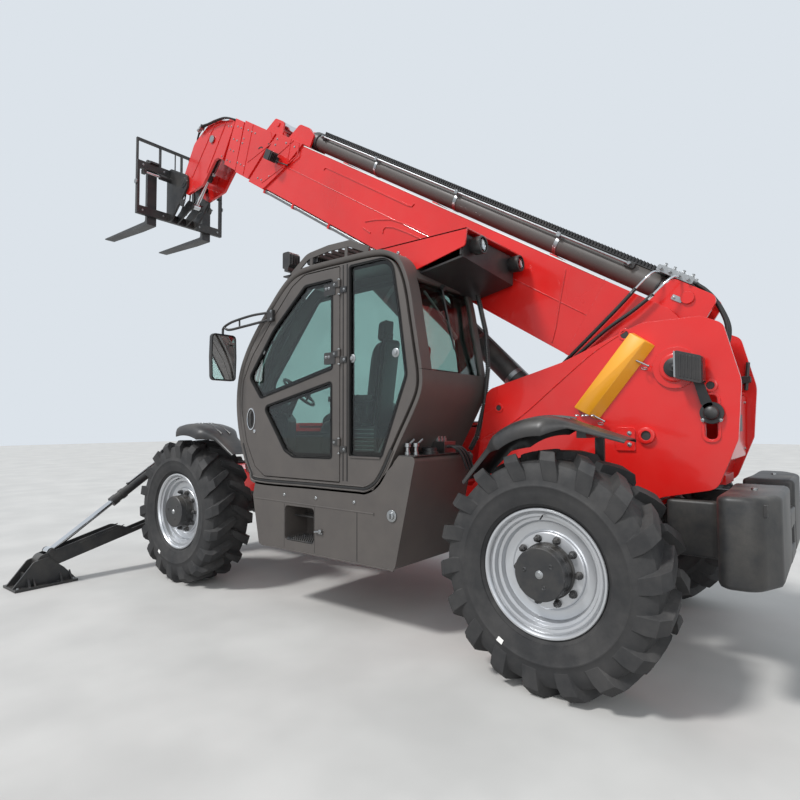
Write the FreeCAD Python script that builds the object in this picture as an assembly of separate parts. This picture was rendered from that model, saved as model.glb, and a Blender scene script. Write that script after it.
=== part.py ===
import FreeCAD, Part
import math
import os

os.makedirs("parts", exist_ok=True)

# Telehandler with a four-section boom, side cab, four steered wheels and front stabilisers.
# Millimetres. X to the machine's left, Y to its rear, Z up from the ground.
# Stations along Y are counted from the front axle, and the finished pieces are moved so that
# the origin is on the ground at the middle of the overall length.

# Chassis layout
WHEELBASE = 3420.0
WHEEL_X = 1000.0
KINGPIN_X = 850.0
AXLE_Z = 625.0
REAR_END = 4420.0

# Tyres and rims
TYRE_RADIUS = 625.0
TYRE_WIDTH = 410.0
CARCASS_RADIUS = 583.0
WHEEL_SIDES = 30
LUG_COUNT = 18
LUG_WIDTH = 56.0
LUG_SLANT = 24.0
LUG_CHAMFER = 34.0
SIDEWALL_RADIUS = 450.0
RIM_WIDTH = 336.0
FLANGE_RADIUS = 332.0
FLANGE_THICK = 12.0
BEAD_RADIUS = 306.0
WELL_RADIUS = 256.0
HUB_RADIUS = 135.0
HUB_LENGTH = 204.0
SPINDLE_RADIUS = 45.0
RUNNING_FIT = 0.3
SEAT_GAP = 0.3
SIDE_GAP = 5.0

# Axle housings and knuckles
AXLE_TUBE_RADIUS = 95.0
DIFF_RADIUS = 175.0
KNUCKLE_HALF_HEIGHT = 118.0
FORK_ARM = 45.0
STAY_Y = 175.0
STAY_THICK = 30.0

# Frame
PLATE_IN = 345.0
PLATE_THICK = 25.0
BEAM_LOW = 730.0
BEAM_TOP = 940.0
BEAM_FRONT = -800.0
BEAM_REAR = 2350.0

# Bore for a towing pin in the rear weight
TOW_Y = 4378.0
TOW_BORE = 18.0

# Boom
PIVOT_Y = 3900.0
PIVOT_Z = 1710.0
BOOM_ANGLE = 31.8
SECTION_WALL = 8.0
SECTION_STEP = 8.0
SECTION_1_HALF = 180.0
SECTION_1_LOW = -250.0
SECTION_1_TOP = 290.0
PIVOT_PIN = 60.0

# Extension cylinder on top of the boom
EXT_N = 395.0
EXT_RADIUS = 77.0
EXT_REAR = 215.0
EXT_EYE = 4800.0
EXT_SHOWN = 600.0
EXT_ROD = 40.0
EXT_ROD_CLEAR = 485.0

# Lift cylinder between frame and boom
LIFT_PIN_S = 2200.0
LIFT_PIN_N = -340.0
LIFT_BASE_Y = 3400.0
LIFT_BASE_Z = 1050.0
LIFT_RADIUS = 85.0
LIFT_ROD = 50.0
LIFT_BARREL = 1450.0
LIFT_ROD_LENGTH = 1530.0
LIFT_EYE_HALF = 65.0
LIFT_BASE_HALF = 90.0

# Boom head, carriage and tilt cylinder, as distances along and above the boom's centreline
HEAD_IN = 132.0
HEAD_PLATE = 25.0
TILT_PIVOT_S = EXT_EYE + 1280.0
TILT_PIVOT_N = -660.0
TILT_BASE_S = EXT_EYE + 1000.0
TILT_BASE_N = -50.0
TILT_EYE_S = EXT_EYE + 1170.0
TILT_EYE_N = -880.0
TILT_RADIUS = 42.0
TILT_ROD = 25.0
TILT_BARREL = 480.0
TILT_ROD_LENGTH = 540.0

# Carriage and forks
CARRIAGE_HALF = 590.0
CARRIAGE_AHEAD = 340.0
BAR_DROP = 408.0
BAR_HEIGHT = 655.0
GUARD_RISE = 280.0
FORK_X = 380.0
FORK_WIDTH = 120.0
FORK_THICK = 45.0
FORK_LENGTH = 1145.0
FORK_DROP = 95.0

# Stabilisers
STAB_Y = -910.0
LEG_PIVOT_X = 550.0
LEG_PIVOT_Z = 563.0
LEG_ANGLE = -15.0
LEG_LENGTH = 1423.0
LEG_WIDTH = 130.0
LEG_DEPTH = 130.0
LEG_CHEEK = 10.0
STAB_BASE_X = 700.0
STAB_BASE_Z = 1072.0
STAB_EYE_X = 1848.0
STAB_EYE_Z = 274.0
STAB_RADIUS = 42.0
STAB_ROD = 26.0
STAB_BARREL = 748.0
STAB_ROD_LENGTH = 715.0
FOOT_BACK = 20.0
SOLE_REACH = 245.0
SOLE_HALF = 140.0

# Mudguards
FENDER_IN = 800.0
FENDER_OUT = 1205.0
FENDER_THICK = 8.0
FENDER_REST = 1385.0

# Cab
CAB_IN = 285.0
CAB_OUT = 1080.0
CAB_WALL = 45.0
ROOF_LOW = 2440.0
DOOR_HINGE_Y = 1905.0
DOOR_THICK = 40.0
HINGE_X = 1090.0
HINGE_RADIUS = 9.0
HINGE_HALF = 45.0
HINGE_LEAF = 38.0
HINGE_HEIGHTS = (1240.0, 1860.0, 2350.0)
DOOR_GAP = 6.0
GLASS_THICK = 6.0

# Engine pod on the right side
POD_IN = 420.0
POD_OUT = 1080.0
POD_FRONT = 850.0
POD_REAR = 2580.0
POD_LOW = 456.0
POD_SPLIT = 1000.0
POD_TOP = 1400.0
POD_WALL = 12.0
HOOD_HINGE_X = -430.0
HOOD_HINGE_Z = 1390.0
HOOD_HINGE_RADIUS = 9.0
HOOD_HINGES = (980.0, 1600.0, 2300.0)
HOOD_HINGE_LENGTH = 60.0

Vec = FreeCAD.Vector
AXES = {"X": Vec(1, 0, 0), "Y": Vec(0, 1, 0), "Z": Vec(0, 0, 1)}


def spot(plane, u, v, w):
    """Point (u, v) of a drawing across the named axis, at distance w along that axis."""
    if plane == "X":
        return Vec(w, u, v)
    if plane == "Y":
        return Vec(u, w, v)
    return Vec(u, v, w)


def outline(points, plane, w):
    """Closed wire through corners (u, v) or (u, v, radius), where a radius rounds its corner."""
    corners = [spot(plane, p[0], p[1], w) for p in points]
    stretches = []
    for i, here in enumerate(corners):
        radius = points[i][2] if len(points[i]) > 2 else 0.0
        if radius == 0.0:
            stretches.append((here, None, here))
            continue
        back = (corners[i - 1] - here).normalize()
        ahead = (corners[(i + 1) % len(corners)] - here).normalize()
        half = back.getAngle(ahead) / 2.0
        reach = radius / math.tan(half)
        middle = (back + ahead).normalize()
        nearest = middle * (radius / math.sin(half) - radius)
        stretches.append((here + back * reach, here + nearest, here + ahead * reach))
    edges = []
    for i, (start, bend, end) in enumerate(stretches):
        if bend is not None:
            edges.append(Part.Arc(start, bend, end).toShape())
        following = stretches[(i + 1) % len(stretches)][0]
        if end.distanceToPoint(following) > 0.001:
            edges.append(Part.LineSegment(end, following).toShape())
    return Part.Wire(edges)


def prism(points, plane, low, high):
    """Solid of a rounded outline drawn across an axis, from low to high along that axis."""
    face = Part.Face(outline(points, plane, low))
    return face.extrude(AXES[plane] * (high - low))


def block(x0, x1, y0, y1, z0, z1):
    return Part.makeBox(x1 - x0, y1 - y0, z1 - z0, Vec(x0, y0, z0))


def bar(start, end, radius):
    """Round bar between two points."""
    return Part.makeCylinder(radius, (end - start).Length, start, end - start)


def pin(y, z, x0, x1, radius):
    """Round pin across the machine."""
    return bar(Vec(x0, y, z), Vec(x1, y, z), radius)


def turned(profile, centre, axis):
    """Solid of revolution of (distance along axis, radius) corners."""
    side = Vec(0, 0, 1) if axis.z == 0 else Vec(1, 0, 0)
    points = [centre + axis * along + side * radius for along, radius in profile]
    wire = Part.makePolygon(points + points[:1])
    return Part.Face(wire).revolve(centre, axis, 360)


def fuse(shapes):
    return shapes[0].multiFuse(shapes[1:]).removeSplitter()


def cut(shape, tools):
    return shape.cut(tools)


def mirrored(shape):
    """The same piece on the machine's other side."""
    return shape.mirror(Vec(0, 0, 0), Vec(1, 0, 0))


def keep(name, shape):
    """Write one sub-part, moved so that the origin is at the middle of the length."""
    fork_tip = carriage_place()[0] - FORK_LENGTH
    moved = shape.copy()
    moved.translate(Vec(0, -(REAR_END + fork_tip) / 2.0, 0))
    moved.exportStep("parts/" + name + ".step")


# Boom drawings: s runs forward along the boom from its pivot, n upward across it.

def boom_prism(points, x0, x1):
    drawn = [(-p[0],) + tuple(p[1:]) for p in points]
    return prism(drawn, "X", x0, x1)


def boom_pin(s, n, x0, x1, radius):
    return pin(-s, n, x0, x1, radius)


def boom_box(s0, s1, half, n0, n1):
    return block(-half, half, -s1, -s0, n0, n1)


def raised(shape):
    """From the boom's own drawing to its place on the machine."""
    placed = shape.copy()
    placed.rotate(Vec(0, 0, 0), Vec(-1, 0, 0), BOOM_ANGLE)
    placed.translate(Vec(0, PIVOT_Y, PIVOT_Z))
    return placed


def on_machine(s, n):
    """Station and height of a point of the boom drawing."""
    turn = math.radians(BOOM_ANGLE)
    y = PIVOT_Y - s * math.cos(turn) + n * math.sin(turn)
    z = PIVOT_Z + s * math.sin(turn) + n * math.cos(turn)
    return y, z


def carriage_place():
    """Station of the carriage's back face, and heights of the foot and the top of its load bars."""
    pivot_y, pivot_z = on_machine(TILT_PIVOT_S, TILT_PIVOT_N)
    low = pivot_z - BAR_DROP
    return pivot_y - CARRIAGE_AHEAD, low, low + BAR_HEIGHT


# Wheels

def faceted(profile):
    """Solid round X through regular polygons, from a closed list of (place along X, distance of the flats).
    A distance of 0 lies on the axis, at the same place along X as the ring that it closes."""
    turns = [math.radians((i + 0.5) * 360.0 / WHEEL_SIDES) for i in range(WHEEL_SIDES)]
    rings = []
    for along, flat in profile:
        reach = flat / math.cos(math.pi / WHEEL_SIDES)
        rings.append([Vec(along, reach * math.sin(t), reach * math.cos(t)) for t in turns])
    faces = []
    for i, ring in enumerate(rings):
        following = rings[(i + 1) % len(rings)]
        flats = profile[i][1], profile[(i + 1) % len(rings)][1]
        if 0.0 in flats:
            if max(flats) > 0.0:
                closed = ring if flats[0] > 0.0 else following
                faces.append(Part.Face(Part.makePolygon(closed + closed[:1])))
            continue
        for j in range(WHEEL_SIDES):
            k = (j + 1) % WHEEL_SIDES
            faces.append(Part.Face(Part.makePolygon([ring[j], ring[k], following[k], following[j], ring[j]])))
    solid = Part.Solid(Part.Shell(faces))
    if solid.Volume < 0:
        solid.reverse()
    return solid


def lug(angle, side):
    """One tread bar, slanting from the middle of the tyre out over one shoulder."""
    half = LUG_WIDTH / 2.0
    slant = math.radians(LUG_SLANT)
    length = (TYRE_WIDTH / 2.0 - half * math.sin(slant)) / math.cos(slant)
    swing = length * math.sin(slant) / 2.0 + half
    crown = math.sqrt(TYRE_RADIUS ** 2 - swing ** 2)
    low = CARCASS_RADIUS - 60.0
    bar_block = prism([(-6.0, low), (-6.0, crown), (length - LUG_CHAMFER, crown), (length, crown - LUG_CHAMFER),
                       (length, low)], "Y", -half, half)
    bar_block.rotate(Vec(0, 0, 0), AXES["Z"], LUG_SLANT)
    bar_block.translate(Vec(0, -length * math.sin(slant) / 2.0, 0))
    if side < 0:
        bar_block = mirrored(bar_block)
    bar_block.rotate(Vec(0, 0, 0), AXES["X"], angle)
    return bar_block


def tyre():
    """Carcass with two staggered rows of tread bars, drawn about the wheel's own centre."""
    out = TYRE_WIDTH / 2.0
    inner = BEAD_RADIUS + SEAT_GAP
    bulge = out - 4.0
    flange = RIM_WIDTH / 2.0 - FLANGE_THICK - SEAT_GAP
    share = (FLANGE_RADIUS - inner) / (SIDEWALL_RADIUS - inner)
    bead = (flange - share * bulge) / (1.0 - share)
    carcass = faceted([(-bead, inner), (bead, inner), (bulge, SIDEWALL_RADIUS), (out - 22.0, CARCASS_RADIUS),
                       (22.0 - out, CARCASS_RADIUS), (-bulge, SIDEWALL_RADIUS)])
    pitch = 360.0 / LUG_COUNT
    bars = []
    for i in range(LUG_COUNT):
        bars.append(lug(180.0 + i * pitch, 1.0))
        bars.append(lug(180.0 + (i + 0.5) * pitch, -1.0))
    return fuse([carcass] + bars)


def rim():
    """Deep-dish rim, its disc and its planetary hub, the hub's drum on +X and the bore on -X."""
    edge = RIM_WIDTH / 2.0
    seat = edge - FLANGE_THICK
    lip = FLANGE_RADIUS - 14.0
    bore = SPINDLE_RADIUS + RUNNING_FIT
    dish = WELL_RADIUS - 12.0
    return faceted([(-10.0, bore), (-10.0, 150.0), (50.0, 150.0), (50.0, dish - 6.0), (-88.0, dish),
                    (-edge, lip), (-edge, FLANGE_RADIUS), (-seat, FLANGE_RADIUS), (-seat, BEAD_RADIUS),
                    (-86.0, WELL_RADIUS), (62.0, WELL_RADIUS), (seat, BEAD_RADIUS), (seat, FLANGE_RADIUS),
                    (edge, FLANGE_RADIUS), (edge, lip), (74.0, dish), (74.0, 200.0), (94.0, 194.0), (94.0, HUB_RADIUS),
                    (HUB_LENGTH - 12.0, HUB_RADIUS - 4.0), (HUB_LENGTH, HUB_RADIUS - 22.0), (HUB_LENGTH, 0.0),
                    (112.0, 0.0), (112.0, bore)])


def wheel_places():
    """Name, station and side of each wheel, side 1 on the left."""
    return [("front_left", 0.0, 1.0), ("front_right", 0.0, -1.0),
            ("rear_left", WHEELBASE, 1.0), ("rear_right", WHEELBASE, -1.0)]


def wheels():
    one_tyre = tyre()
    one_rim = rim()
    for name, station, side in wheel_places():
        for piece, shape in (("tyre", one_tyre), ("rim", one_rim)):
            placed = shape.copy() if side > 0 else mirrored(shape)
            placed.translate(Vec(side * WHEEL_X, station, AXLE_Z))
            keep(piece + "_" + name, placed)


def knuckle(station):
    """Steering knuckle of a left wheel: kingpin barrel, hub carrier, spindle and the mudguard's stay on its top."""
    centre = Vec(KINGPIN_X, 0, AXLE_Z)
    up = KNUCKLE_HALF_HEIGHT
    trunnion = up + FORK_ARM
    stay_low = trunnion + SIDE_GAP
    stay_top = stay_low + STAY_THICK
    barrel = turned([(-trunnion, 0.0), (-trunnion, 30.0), (-up, 30.0), (-up, 68.0), (up, 68.0), (up, 30.0),
                     (stay_top, 30.0), (stay_top, 0.0)], centre, AXES["Z"])
    hub_face = WHEEL_X - 10.0 - SIDE_GAP - KINGPIN_X
    spindle_end = WHEEL_X + 105.0 - KINGPIN_X
    carrier = turned([(0.0, 0.0), (0.0, 105.0), (hub_face - 25.0, 105.0), (hub_face - 25.0, 145.0),
                      (hub_face, 145.0), (hub_face, SPINDLE_RADIUS), (spindle_end, SPINDLE_RADIUS),
                      (spindle_end, 0.0)], centre, AXES["X"])
    inner = WHEEL_X - TYRE_WIDTH / 2.0 - 30.0
    low = AXLE_Z + stay_low
    stay = [block(inner, KINGPIN_X + 40.0, -45.0, 60.0, low, low + STAY_THICK),
            block(inner, inner + 20.0, -45.0, STAY_Y + 25.0, low, low + STAY_THICK),
            block(inner, inner + 20.0, STAY_Y - 25.0, STAY_Y + 25.0, low, FENDER_REST - 50.0),
            block(inner, WHEEL_X + 60.0, STAY_Y - 25.0, STAY_Y + 25.0, FENDER_REST - 70.0, FENDER_REST - 50.0),
            block(WHEEL_X - 60.0, WHEEL_X + 60.0, STAY_Y - 25.0, STAY_Y + 25.0, FENDER_REST - 70.0,
                  FENDER_REST + 40.0)]
    return cut(fuse([barrel, carrier] + stay), [fender_space(station)])


def axle(nose):
    """Axle housing drawn at station 0, with its drive nose pointing forward (-1) or back (1)."""
    centre = Vec(0, 0, AXLE_Z)
    web = KINGPIN_X - 75.0
    housing = turned([(-web, 0.0), (-web, AXLE_TUBE_RADIUS), (-300.0, AXLE_TUBE_RADIUS),
                      (-150.0, DIFF_RADIUS), (150.0, DIFF_RADIUS), (300.0, AXLE_TUBE_RADIUS),
                      (web, AXLE_TUBE_RADIUS), (web, 0.0)], centre, AXES["X"])
    drive = bar(centre, centre + Vec(0, nose * 330.0, 0), 75.0)
    pieces = [housing, drive]
    near = KNUCKLE_HALF_HEIGHT + 4.0
    far = KNUCKLE_HALF_HEIGHT + FORK_ARM
    for side in (-1.0, 1.0):
        root = min(side * (web - 35.0), side * web)
        pieces.append(block(root, root + 35.0, -75.0, 75.0, AXLE_Z - far, AXLE_Z + far))
        for low in (AXLE_Z + near, AXLE_Z - far):
            inner = min(side * (web - 35.0), side * KINGPIN_X)
            outer = max(side * (web - 35.0), side * KINGPIN_X)
            arm = block(inner, outer, -60.0, 60.0, low, low + far - near)
            eye = bar(Vec(side * KINGPIN_X, 0, low), Vec(side * KINGPIN_X, 0, low + far - near), 60.0)
            pieces += [arm, eye]
        pad = side * (PLATE_IN + PLATE_THICK / 2.0)
        pieces.append(block(pad - 45.0, pad + 45.0, -110.0, 110.0, AXLE_Z, BEAM_LOW))
    body = fuse(pieces)
    bores = [bar(Vec(side * KINGPIN_X, 0, AXLE_Z - far - 10.0), Vec(side * KINGPIN_X, 0, AXLE_Z + far + 10.0),
                 30.0 + RUNNING_FIT) for side in (-1.0, 1.0)]
    return cut(body, bores)


def running_gear():
    for name, station, side in wheel_places():
        for piece, shape in (("knuckle", knuckle(station)), ("fender", fender(station))):
            placed = shape if side > 0 else mirrored(shape)
            placed.translate(Vec(0, station, 0))
            keep(piece + "_" + name, placed)
    rear = axle(-1.0)
    rear.translate(Vec(0, WHEELBASE, 0))
    keep("axles", Part.makeCompound([axle(1.0), rear]))


# Mudguards, drawn on the left about their wheel's station as (distance behind the axle, height, radius)

FRONT_FENDER = [(-129.0, 1341.0, 0.0), (120.0, 1400.0, 200.0), (463.0, 1405.0, 160.0), (706.0, 1144.0, 0.0)]
REAR_FENDER = [(-514.0, 1061.0, 0.0), (-290.0, 1340.0, 160.0), (30.0, 1410.0, 200.0), (405.0, 1327.0, 0.0)]


def fender(station):
    """Thin mudguard of a front or a rear wheel."""
    points = FRONT_FENDER if station == 0.0 else REAR_FENDER
    upper = [(u, v + FENDER_THICK, r) for u, v, r in points]
    lower = [(u, v, r) for u, v, r in reversed(points)]
    return prism(upper + lower, "X", FENDER_IN, FENDER_OUT)


def fender_space(station):
    """What a stay loses at its top, so that the mudguard lies on it."""
    points = FRONT_FENDER if station == 0.0 else REAR_FENDER
    under = [(u, v - SEAT_GAP, r) for u, v, r in points]
    return prism(under + [(points[-1][0], FENDER_REST + 200.0, 0.0), (points[0][0], FENDER_REST + 200.0, 0.0)],
                 "X", 0.0, FENDER_OUT + 100.0)


# Frame

def frame_plate():
    """Left side plate: low beam at the front, tall carrier of the boom at the rear."""
    side = prism([(BEAM_FRONT, BEAM_LOW), (3560.0, BEAM_LOW), (3808.0, 958.0, 60.0), (4100.0, 1024.0, 80.0),
                  (4206.0, 1299.0, 60.0), (4228.0, 1621.0, 200.0), (4146.0, 1944.0, 60.0),
                  (4039.0, 1996.0, 30.0), (3719.0, 1993.0, 120.0), (3221.0, 1788.0), (2667.0, 1628.0, 80.0),
                  (2607.0, 1274.0, 120.0), (2560.0, BEAM_TOP, 60.0), (BEAM_FRONT, BEAM_TOP)],
                 "X", PLATE_IN, PLATE_IN + PLATE_THICK)
    pivot_boss = pin(PIVOT_Y, PIVOT_Z, PLATE_IN, PLATE_IN + PLATE_THICK + 14.0, 120.0)
    lift_boss = pin(LIFT_BASE_Y, LIFT_BASE_Z, PLATE_IN, PLATE_IN + PLATE_THICK + 12.0, 80.0)
    body = fuse([side, pivot_boss, lift_boss])
    bore = pin(PIVOT_Y, PIVOT_Z, 0.0, POD_OUT, PIVOT_PIN + RUNNING_FIT)
    slot = prism([(4048.0, 1300.0, 25.0), (4108.0, 1300.0, 25.0), (4108.0, 1560.0, 25.0),
                  (4048.0, 1560.0, 25.0)], "X", 0.0, POD_OUT)
    return cut(body, [bore, slot])


def frame_beam():
    """Cross members between the side plates, open under the boom at the rear."""
    half = PLATE_IN
    pieces = [block(-half, half, BEAM_FRONT, BEAM_REAR, BEAM_TOP - 15.0, BEAM_TOP),
              block(-half, half, BEAM_FRONT, BEAM_FRONT + 20.0, BEAM_LOW, BEAM_TOP),
              block(-half, half, 420.0, 440.0, BEAM_LOW, BEAM_TOP),
              block(-half, half, 1500.0, 1520.0, BEAM_LOW, BEAM_TOP),
              block(-half, half, BEAM_REAR - 20.0, BEAM_REAR, BEAM_LOW, BEAM_TOP)]
    return fuse(pieces)


def frame_back():
    """Recessed closing plate and floor between the tall plates at the rear."""
    half = PLATE_IN
    back = prism([(4040.0, 1030.0), (4060.0, 1026.0), (4140.0, 1300.0), (4150.0, 1590.0),
                  (4130.0, 1590.0), (4120.0, 1304.0)], "X", -half, half)
    floor = prism([(3700.0, 900.0), (3715.0, 886.0), (3812.0, 976.0), (4060.0, 1026.0), (4055.0, 1045.0),
                   (3803.0, 992.0)], "X", -half, half)
    return fuse([back, floor])


def lift_cradle():
    """Stub tube on the left side plate, with one of the two ears beside the eye of the lift cylinder's rod."""
    tube_y = LIFT_BASE_Y + 190.0
    tube_z = LIFT_BASE_Z + 10.0
    inner = LIFT_EYE_HALF + SIDE_GAP
    ear = prism([(LIFT_BASE_Y - 72.0, LIFT_BASE_Z - 72.0, 65.0), (LIFT_BASE_Y - 72.0, LIFT_BASE_Z + 72.0, 65.0),
                 (tube_y + 60.0, tube_z + 76.0), (tube_y + 60.0, tube_z - 76.0)], "X", inner, inner + 25.0)
    return fuse([pin(tube_y, tube_z, inner, PLATE_IN, 65.0), ear])


def stabiliser_tower():
    """Cross box at the front that carries the two stabiliser legs between its plates."""
    gap = LEG_WIDTH / 2.0 + SIDE_GAP
    plate = 18.0
    shape = [(-790.0, 1010.0), (-790.0, 1130.0, 60.0), (-620.0, 1150.0, 60.0), (-400.0, 960.0),
             (400.0, 960.0), (620.0, 1150.0, 60.0), (790.0, 1130.0, 60.0), (790.0, 1010.0),
             (660.0, 640.0), (620.0, 470.0, 60.0), (-620.0, 470.0, 60.0), (-660.0, 640.0)]
    front = prism(shape, "Y", STAB_Y - gap - plate, STAB_Y - gap)
    rear = prism(shape, "Y", STAB_Y + gap, STAB_Y + gap + plate)
    web = block(-440.0, 440.0, STAB_Y - gap, STAB_Y + gap, 480.0, 500.0)
    top = block(-380.0, 380.0, STAB_Y - gap, STAB_Y + gap, 900.0, 920.0)
    neck = block(-PLATE_IN, PLATE_IN, STAB_Y + gap + plate, BEAM_FRONT, 560.0, 920.0)
    pieces = [front, rear, web, top, neck]
    for side in (-1.0, 1.0):
        for x, z, radius in ((LEG_PIVOT_X, LEG_PIVOT_Z, 32.0), (STAB_BASE_X, STAB_BASE_Z, 25.0)):
            start = Vec(side * x, STAB_Y - gap - plate - 8.0, z)
            pieces.append(bar(start, start + Vec(0, 2.0 * (gap + plate) + 16.0, 0), radius))
    return fuse(pieces)


def counterweight():
    """Moulded rear weight: narrow between the wheels, wide behind them, with a notch and a towing slot."""
    wide = prism([(-920.0, 4170.0, 40.0), (-500.0, 4170.0), (-375.0, 4080.0), (-375.0, 3830.0, 40.0),
                  (375.0, 3830.0, 40.0), (375.0, 4080.0), (500.0, 4170.0), (920.0, 4170.0, 40.0),
                  (900.0, 4360.0, 80.0), (700.0, REAR_END, 80.0), (-700.0, REAR_END, 80.0),
                  (-900.0, 4360.0, 80.0)], "Z", 620.0, 1050.0)
    notch = prism([(-190.0, 1060.0), (-150.0, 900.0, 60.0), (150.0, 900.0, 60.0), (190.0, 1060.0)],
                  "Y", 4250.0, REAR_END + 10.0)
    over = prism([(3700.0, 958.0 - SEAT_GAP), (3808.0, 958.0 - SEAT_GAP), (4100.0, 1024.0 - SEAT_GAP),
                  (4215.0, 1024.0 - SEAT_GAP), (4215.0, 1100.0), (3700.0, 1100.0)], "X", -400.0, 400.0)
    hitch = block(-95.0, 95.0, 4330.0, REAR_END + 10.0, 700.0, 800.0)
    bore = bar(Vec(0, TOW_Y, 600.0), Vec(0, TOW_Y, 920.0), TOW_BORE)
    return cut(wide, [notch, over, hitch, bore])


def boom_lock():
    """Yellow channel that locks the raised boom, stowed on the left rear plate."""
    x = PLATE_IN + PLATE_THICK
    strut = prism([(3672.0, 1938.0, 15.0), (3315.0, 1488.0, 15.0), (3453.0, 1411.0, 15.0), (3794.0, 1848.0, 15.0)],
                  "X", x, x + 60.0)
    hollow = prism([(3672.0, 1912.0), (3340.0, 1494.0), (3448.0, 1434.0), (3768.0, 1852.0)],
                   "X", x + 8.0, x + 70.0)
    return cut(strut, [hollow])


# Cab: outlines of its side, windows and door as (station, height, corner radius)

CAB_SIDE = [(985.0, 955.0, 50.0), (817.0, 1263.0, 200.0), (738.0, 1735.0, 240.0), (1480.0, 2560.0, 80.0),
            (2290.0, 2560.0, 120.0), (2470.0, 2390.0, 160.0), (2585.0, 1600.0, 200.0), (2376.0, 1128.0, 110.0),
            (2190.0, 955.0, 80.0)]
UPPER_WINDOW = [(1560.0, 2405.0, 40.0), (1820.0, 2405.0, 30.0), (1820.0, 1775.0, 30.0), (1050.0, 1605.0, 40.0),
                (905.0, 1755.0, 60.0)]
LOWER_WINDOW = [(1068.0, 1522.0, 40.0), (1820.0, 1690.0, 30.0), (1820.0, 1139.0, 30.0), (1400.0, 1153.0, 40.0),
                (1280.0, 1220.0, 60.0)]
QUARTER_WINDOW = [(1990.0, 2400.0, 30.0), (2290.0, 2400.0, 60.0), (2400.0, 2300.0, 60.0), (2480.0, 1630.0, 60.0),
                  (2276.0, 1185.0, 60.0), (1990.0, 1185.0, 30.0)]
RIGHT_WINDOW = [(980.0, 1300.0, 80.0), (880.0, 1735.0, 150.0), (1480.0, 2400.0, 60.0), (2290.0, 2400.0, 80.0),
                (2440.0, 1600.0, 100.0), (2300.0, 1300.0, 80.0)]
DOOR_SIDE = [(1020.0, 990.0, 40.0), (860.0, 1275.0, 180.0), (785.0, 1735.0, 200.0), (1395.0, 2425.0, 60.0),
             (DOOR_HINGE_Y - DOOR_GAP, 2425.0, 20.0), (DOOR_HINGE_Y - DOOR_GAP, 990.0, 20.0)]


def grown(points, amount):
    """The same outline with every edge moved outward by an amount."""
    count = len(points)
    corners = [Vec(p[0], p[1], 0) for p in points]
    area = sum(corners[i].x * corners[(i + 1) % count].y - corners[(i + 1) % count].x * corners[i].y
               for i in range(count))
    turn = 1.0 if area > 0 else -1.0
    result = []
    for i, here in enumerate(corners):
        before = (here - corners[i - 1]).normalize()
        after = (corners[(i + 1) % count] - here).normalize()
        out_before = Vec(before.y, -before.x, 0) * turn
        out_after = Vec(after.y, -after.x, 0) * turn
        middle = (out_before + out_after).normalize()
        moved = here + middle * (amount / middle.dot(out_before))
        radius = points[i][2] if len(points[i]) > 2 else 0.0
        result.append((moved.x, moved.y, max(radius + amount, 0.0) if radius > 0.0 else 0.0))
    return result


def front_opening(gap):
    """Space of the windscreen, less a gap all round."""
    return block(CAB_IN + 70.0 + gap, CAB_OUT - 70.0 - gap, 600.0, 1470.0 - gap, 1320.0 + gap, ROOF_LOW - 30.0 - gap)


def rear_opening(gap):
    """Space of the rear window, less a gap all round."""
    return block(CAB_IN + 60.0 + gap, CAB_OUT - 110.0 - gap, 2380.0, 2700.0, 1700.0 + gap, 2310.0 - gap)


def cab_shell():
    """Hollow cab without its roof and door, with the windows cut and the door's hinge halves."""
    outer = prism(CAB_SIDE, "X", CAB_IN, CAB_OUT)
    inner = prism(grown(CAB_SIDE, -CAB_WALL), "X", CAB_IN + CAB_WALL, CAB_OUT - CAB_WALL)
    above = block(CAB_IN - 1.0, CAB_OUT + 1.0, 600.0, 2700.0, ROOF_LOW, 2700.0)
    doorway = prism(grown(DOOR_SIDE, DOOR_GAP), "X", CAB_OUT - CAB_WALL - 1.0, CAB_OUT + 1.0)
    quarter = prism(QUARTER_WINDOW, "X", CAB_OUT - CAB_WALL - 1.0, CAB_OUT + 1.0)
    right = prism(RIGHT_WINDOW, "X", CAB_IN - 1.0, CAB_IN + CAB_WALL + 1.0)
    shell = cut(outer, [inner, above, doorway, quarter, right, front_opening(0.0), rear_opening(0.0)])
    return fuse([shell] + hinge_halves(1.0))


def hinge_halves(side):
    """Door hinge halves: side 1 on the pillar under the joint, side -1 on the door above it."""
    pieces = []
    for z in HINGE_HEIGHTS:
        low = z - HINGE_HALF if side > 0 else z + SEAT_GAP
        high = z if side > 0 else z + HINGE_HALF
        near = DOOR_HINGE_Y
        far = DOOR_HINGE_Y + side * HINGE_LEAF
        pieces.append(bar(Vec(HINGE_X, near, low), Vec(HINGE_X, near, high), HINGE_RADIUS))
        pieces.append(block(CAB_OUT - 2.0, HINGE_X + 3.0, min(near, far), max(near, far), low, high))
    return pieces


def cab_roof():
    """Roof cap on the cab shell."""
    outer = prism(CAB_SIDE, "X", CAB_IN, CAB_OUT)
    inner = prism(grown(CAB_SIDE, -CAB_WALL), "X", CAB_IN + CAB_WALL, CAB_OUT - CAB_WALL)
    below = block(CAB_IN - 1.0, CAB_OUT + 1.0, 600.0, 2700.0, 900.0, ROOF_LOW + SEAT_GAP)
    return cut(outer, [inner, below])


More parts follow.
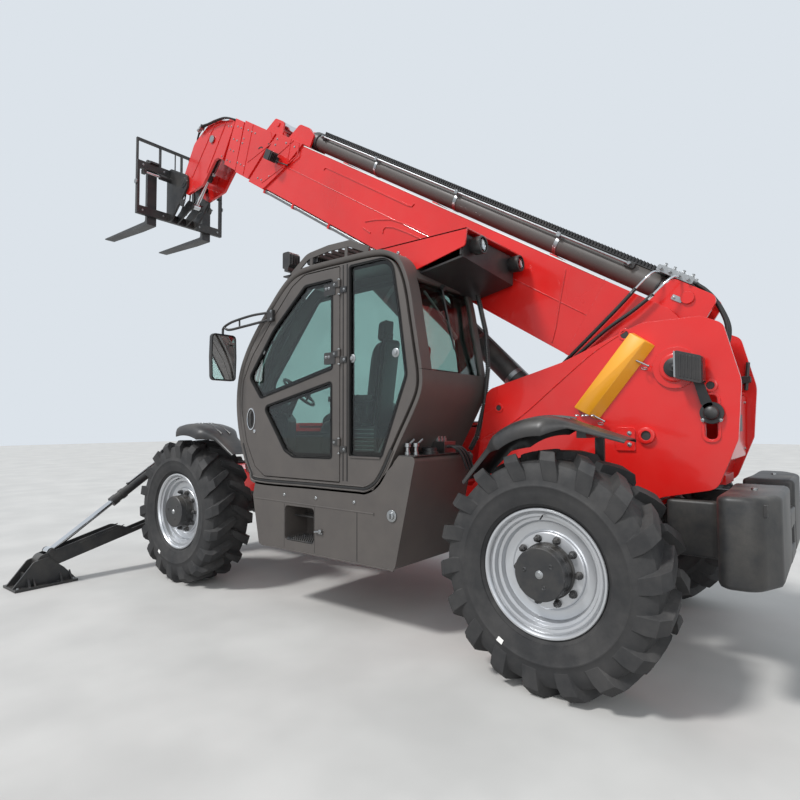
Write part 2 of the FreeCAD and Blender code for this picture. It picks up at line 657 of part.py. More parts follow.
def cab_glass():
    """Windscreen, side, quarter and rear panes, each lying in its opening."""
    skin = cut(prism(grown(CAB_SIDE, -14.0), "X", CAB_IN, CAB_OUT),
               [prism(grown(CAB_SIDE, -14.0 - GLASS_THICK), "X", CAB_IN - 1.0, CAB_OUT + 1.0)])
    screen = skin.common(front_opening(SEAT_GAP))
    rear = skin.common(rear_opening(SEAT_GAP))
    quarter = prism(grown(QUARTER_WINDOW, -SEAT_GAP), "X", CAB_OUT - 20.0, CAB_OUT - 20.0 + GLASS_THICK)
    right = prism(grown(RIGHT_WINDOW, -SEAT_GAP), "X", CAB_IN + 14.0, CAB_IN + 14.0 + GLASS_THICK)
    return Part.makeCompound([screen, rear, quarter, right])


def door():
    """Door frame with openings for its two panes."""
    panel = prism(DOOR_SIDE, "X", CAB_OUT - DOOR_THICK, CAB_OUT)
    openings = [prism(points, "X", CAB_OUT - DOOR_THICK - 1.0, CAB_OUT + 1.0)
                for points in (UPPER_WINDOW, LOWER_WINDOW)]
    return fuse([cut(panel, openings)] + hinge_halves(-1.0))


def door_glass():
    panes = [prism(grown(points, -SEAT_GAP), "X", CAB_OUT - 20.0, CAB_OUT - 20.0 + GLASS_THICK)
             for points in (UPPER_WINDOW, LOWER_WINDOW)]
    return Part.makeCompound(panes)


def seat():
    """Driver's seat on its pedestal, facing forward."""
    mid = (CAB_IN + CAB_OUT) / 2.0
    floor = 955.0 + CAB_WALL
    pedestal = block(mid - 170.0, mid + 170.0, 1720.0, 2060.0, floor, floor + 340.0)
    cushion = prism([(1620.0, floor + 310.0, 40.0), (1620.0, floor + 420.0, 50.0), (2080.0, floor + 400.0, 30.0),
                     (2080.0, floor + 300.0, 30.0)], "X", mid - 240.0, mid + 240.0)
    back = prism([(2040.0, floor + 380.0, 30.0), (2150.0, floor + 380.0, 30.0), (2240.0, floor + 1020.0, 38.0),
                  (2150.0, floor + 1020.0, 38.0)], "X", mid - 220.0, mid + 220.0)
    return fuse([pedestal, cushion, back])


def steering_column():
    """Console with column and wheel."""
    mid = (CAB_IN + CAB_OUT) / 2.0
    floor = 955.0 + CAB_WALL
    console = prism([(1060.0, floor), (1240.0, floor), (1260.0, floor + 420.0, 40.0), (1130.0, floor + 500.0, 60.0),
                     (1040.0, floor + 300.0, 40.0)], "X", mid - 130.0, mid + 130.0)
    foot = Vec(mid, 1190.0, floor + 430.0)
    head = Vec(mid, 1330.0, floor + 640.0)
    column = bar(foot, head, 28.0)
    axis = (head - foot).normalize()
    across = Vec(1, 0, 0)
    rim_corners = [(-14.0, 172.0), (14.0, 172.0), (14.0, 200.0), (-14.0, 200.0)]
    wire = Part.makePolygon([head + axis * a + across * r for a, r in rim_corners + rim_corners[:1]])
    ring = Part.Face(wire).revolve(head, axis, 360)
    spoke = bar(head - across * 180.0, head + across * 180.0, 12.0)
    return fuse([console, column, spoke, ring])


def lower_box():
    """Hollow tank and step box under the cab, its inner side closed by the frame plate."""
    inner = PLATE_IN + PLATE_THICK
    top = 955.0 - SEAT_GAP
    side = [(1031.0, 458.0, 30.0), (2386.0, 456.0, 40.0), (2556.0, 1185.0, 30.0), (2420.0, 1185.0),
            (2205.0, top), (985.0, top), (952.0, 830.0, 30.0)]
    step = [(1335.0, 527.0, 30.0), (1650.0, 527.0, 30.0), (1650.0, 784.0, 30.0), (1335.0, 784.0, 30.0)]
    wall = 12.0
    hollow = prism(grown(side, -wall), "X", inner - 1.0, CAB_OUT - wall)
    pocket = prism(grown(step, wall), "X", CAB_OUT - 230.0 - wall, CAB_OUT)
    opening = prism(step, "X", CAB_OUT - 230.0, CAB_OUT + 1.0)
    cab_floor = prism(grown(CAB_SIDE, SEAT_GAP), "X", CAB_IN, CAB_OUT + 1.0)
    return cut(prism(side, "X", inner, CAB_OUT), [hollow.cut(pocket), opening, cab_floor])


def lamp_canopy():
    """Sheet-metal canopy behind the roof with two rear-facing round lamps."""
    outer = prism([(2330.0, 2420.0), (2850.0, 2420.0, 20.0), (2850.0, 2610.0, 20.0), (2125.0, 2600.0, 20.0),
                   (2125.0, 2560.0 + SEAT_GAP), (2270.0, 2560.0 + SEAT_GAP)], "X", 210.0, 930.0)
    hollow = prism([(2360.0, 2400.0), (2800.0, 2400.0), (2800.0, 2590.0), (2330.0, 2580.0)], "X", 230.0, 910.0)
    roof = prism(grown(CAB_SIDE, SEAT_GAP), "X", CAB_IN - SEAT_GAP, CAB_OUT)
    body = cut(outer, [hollow, roof])
    lamps = [bar(Vec(x, 2810.0, 2525.0), Vec(x, 2900.0, 2525.0), 52.0) for x in (270.0, 800.0)]
    return fuse([body] + lamps)


def roof_lamps():
    """Work lamp on the roof's front edge."""
    lamp = prism([(1470.0, 2600.0, 20.0), (1580.0, 2600.0, 20.0), (1560.0, 2690.0, 30.0), (1460.0, 2680.0, 20.0)],
                 "X", 850.0, 990.0)
    stalk = block(910.0, 930.0, 1500.0, 1560.0, 2560.0, 2600.0)
    return fuse([lamp, stalk])


def mirror():
    """Rear-view mirror on its tubular arm from the front pillar."""
    glass = prism([(700.0, 1740.0, 18.0), (735.0, 1740.0, 10.0), (735.0, 2120.0, 10.0), (700.0, 2120.0, 18.0)],
                  "X", 1090.0, 1330.0)
    arm = fuse([bar(Vec(1210.0, 725.0, 1930.0), Vec(1210.0, 780.0, 1930.0), 10.0),
                bar(Vec(1210.0, 780.0, 1880.0), Vec(1210.0, 780.0, 2250.0), 14.0),
                bar(Vec(1210.0, 780.0, 2230.0), Vec(CAB_OUT + 12.0, 1190.0, 2230.0), 10.0)])
    foot = block(CAB_OUT + SEAT_GAP, CAB_OUT + 26.0, 1165.0, 1215.0, 2212.0, 2248.0)
    return fuse([glass, arm, foot])


def engine_bay():
    """Open tub of the engine pod with its inner wall."""
    outer = prism([(-POD_OUT, POD_LOW, 60.0), (-POD_OUT, POD_SPLIT), (-POD_IN - POD_WALL, POD_SPLIT),
                   (-POD_IN - POD_WALL, POD_TOP - 40.0), (-POD_IN, POD_TOP - 40.0), (-POD_IN, POD_LOW)],
                  "Y", POD_FRONT, POD_REAR)
    inner = block(-POD_OUT + POD_WALL, -POD_IN - POD_WALL, POD_FRONT + POD_WALL, POD_REAR - POD_WALL,
                  POD_LOW + POD_WALL, POD_TOP)
    legs = [block(-POD_IN, -PLATE_IN - PLATE_THICK, y, y + 120.0, 780.0, 900.0) for y in (900.0, 2300.0)]
    hinges = []
    for y in HOOD_HINGES:
        start = y + HOOD_HINGE_LENGTH + SEAT_GAP
        end = start + HOOD_HINGE_LENGTH
        hinges.append(bar(Vec(HOOD_HINGE_X, start, HOOD_HINGE_Z), Vec(HOOD_HINGE_X, end, HOOD_HINGE_Z),
                          HOOD_HINGE_RADIUS))
        hinges.append(block(HOOD_HINGE_X, -POD_IN, start, end, POD_TOP - 60.0, HOOD_HINGE_Z))
    return fuse([cut(outer, [inner])] + legs + hinges)


def engine_hood():
    """Lifting hood over the engine, hinged along its inner top edge."""
    inner = HOOD_HINGE_X - HOOD_HINGE_RADIUS - SIDE_GAP
    low = POD_SPLIT + SEAT_GAP
    outer = prism([(-POD_OUT, low), (-POD_OUT, POD_TOP, 90.0), (inner, POD_TOP), (inner, POD_TOP - 25.0),
                   (-POD_OUT + POD_WALL, POD_TOP - 25.0, 70.0), (-POD_OUT + POD_WALL, low)],
                  "Y", POD_FRONT, POD_REAR)
    ends = [prism([(-POD_OUT, low), (-POD_OUT, POD_TOP, 90.0), (inner, POD_TOP), (inner, low)],
                  "Y", y, y + POD_WALL) for y in (POD_FRONT, POD_REAR - POD_WALL)]
    hinges = []
    for y in HOOD_HINGES:
        end = y + HOOD_HINGE_LENGTH
        hinges.append(bar(Vec(HOOD_HINGE_X, y, HOOD_HINGE_Z), Vec(HOOD_HINGE_X, end, HOOD_HINGE_Z),
                          HOOD_HINGE_RADIUS))
        hinges.append(block(inner - 10.0, HOOD_HINGE_X, y, end, HOOD_HINGE_Z - 8.0, POD_TOP))
    return fuse([outer] + ends + hinges)


def engine_block():
    """Engine and transmission as one plain mass."""
    return block(-930.0, -550.0, 1050.0, 2050.0, POD_LOW + POD_WALL, 1100.0)


# Boom

def section_sizes(number):
    """Half width, bottom and top of boom section 1 to 4, each inside the one before."""
    step = (number - 1) * (SECTION_WALL + SECTION_STEP)
    return SECTION_1_HALF - step, SECTION_1_LOW + step, SECTION_1_TOP - step


def box_tube(number, s0, s1):
    half, low, top = section_sizes(number)
    wall = SECTION_WALL
    return cut(boom_box(s0, s1, half, low, top), [boom_box(s0 - 1.0, s1 + 1.0, half - wall, low + wall, top - wall)])


def pads(number, s0, s1):
    """Wear pads inside the front of a section, which carry the next section."""
    half, low, top = section_sizes(number)
    next_half, next_low, next_top = section_sizes(number + 1)
    wall = SECTION_WALL
    flat = [boom_box(s0, s1, next_half - 20.0, low + wall - 1.0, next_low - SEAT_GAP),
            boom_box(s0, s1, next_half - 20.0, next_top + SEAT_GAP, top - wall + 1.0)]
    sides = []
    for side in (-1.0, 1.0):
        a = side * (next_half + SEAT_GAP)
        b = side * (half - wall + 1.0)
        sides.append(block(min(a, b), max(a, b), -s1, -s0, low + 60.0, low + 160.0))
        sides.append(block(min(a, b), max(a, b), -s1, -s0, top - 160.0, top - 60.0))
    return flat + sides


def collar(number, points):
    """Reinforced front end round a section, open for the next one."""
    half, low, top = section_sizes(number)
    band = boom_prism(points, -half - 18.0, half + 18.0)
    wall = SECTION_WALL
    reach = boom_box(points[0][0] - 600.0, points[0][0] + 1200.0, half - wall, low + wall, top - wall)
    return cut(band, [reach])


def section_1():
    """Outer boom section with pivot tube, lift lugs and the extension cylinder's brackets."""
    half, low, top = section_sizes(1)
    nose_at = EXT_EYE - 210.0
    gland = EXT_EYE - EXT_SHOWN
    tube = box_tube(1, 250.0, nose_at - 30.0)
    tail = boom_prism([(-150.0, -130.0, 100.0), (-150.0, 150.0, 100.0), (250.0, top, 60.0), (700.0, top),
                       (700.0, low), (420.0, low, 100.0)], half - SECTION_WALL, half + 17.0)
    cheeks = [tail, mirrored(tail)]
    pivot = boom_pin(0.0, 0.0, -PLATE_IN - PLATE_THICK - 30.0, PLATE_IN + PLATE_THICK + 30.0, PIVOT_PIN)
    boss = boom_pin(0.0, 0.0, -PLATE_IN + SIDE_GAP, PLATE_IN - SIDE_GAP, 105.0)
    rear_bracket = [boom_prism([(60.0, 180.0), (60.0, 470.0, 50.0), (360.0, 470.0, 50.0), (420.0, 280.0),
                                (420.0, 230.0)], x, x + 20.0) for x in (-115.0, 95.0)]
    bracket_floor = boom_prism([(100.0, 200.0), (420.0, 270.0), (420.0, 290.0), (100.0, 225.0)], -115.0, 115.0)
    front_bracket = [boom_prism([(gland - 50.0, 280.0), (gland - 50.0, 430.0, 30.0), (gland + 50.0, 475.0, 60.0),
                                 (gland + 220.0, 475.0, 60.0), (gland + 340.0, 280.0)], x, x + 20.0)
                     for x in (-105.0, 85.0)]
    lug = LIFT_PIN_S
    lift_lugs = [boom_prism([(lug - 200.0, low + 10.0), (lug - 90.0, LIFT_PIN_N - 60.0, 60.0),
                             (lug + 90.0, LIFT_PIN_N - 60.0, 60.0), (lug + 220.0, low + 10.0)], x, x + 30.0)
                 for x in (-LIFT_BASE_HALF - SIDE_GAP - 30.0, LIFT_BASE_HALF + SIDE_GAP)]
    ext_pin = boom_pin(EXT_REAR, EXT_N, -122.0, 122.0, 25.0)
    lift_pin = boom_pin(LIFT_PIN_S, LIFT_PIN_N, -LIFT_BASE_HALF - 45.0, LIFT_BASE_HALF + 45.0, 45.0)
    nose = collar(1, [(nose_at - 440.0, 308.0), (nose_at, 308.0), (nose_at + 210.0, -268.0),
                      (nose_at - 70.0, -268.0), (nose_at - 280.0, 0.0, 80.0)])
    body = fuse([tube] + cheeks + [pivot, boss] + rear_bracket + [bracket_floor] + front_bracket + lift_lugs + [nose])
    pinned = fuse([body, ext_pin, lift_pin] + pads(1, nose_at - 90.0, nose_at - 20.0))
    return raised(pinned)


def section_2():
    eye = EXT_EYE
    tube = box_tube(2, 480.0, eye + 340.0)
    nose = collar(2, [(eye - 150.0, 290.0), (eye + 440.0, 290.0), (eye + 320.0, -250.0), (eye + 60.0, -250.0)])
    lugs = [boom_prism([(eye - 140.0, 280.0), (eye - 80.0, EXT_N + 45.0, 40.0), (eye + 80.0, EXT_N + 45.0, 40.0),
                        (eye + 180.0, 280.0)], x, x + 20.0) for x in (-80.0, 60.0)]
    rod_pin = boom_pin(EXT_EYE, EXT_N, -90.0, 90.0, 25.0)
    return raised(fuse([tube, nose] + lugs + [rod_pin] + pads(2, eye + 260.0, eye + 320.0)))


def section_3():
    end = EXT_EYE + 600.0
    tube = box_tube(3, 560.0, end)
    nose = collar(3, [(end - 115.0, 272.0), (end + 55.0, 272.0), (end, -236.0), (end - 240.0, -236.0)])
    return raised(fuse([tube, nose] + pads(3, end - 80.0, end - 10.0)))


# Side of the goose-neck head as (distance ahead of its rear edge, height, corner radius)

HEAD_SIDE = [(0.0, -205.0, 20.0), (0.0, 242.0, 20.0), (175.0, 205.0, 100.0), (455.0, 150.0, 90.0),
             (685.0, -190.0, 150.0), (690.0, -600.0, 120.0), (635.0, -770.0, 70.0), (485.0, -770.0, 60.0),
             (225.0, -560.0, 140.0), (145.0, -240.0, 90.0), (85.0, -205.0, 20.0)]


def section_4():
    """Inner boom section with the goose-neck head welded to it."""
    rear = EXT_EYE + 675.0
    tube = box_tube(4, 640.0, rear + 165.0)
    side = [(rear + s, n, radius) for s, n, radius in HEAD_SIDE]
    plates = []
    for x in (-HEAD_IN - HEAD_PLATE, HEAD_IN):
        plates.append(boom_prism(side, x, x + HEAD_PLATE))
        plates.append(boom_pin(TILT_PIVOT_S, TILT_PIVOT_N, x, x + HEAD_PLATE, 78.0))
    wrap = boom_prism([(rear, 242.0), (rear + 175.0, 205.0, 90.0), (rear + 455.0, 150.0, 90.0),
                       (rear + 625.0, -100.0), (rear + 612.0, -108.0), (rear + 447.0, 136.0, 80.0),
                       (rear + 171.0, 190.0, 90.0), (rear, 227.0)], -HEAD_IN, HEAD_IN)
    cross = boom_prism([(rear + 165.0, -205.0), (rear + 165.0, -190.0), (rear, -190.0), (rear, -205.0)],
                       -HEAD_IN, HEAD_IN)
    base_pin = boom_pin(TILT_BASE_S, TILT_BASE_N, -HEAD_IN - HEAD_PLATE - 8.0, HEAD_IN + HEAD_PLATE + 8.0, 28.0)
    body = fuse([tube] + plates + [wrap, cross, base_pin])
    bore = boom_pin(TILT_PIVOT_S, TILT_PIVOT_N, -300.0, 300.0, 35.0 + RUNNING_FIT)
    return raised(cut(body, [bore]))


def cylinder_line(base, eye):
    """Direction and length between the two pins of a cylinder."""
    line = eye - base
    return line / line.Length, line.Length


def cylinder_barrel(base, eye, across, radius, rod, length, bore, eye_half):
    """Barrel from its base eye to its gland, bored for the rod. across is the direction of the pins."""
    along, reach = cylinder_line(base, eye)
    body = fuse([bar(base, base + along * length, radius),
                 bar(base - across * eye_half, base + across * eye_half, radius - 4.0),
                 bar(base + along * (length - 60.0), base + along * length, radius + 5.0)])
    passage = bar(base + along * (bore + radius), base + along * (length + 5.0), rod + RUNNING_FIT)
    eye_bore = bar(base - across * (eye_half + 5.0), base + across * (eye_half + 5.0), bore + RUNNING_FIT)
    return cut(body, [passage, eye_bore])


def cylinder_rod(base, eye, across, rod, length, eye_radius, eye_half):
    """Piston rod of a stated length, from the middle of its eye back into the barrel."""
    along, reach = cylinder_line(base, eye)
    shaft = bar(eye - along * length, eye, rod)
    boss = bar(eye - across * eye_half, eye + across * eye_half, eye_radius)
    return fuse([shaft, boss])


def extension_cylinder():
    base = Vec(0, -EXT_REAR, EXT_N)
    eye = Vec(0, -EXT_EYE, EXT_N)
    barrel = cylinder_barrel(base, eye, AXES["X"], EXT_RADIUS, EXT_ROD, EXT_EYE - EXT_SHOWN - EXT_REAR, 25.0, 90.0)
    keep("extension_barrel", raised(barrel))
    rod_length = EXT_EYE - EXT_REAR - EXT_ROD_CLEAR
    rod = cylinder_rod(base, eye, AXES["X"], EXT_ROD, rod_length, 48.0, 55.0)
    rod = cut(rod, [boom_pin(EXT_EYE, EXT_N, -90.0, 90.0, 25.0 + RUNNING_FIT)])
    keep("extension_rod", raised(rod))


def lift_cylinder():
    """Barrel pinned under the boom, its rod's eye between the ears of the frame's cradle."""
    y, z = on_machine(LIFT_PIN_S, LIFT_PIN_N)
    base = Vec(0, y, z)
    eye = Vec(0, LIFT_BASE_Y, LIFT_BASE_Z)
    barrel = cylinder_barrel(base, eye, AXES["X"], LIFT_RADIUS, LIFT_ROD, LIFT_BARREL, 45.0, LIFT_BASE_HALF)
    keep("lift_barrel", barrel)
    rod = cylinder_rod(base, eye, AXES["X"], LIFT_ROD, LIFT_ROD_LENGTH, 75.0, LIFT_EYE_HALF)
    keep("lift_rod", cut(rod, [pin(eye.y, eye.z, -90.0, 90.0, 45.0 + RUNNING_FIT)]))


def tilt_cylinder():
    base_y, base_z = on_machine(TILT_BASE_S, TILT_BASE_N)
    eye_y, eye_z = on_machine(TILT_EYE_S, TILT_EYE_N)
    base = Vec(0, base_y, base_z)
    eye = Vec(0, eye_y, eye_z)
    barrel = cylinder_barrel(base, eye, AXES["X"], TILT_RADIUS, TILT_ROD, TILT_BARREL, 28.0, 48.0)
    keep("tilt_barrel", barrel)
    keep("tilt_rod", cylinder_rod(base, eye, AXES["X"], TILT_ROD, TILT_ROD_LENGTH, 36.0, 42.0))


def carriage():
    """Fork carriage with its ears, guard and load bars."""
    py, pz = on_machine(TILT_PIVOT_S, TILT_PIVOT_N)
    ey, ez = on_machine(TILT_EYE_S, TILT_EYE_N)
    back, bar_low, bar_top = carriage_place()
    guard_top = bar_top + GUARD_RISE
    front = back - 45.0
    half = CARRIAGE_HALF
    pieces = [block(-half, half, front, back, bar_low, bar_low + 100.0),
              block(-half, half, front, back, bar_top - 90.0, bar_top),
              block(-half, half, front, front + 30.0, guard_top - 30.0, guard_top)]
    for x in (-half, half - 30.0):
        pieces.append(block(x, x + 30.0, front, back, bar_low, bar_top))
    for i in range(5):
        x = -half + i * (2.0 * half - 20.0) / 4.0
        pieces.append(block(x, x + 20.0, front, front + 30.0, bar_top - 10.0, guard_top))
    ear = HEAD_IN + HEAD_PLATE + SIDE_GAP
    for x in (-ear - 25.0, ear):
        pieces.append(prism([(back, bar_low), (back, bar_top, 20.0), (back + 60.0, bar_top, 60.0),
                             (py + 75.0, pz + 75.0, 70.0), (py + 75.0, pz - 75.0, 70.0),
                             (back + 60.0, bar_low, 60.0)], "X", x, x + 25.0))
        pieces.append(block(x, x + 25.0, front, back, bar_low, bar_top))
    for x in (-70.0, 50.0):
        pieces.append(prism([(back, bar_low), (back, bar_low + 100.0), (ey - 60.0, ez + 80.0, 40.0),
                             (ey + 45.0, ez + 30.0, 40.0), (ey + 45.0, ez - 45.0, 40.0), (ey - 60.0, ez - 60.0, 40.0)],
                            "X", x, x + 20.0))
    pieces.append(pin(py, pz, -ear - 40.0, ear + 40.0, 35.0))
    return fuse(pieces)


def forks():
    """Pair of forks hooked over the carriage bars."""
    back, bar_low, bar_top = carriage_place()
    face = back - 45.0 - SEAT_GAP
    fork_low = bar_low - FORK_DROP
    blade_top = fork_low + FORK_THICK
    tip = back - FORK_LENGTH
    shapes = []
    for side in (-1.0, 1.0):
        low = side * FORK_X - FORK_WIDTH / 2.0
        shape = prism([(face, fork_low), (face, bar_top + 60.0, 10.0), (face - FORK_THICK, bar_top + 60.0, 10.0),
                       (face - FORK_THICK, blade_top, 30.0), (tip, blade_top), (tip, blade_top - 14.0),
                       (face - 300.0, fork_low)], "X", low, low + FORK_WIDTH)
        hook = block(low, low + FORK_WIDTH, face, back + 25.0, bar_top + SEAT_GAP, bar_top + 25.0)
        shapes.append(fuse([shape, hook]))
    return Part.makeCompound(shapes)


# Stabilisers, drawn on the left

def leg_frame(shape):
    """From a drawing along +X from the pivot to the leg's place."""
    placed = shape.copy()
    placed.rotate(Vec(0, 0, 0), Vec(0, -1, 0), LEG_ANGLE)
    placed.translate(Vec(LEG_PIVOT_X, STAB_Y, LEG_PIVOT_Z))
    return placed


def stabiliser_leg():
    """Channel-shaped leg, open on top for its cylinder, with a flat-soled foot."""
    half = LEG_WIDTH / 2.0
    low = -LEG_DEPTH / 2.0
    high = LEG_DEPTH / 2.0
    reach = LEG_LENGTH
    cheek = [(-55.0, low, 50.0), (-55.0, 45.0, 50.0), (60.0, 45.0, 60.0), (300.0, high - 30.0, 100.0),
             (420.0, -25.0, 40.0), (620.0, -25.0, 40.0), (740.0, high, 100.0), (reach + 20.0, high, 60.0),
             (reach + 60.0, low, 40.0)]
    solid = prism(cheek, "Y", -half, half)
    channel = block(70.0, reach - 30.0, -half + LEG_CHEEK, half - LEG_CHEEK, low + LEG_CHEEK, high + 50.0)
    bore = bar(Vec(0, -half - 1.0, 0), Vec(0, half + 1.0, 0), 32.0 + RUNNING_FIT)
    leg = leg_frame(cut(solid, [channel, bore]))
    foot_x = LEG_PIVOT_X + (LEG_LENGTH - FOOT_BACK) * math.cos(math.radians(LEG_ANGLE))
    sole_in = foot_x - SOLE_REACH
    sole_out = foot_x + SOLE_REACH
    foot = prism([(sole_in, 0.0, 4.0), (sole_out, 0.0, 4.0), (sole_out, 22.0, 10.0), (foot_x + 90.0, 215.0, 40.0),
                  (foot_x - 20.0, 240.0, 40.0), (foot_x - 150.0, 130.0), (sole_in, 22.0)],
                 "Y", STAB_Y - half - 16.0, STAB_Y - half)
    foot_far = foot.copy()
    foot_far.translate(Vec(0, LEG_WIDTH + 16.0, 0))
    sole = block(sole_in, sole_out, STAB_Y - SOLE_HALF, STAB_Y + SOLE_HALF, 0.0, 20.0)
    ribs = [prism([(STAB_Y - SOLE_HALF, 10.0), (STAB_Y + SOLE_HALF, 10.0), (STAB_Y + half, 120.0),
                   (STAB_Y - half, 120.0)], "X", x, x + 15.0) for x in (sole_in + 120.0, sole_out - 120.0)]
    return fuse([leg, foot, foot_far, sole] + ribs)


def stabilisers():
    across = AXES["Y"]
    base = Vec(STAB_BASE_X, STAB_Y, STAB_BASE_Z)
    eye = Vec(STAB_EYE_X, STAB_Y, STAB_EYE_Z)
    shapes = {"stabiliser_leg": stabiliser_leg(),
              "stabiliser_barrel": cylinder_barrel(base, eye, across, STAB_RADIUS, STAB_ROD, STAB_BARREL, 25.0, 48.0),
              "stabiliser_rod": cylinder_rod(base, eye, across, STAB_ROD, STAB_ROD_LENGTH, 36.0, 48.0)}
    for name, shape in shapes.items():
        keep(name + "_left", shape)
        keep(name + "_right", mirrored(shape))


wheels()
running_gear()
plate = frame_plate()
keep("frame_plates", Part.makeCompound([plate, mirrored(plate)]))
cradle = lift_cradle()
keep("frame_crosses", Part.makeCompound([frame_beam(), frame_back(), cradle, mirrored(cradle)]))
keep("stabiliser_tower", stabiliser_tower())
keep("counterweight", counterweight())
keep("boom_lock", boom_lock())
keep("cab_shell", cab_shell())
keep("cab_roof", cab_roof())
keep("cab_glass", cab_glass())
keep("cab_door", door())
keep("door_glass", door_glass())
keep("seat", seat())
keep("steering_column", steering_column())
keep("lower_box", lower_box())
keep("lamp_canopy", lamp_canopy())
keep("roof_lamp", roof_lamps())
keep("mirror", mirror())
keep("engine_bay", engine_bay())
keep("engine_hood", engine_hood())
keep("engine_block", engine_block())
keep("boom_section_1", section_1())
keep("boom_section_2", section_2())
keep("boom_section_3", section_3())
keep("boom_section_4", section_4())
extension_cylinder()
lift_cylinder()
tilt_cylinder()
keep("fork_carriage", carriage())
keep("forks", forks())
stabilisers()
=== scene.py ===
"""Looks of a telescopic handler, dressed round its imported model."""
import math

import bmesh
import bpy
from mathutils import Matrix, Vector


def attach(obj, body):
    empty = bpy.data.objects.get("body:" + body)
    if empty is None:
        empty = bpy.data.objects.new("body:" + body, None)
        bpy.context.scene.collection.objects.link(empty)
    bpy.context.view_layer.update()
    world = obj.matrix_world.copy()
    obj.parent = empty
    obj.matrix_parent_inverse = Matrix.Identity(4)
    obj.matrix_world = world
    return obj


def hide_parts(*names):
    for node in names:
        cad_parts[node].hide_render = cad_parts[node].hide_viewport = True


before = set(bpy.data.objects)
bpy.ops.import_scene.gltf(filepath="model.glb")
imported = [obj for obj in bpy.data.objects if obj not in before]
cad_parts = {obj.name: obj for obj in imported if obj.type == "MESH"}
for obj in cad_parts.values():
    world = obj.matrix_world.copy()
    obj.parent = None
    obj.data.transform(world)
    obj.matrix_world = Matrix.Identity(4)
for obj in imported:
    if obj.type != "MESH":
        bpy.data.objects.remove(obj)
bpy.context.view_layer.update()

# Drawing frames. Sizes are in millimetres: the machine's are (x, distance behind the front axle, height),
# the boom's are (x, distance ahead of its pivot, height across it).

STATION = 660.0
BOOM_ANGLE = math.radians(31.8)
MACHINE = Matrix.Scale(0.001, 4) @ Matrix.Translation((0.0, -STATION, 0.0))
AHEAD = Vector((0.0, -math.cos(BOOM_ANGLE), math.sin(BOOM_ANGLE)))
ACROSS = Vector((0.0, math.sin(BOOM_ANGLE), math.cos(BOOM_ANGLE)))
BOOM = MACHINE @ Matrix.Translation((0.0, 3900.0, 1710.0)) @ Matrix(
    ((1, 0, 0, 0), (0, AHEAD.y, ACROSS.y, 0), (0, AHEAD.z, ACROSS.z, 0), (0, 0, 0, 1)))

WHEELS = {"front_left": (1000.0, 0.0), "front_right": (-1000.0, 0.0),
          "rear_left": (1000.0, 3420.0), "rear_right": (-1000.0, 3420.0)}
AXLE_Z = 625.0


def on_boom(x, s, n):
    """Place on the machine of a point of the boom's drawing."""
    return MACHINE.inverted() @ (BOOM @ Vector((x, s, n)))


# Materials

def linear(code):
    """sRGB hex value as linear colour."""
    parts = [int(code[i:i + 2], 16) / 255.0 for i in (1, 3, 5)]
    return tuple(c / 12.92 if c <= 0.04045 else ((c + 0.055) / 1.055) ** 2.4 for c in parts) + (1.0,)


def add(tree, kind, values=None, links=None, **settings):
    """One shader node with its settings, its sockets' values and what is linked to them."""
    made = tree.nodes.new(kind)
    for key, value in settings.items():
        setattr(made, key, value)
    for key, value in (values or {}).items():
        made.inputs[key].default_value = value
    for key, source in (links or {}).items():
        tree.links.new(source, made.inputs[key])
    return made


def per_metre(size_mm):
    """Noise scale for a pattern of a real size."""
    return 1000.0 / size_mm


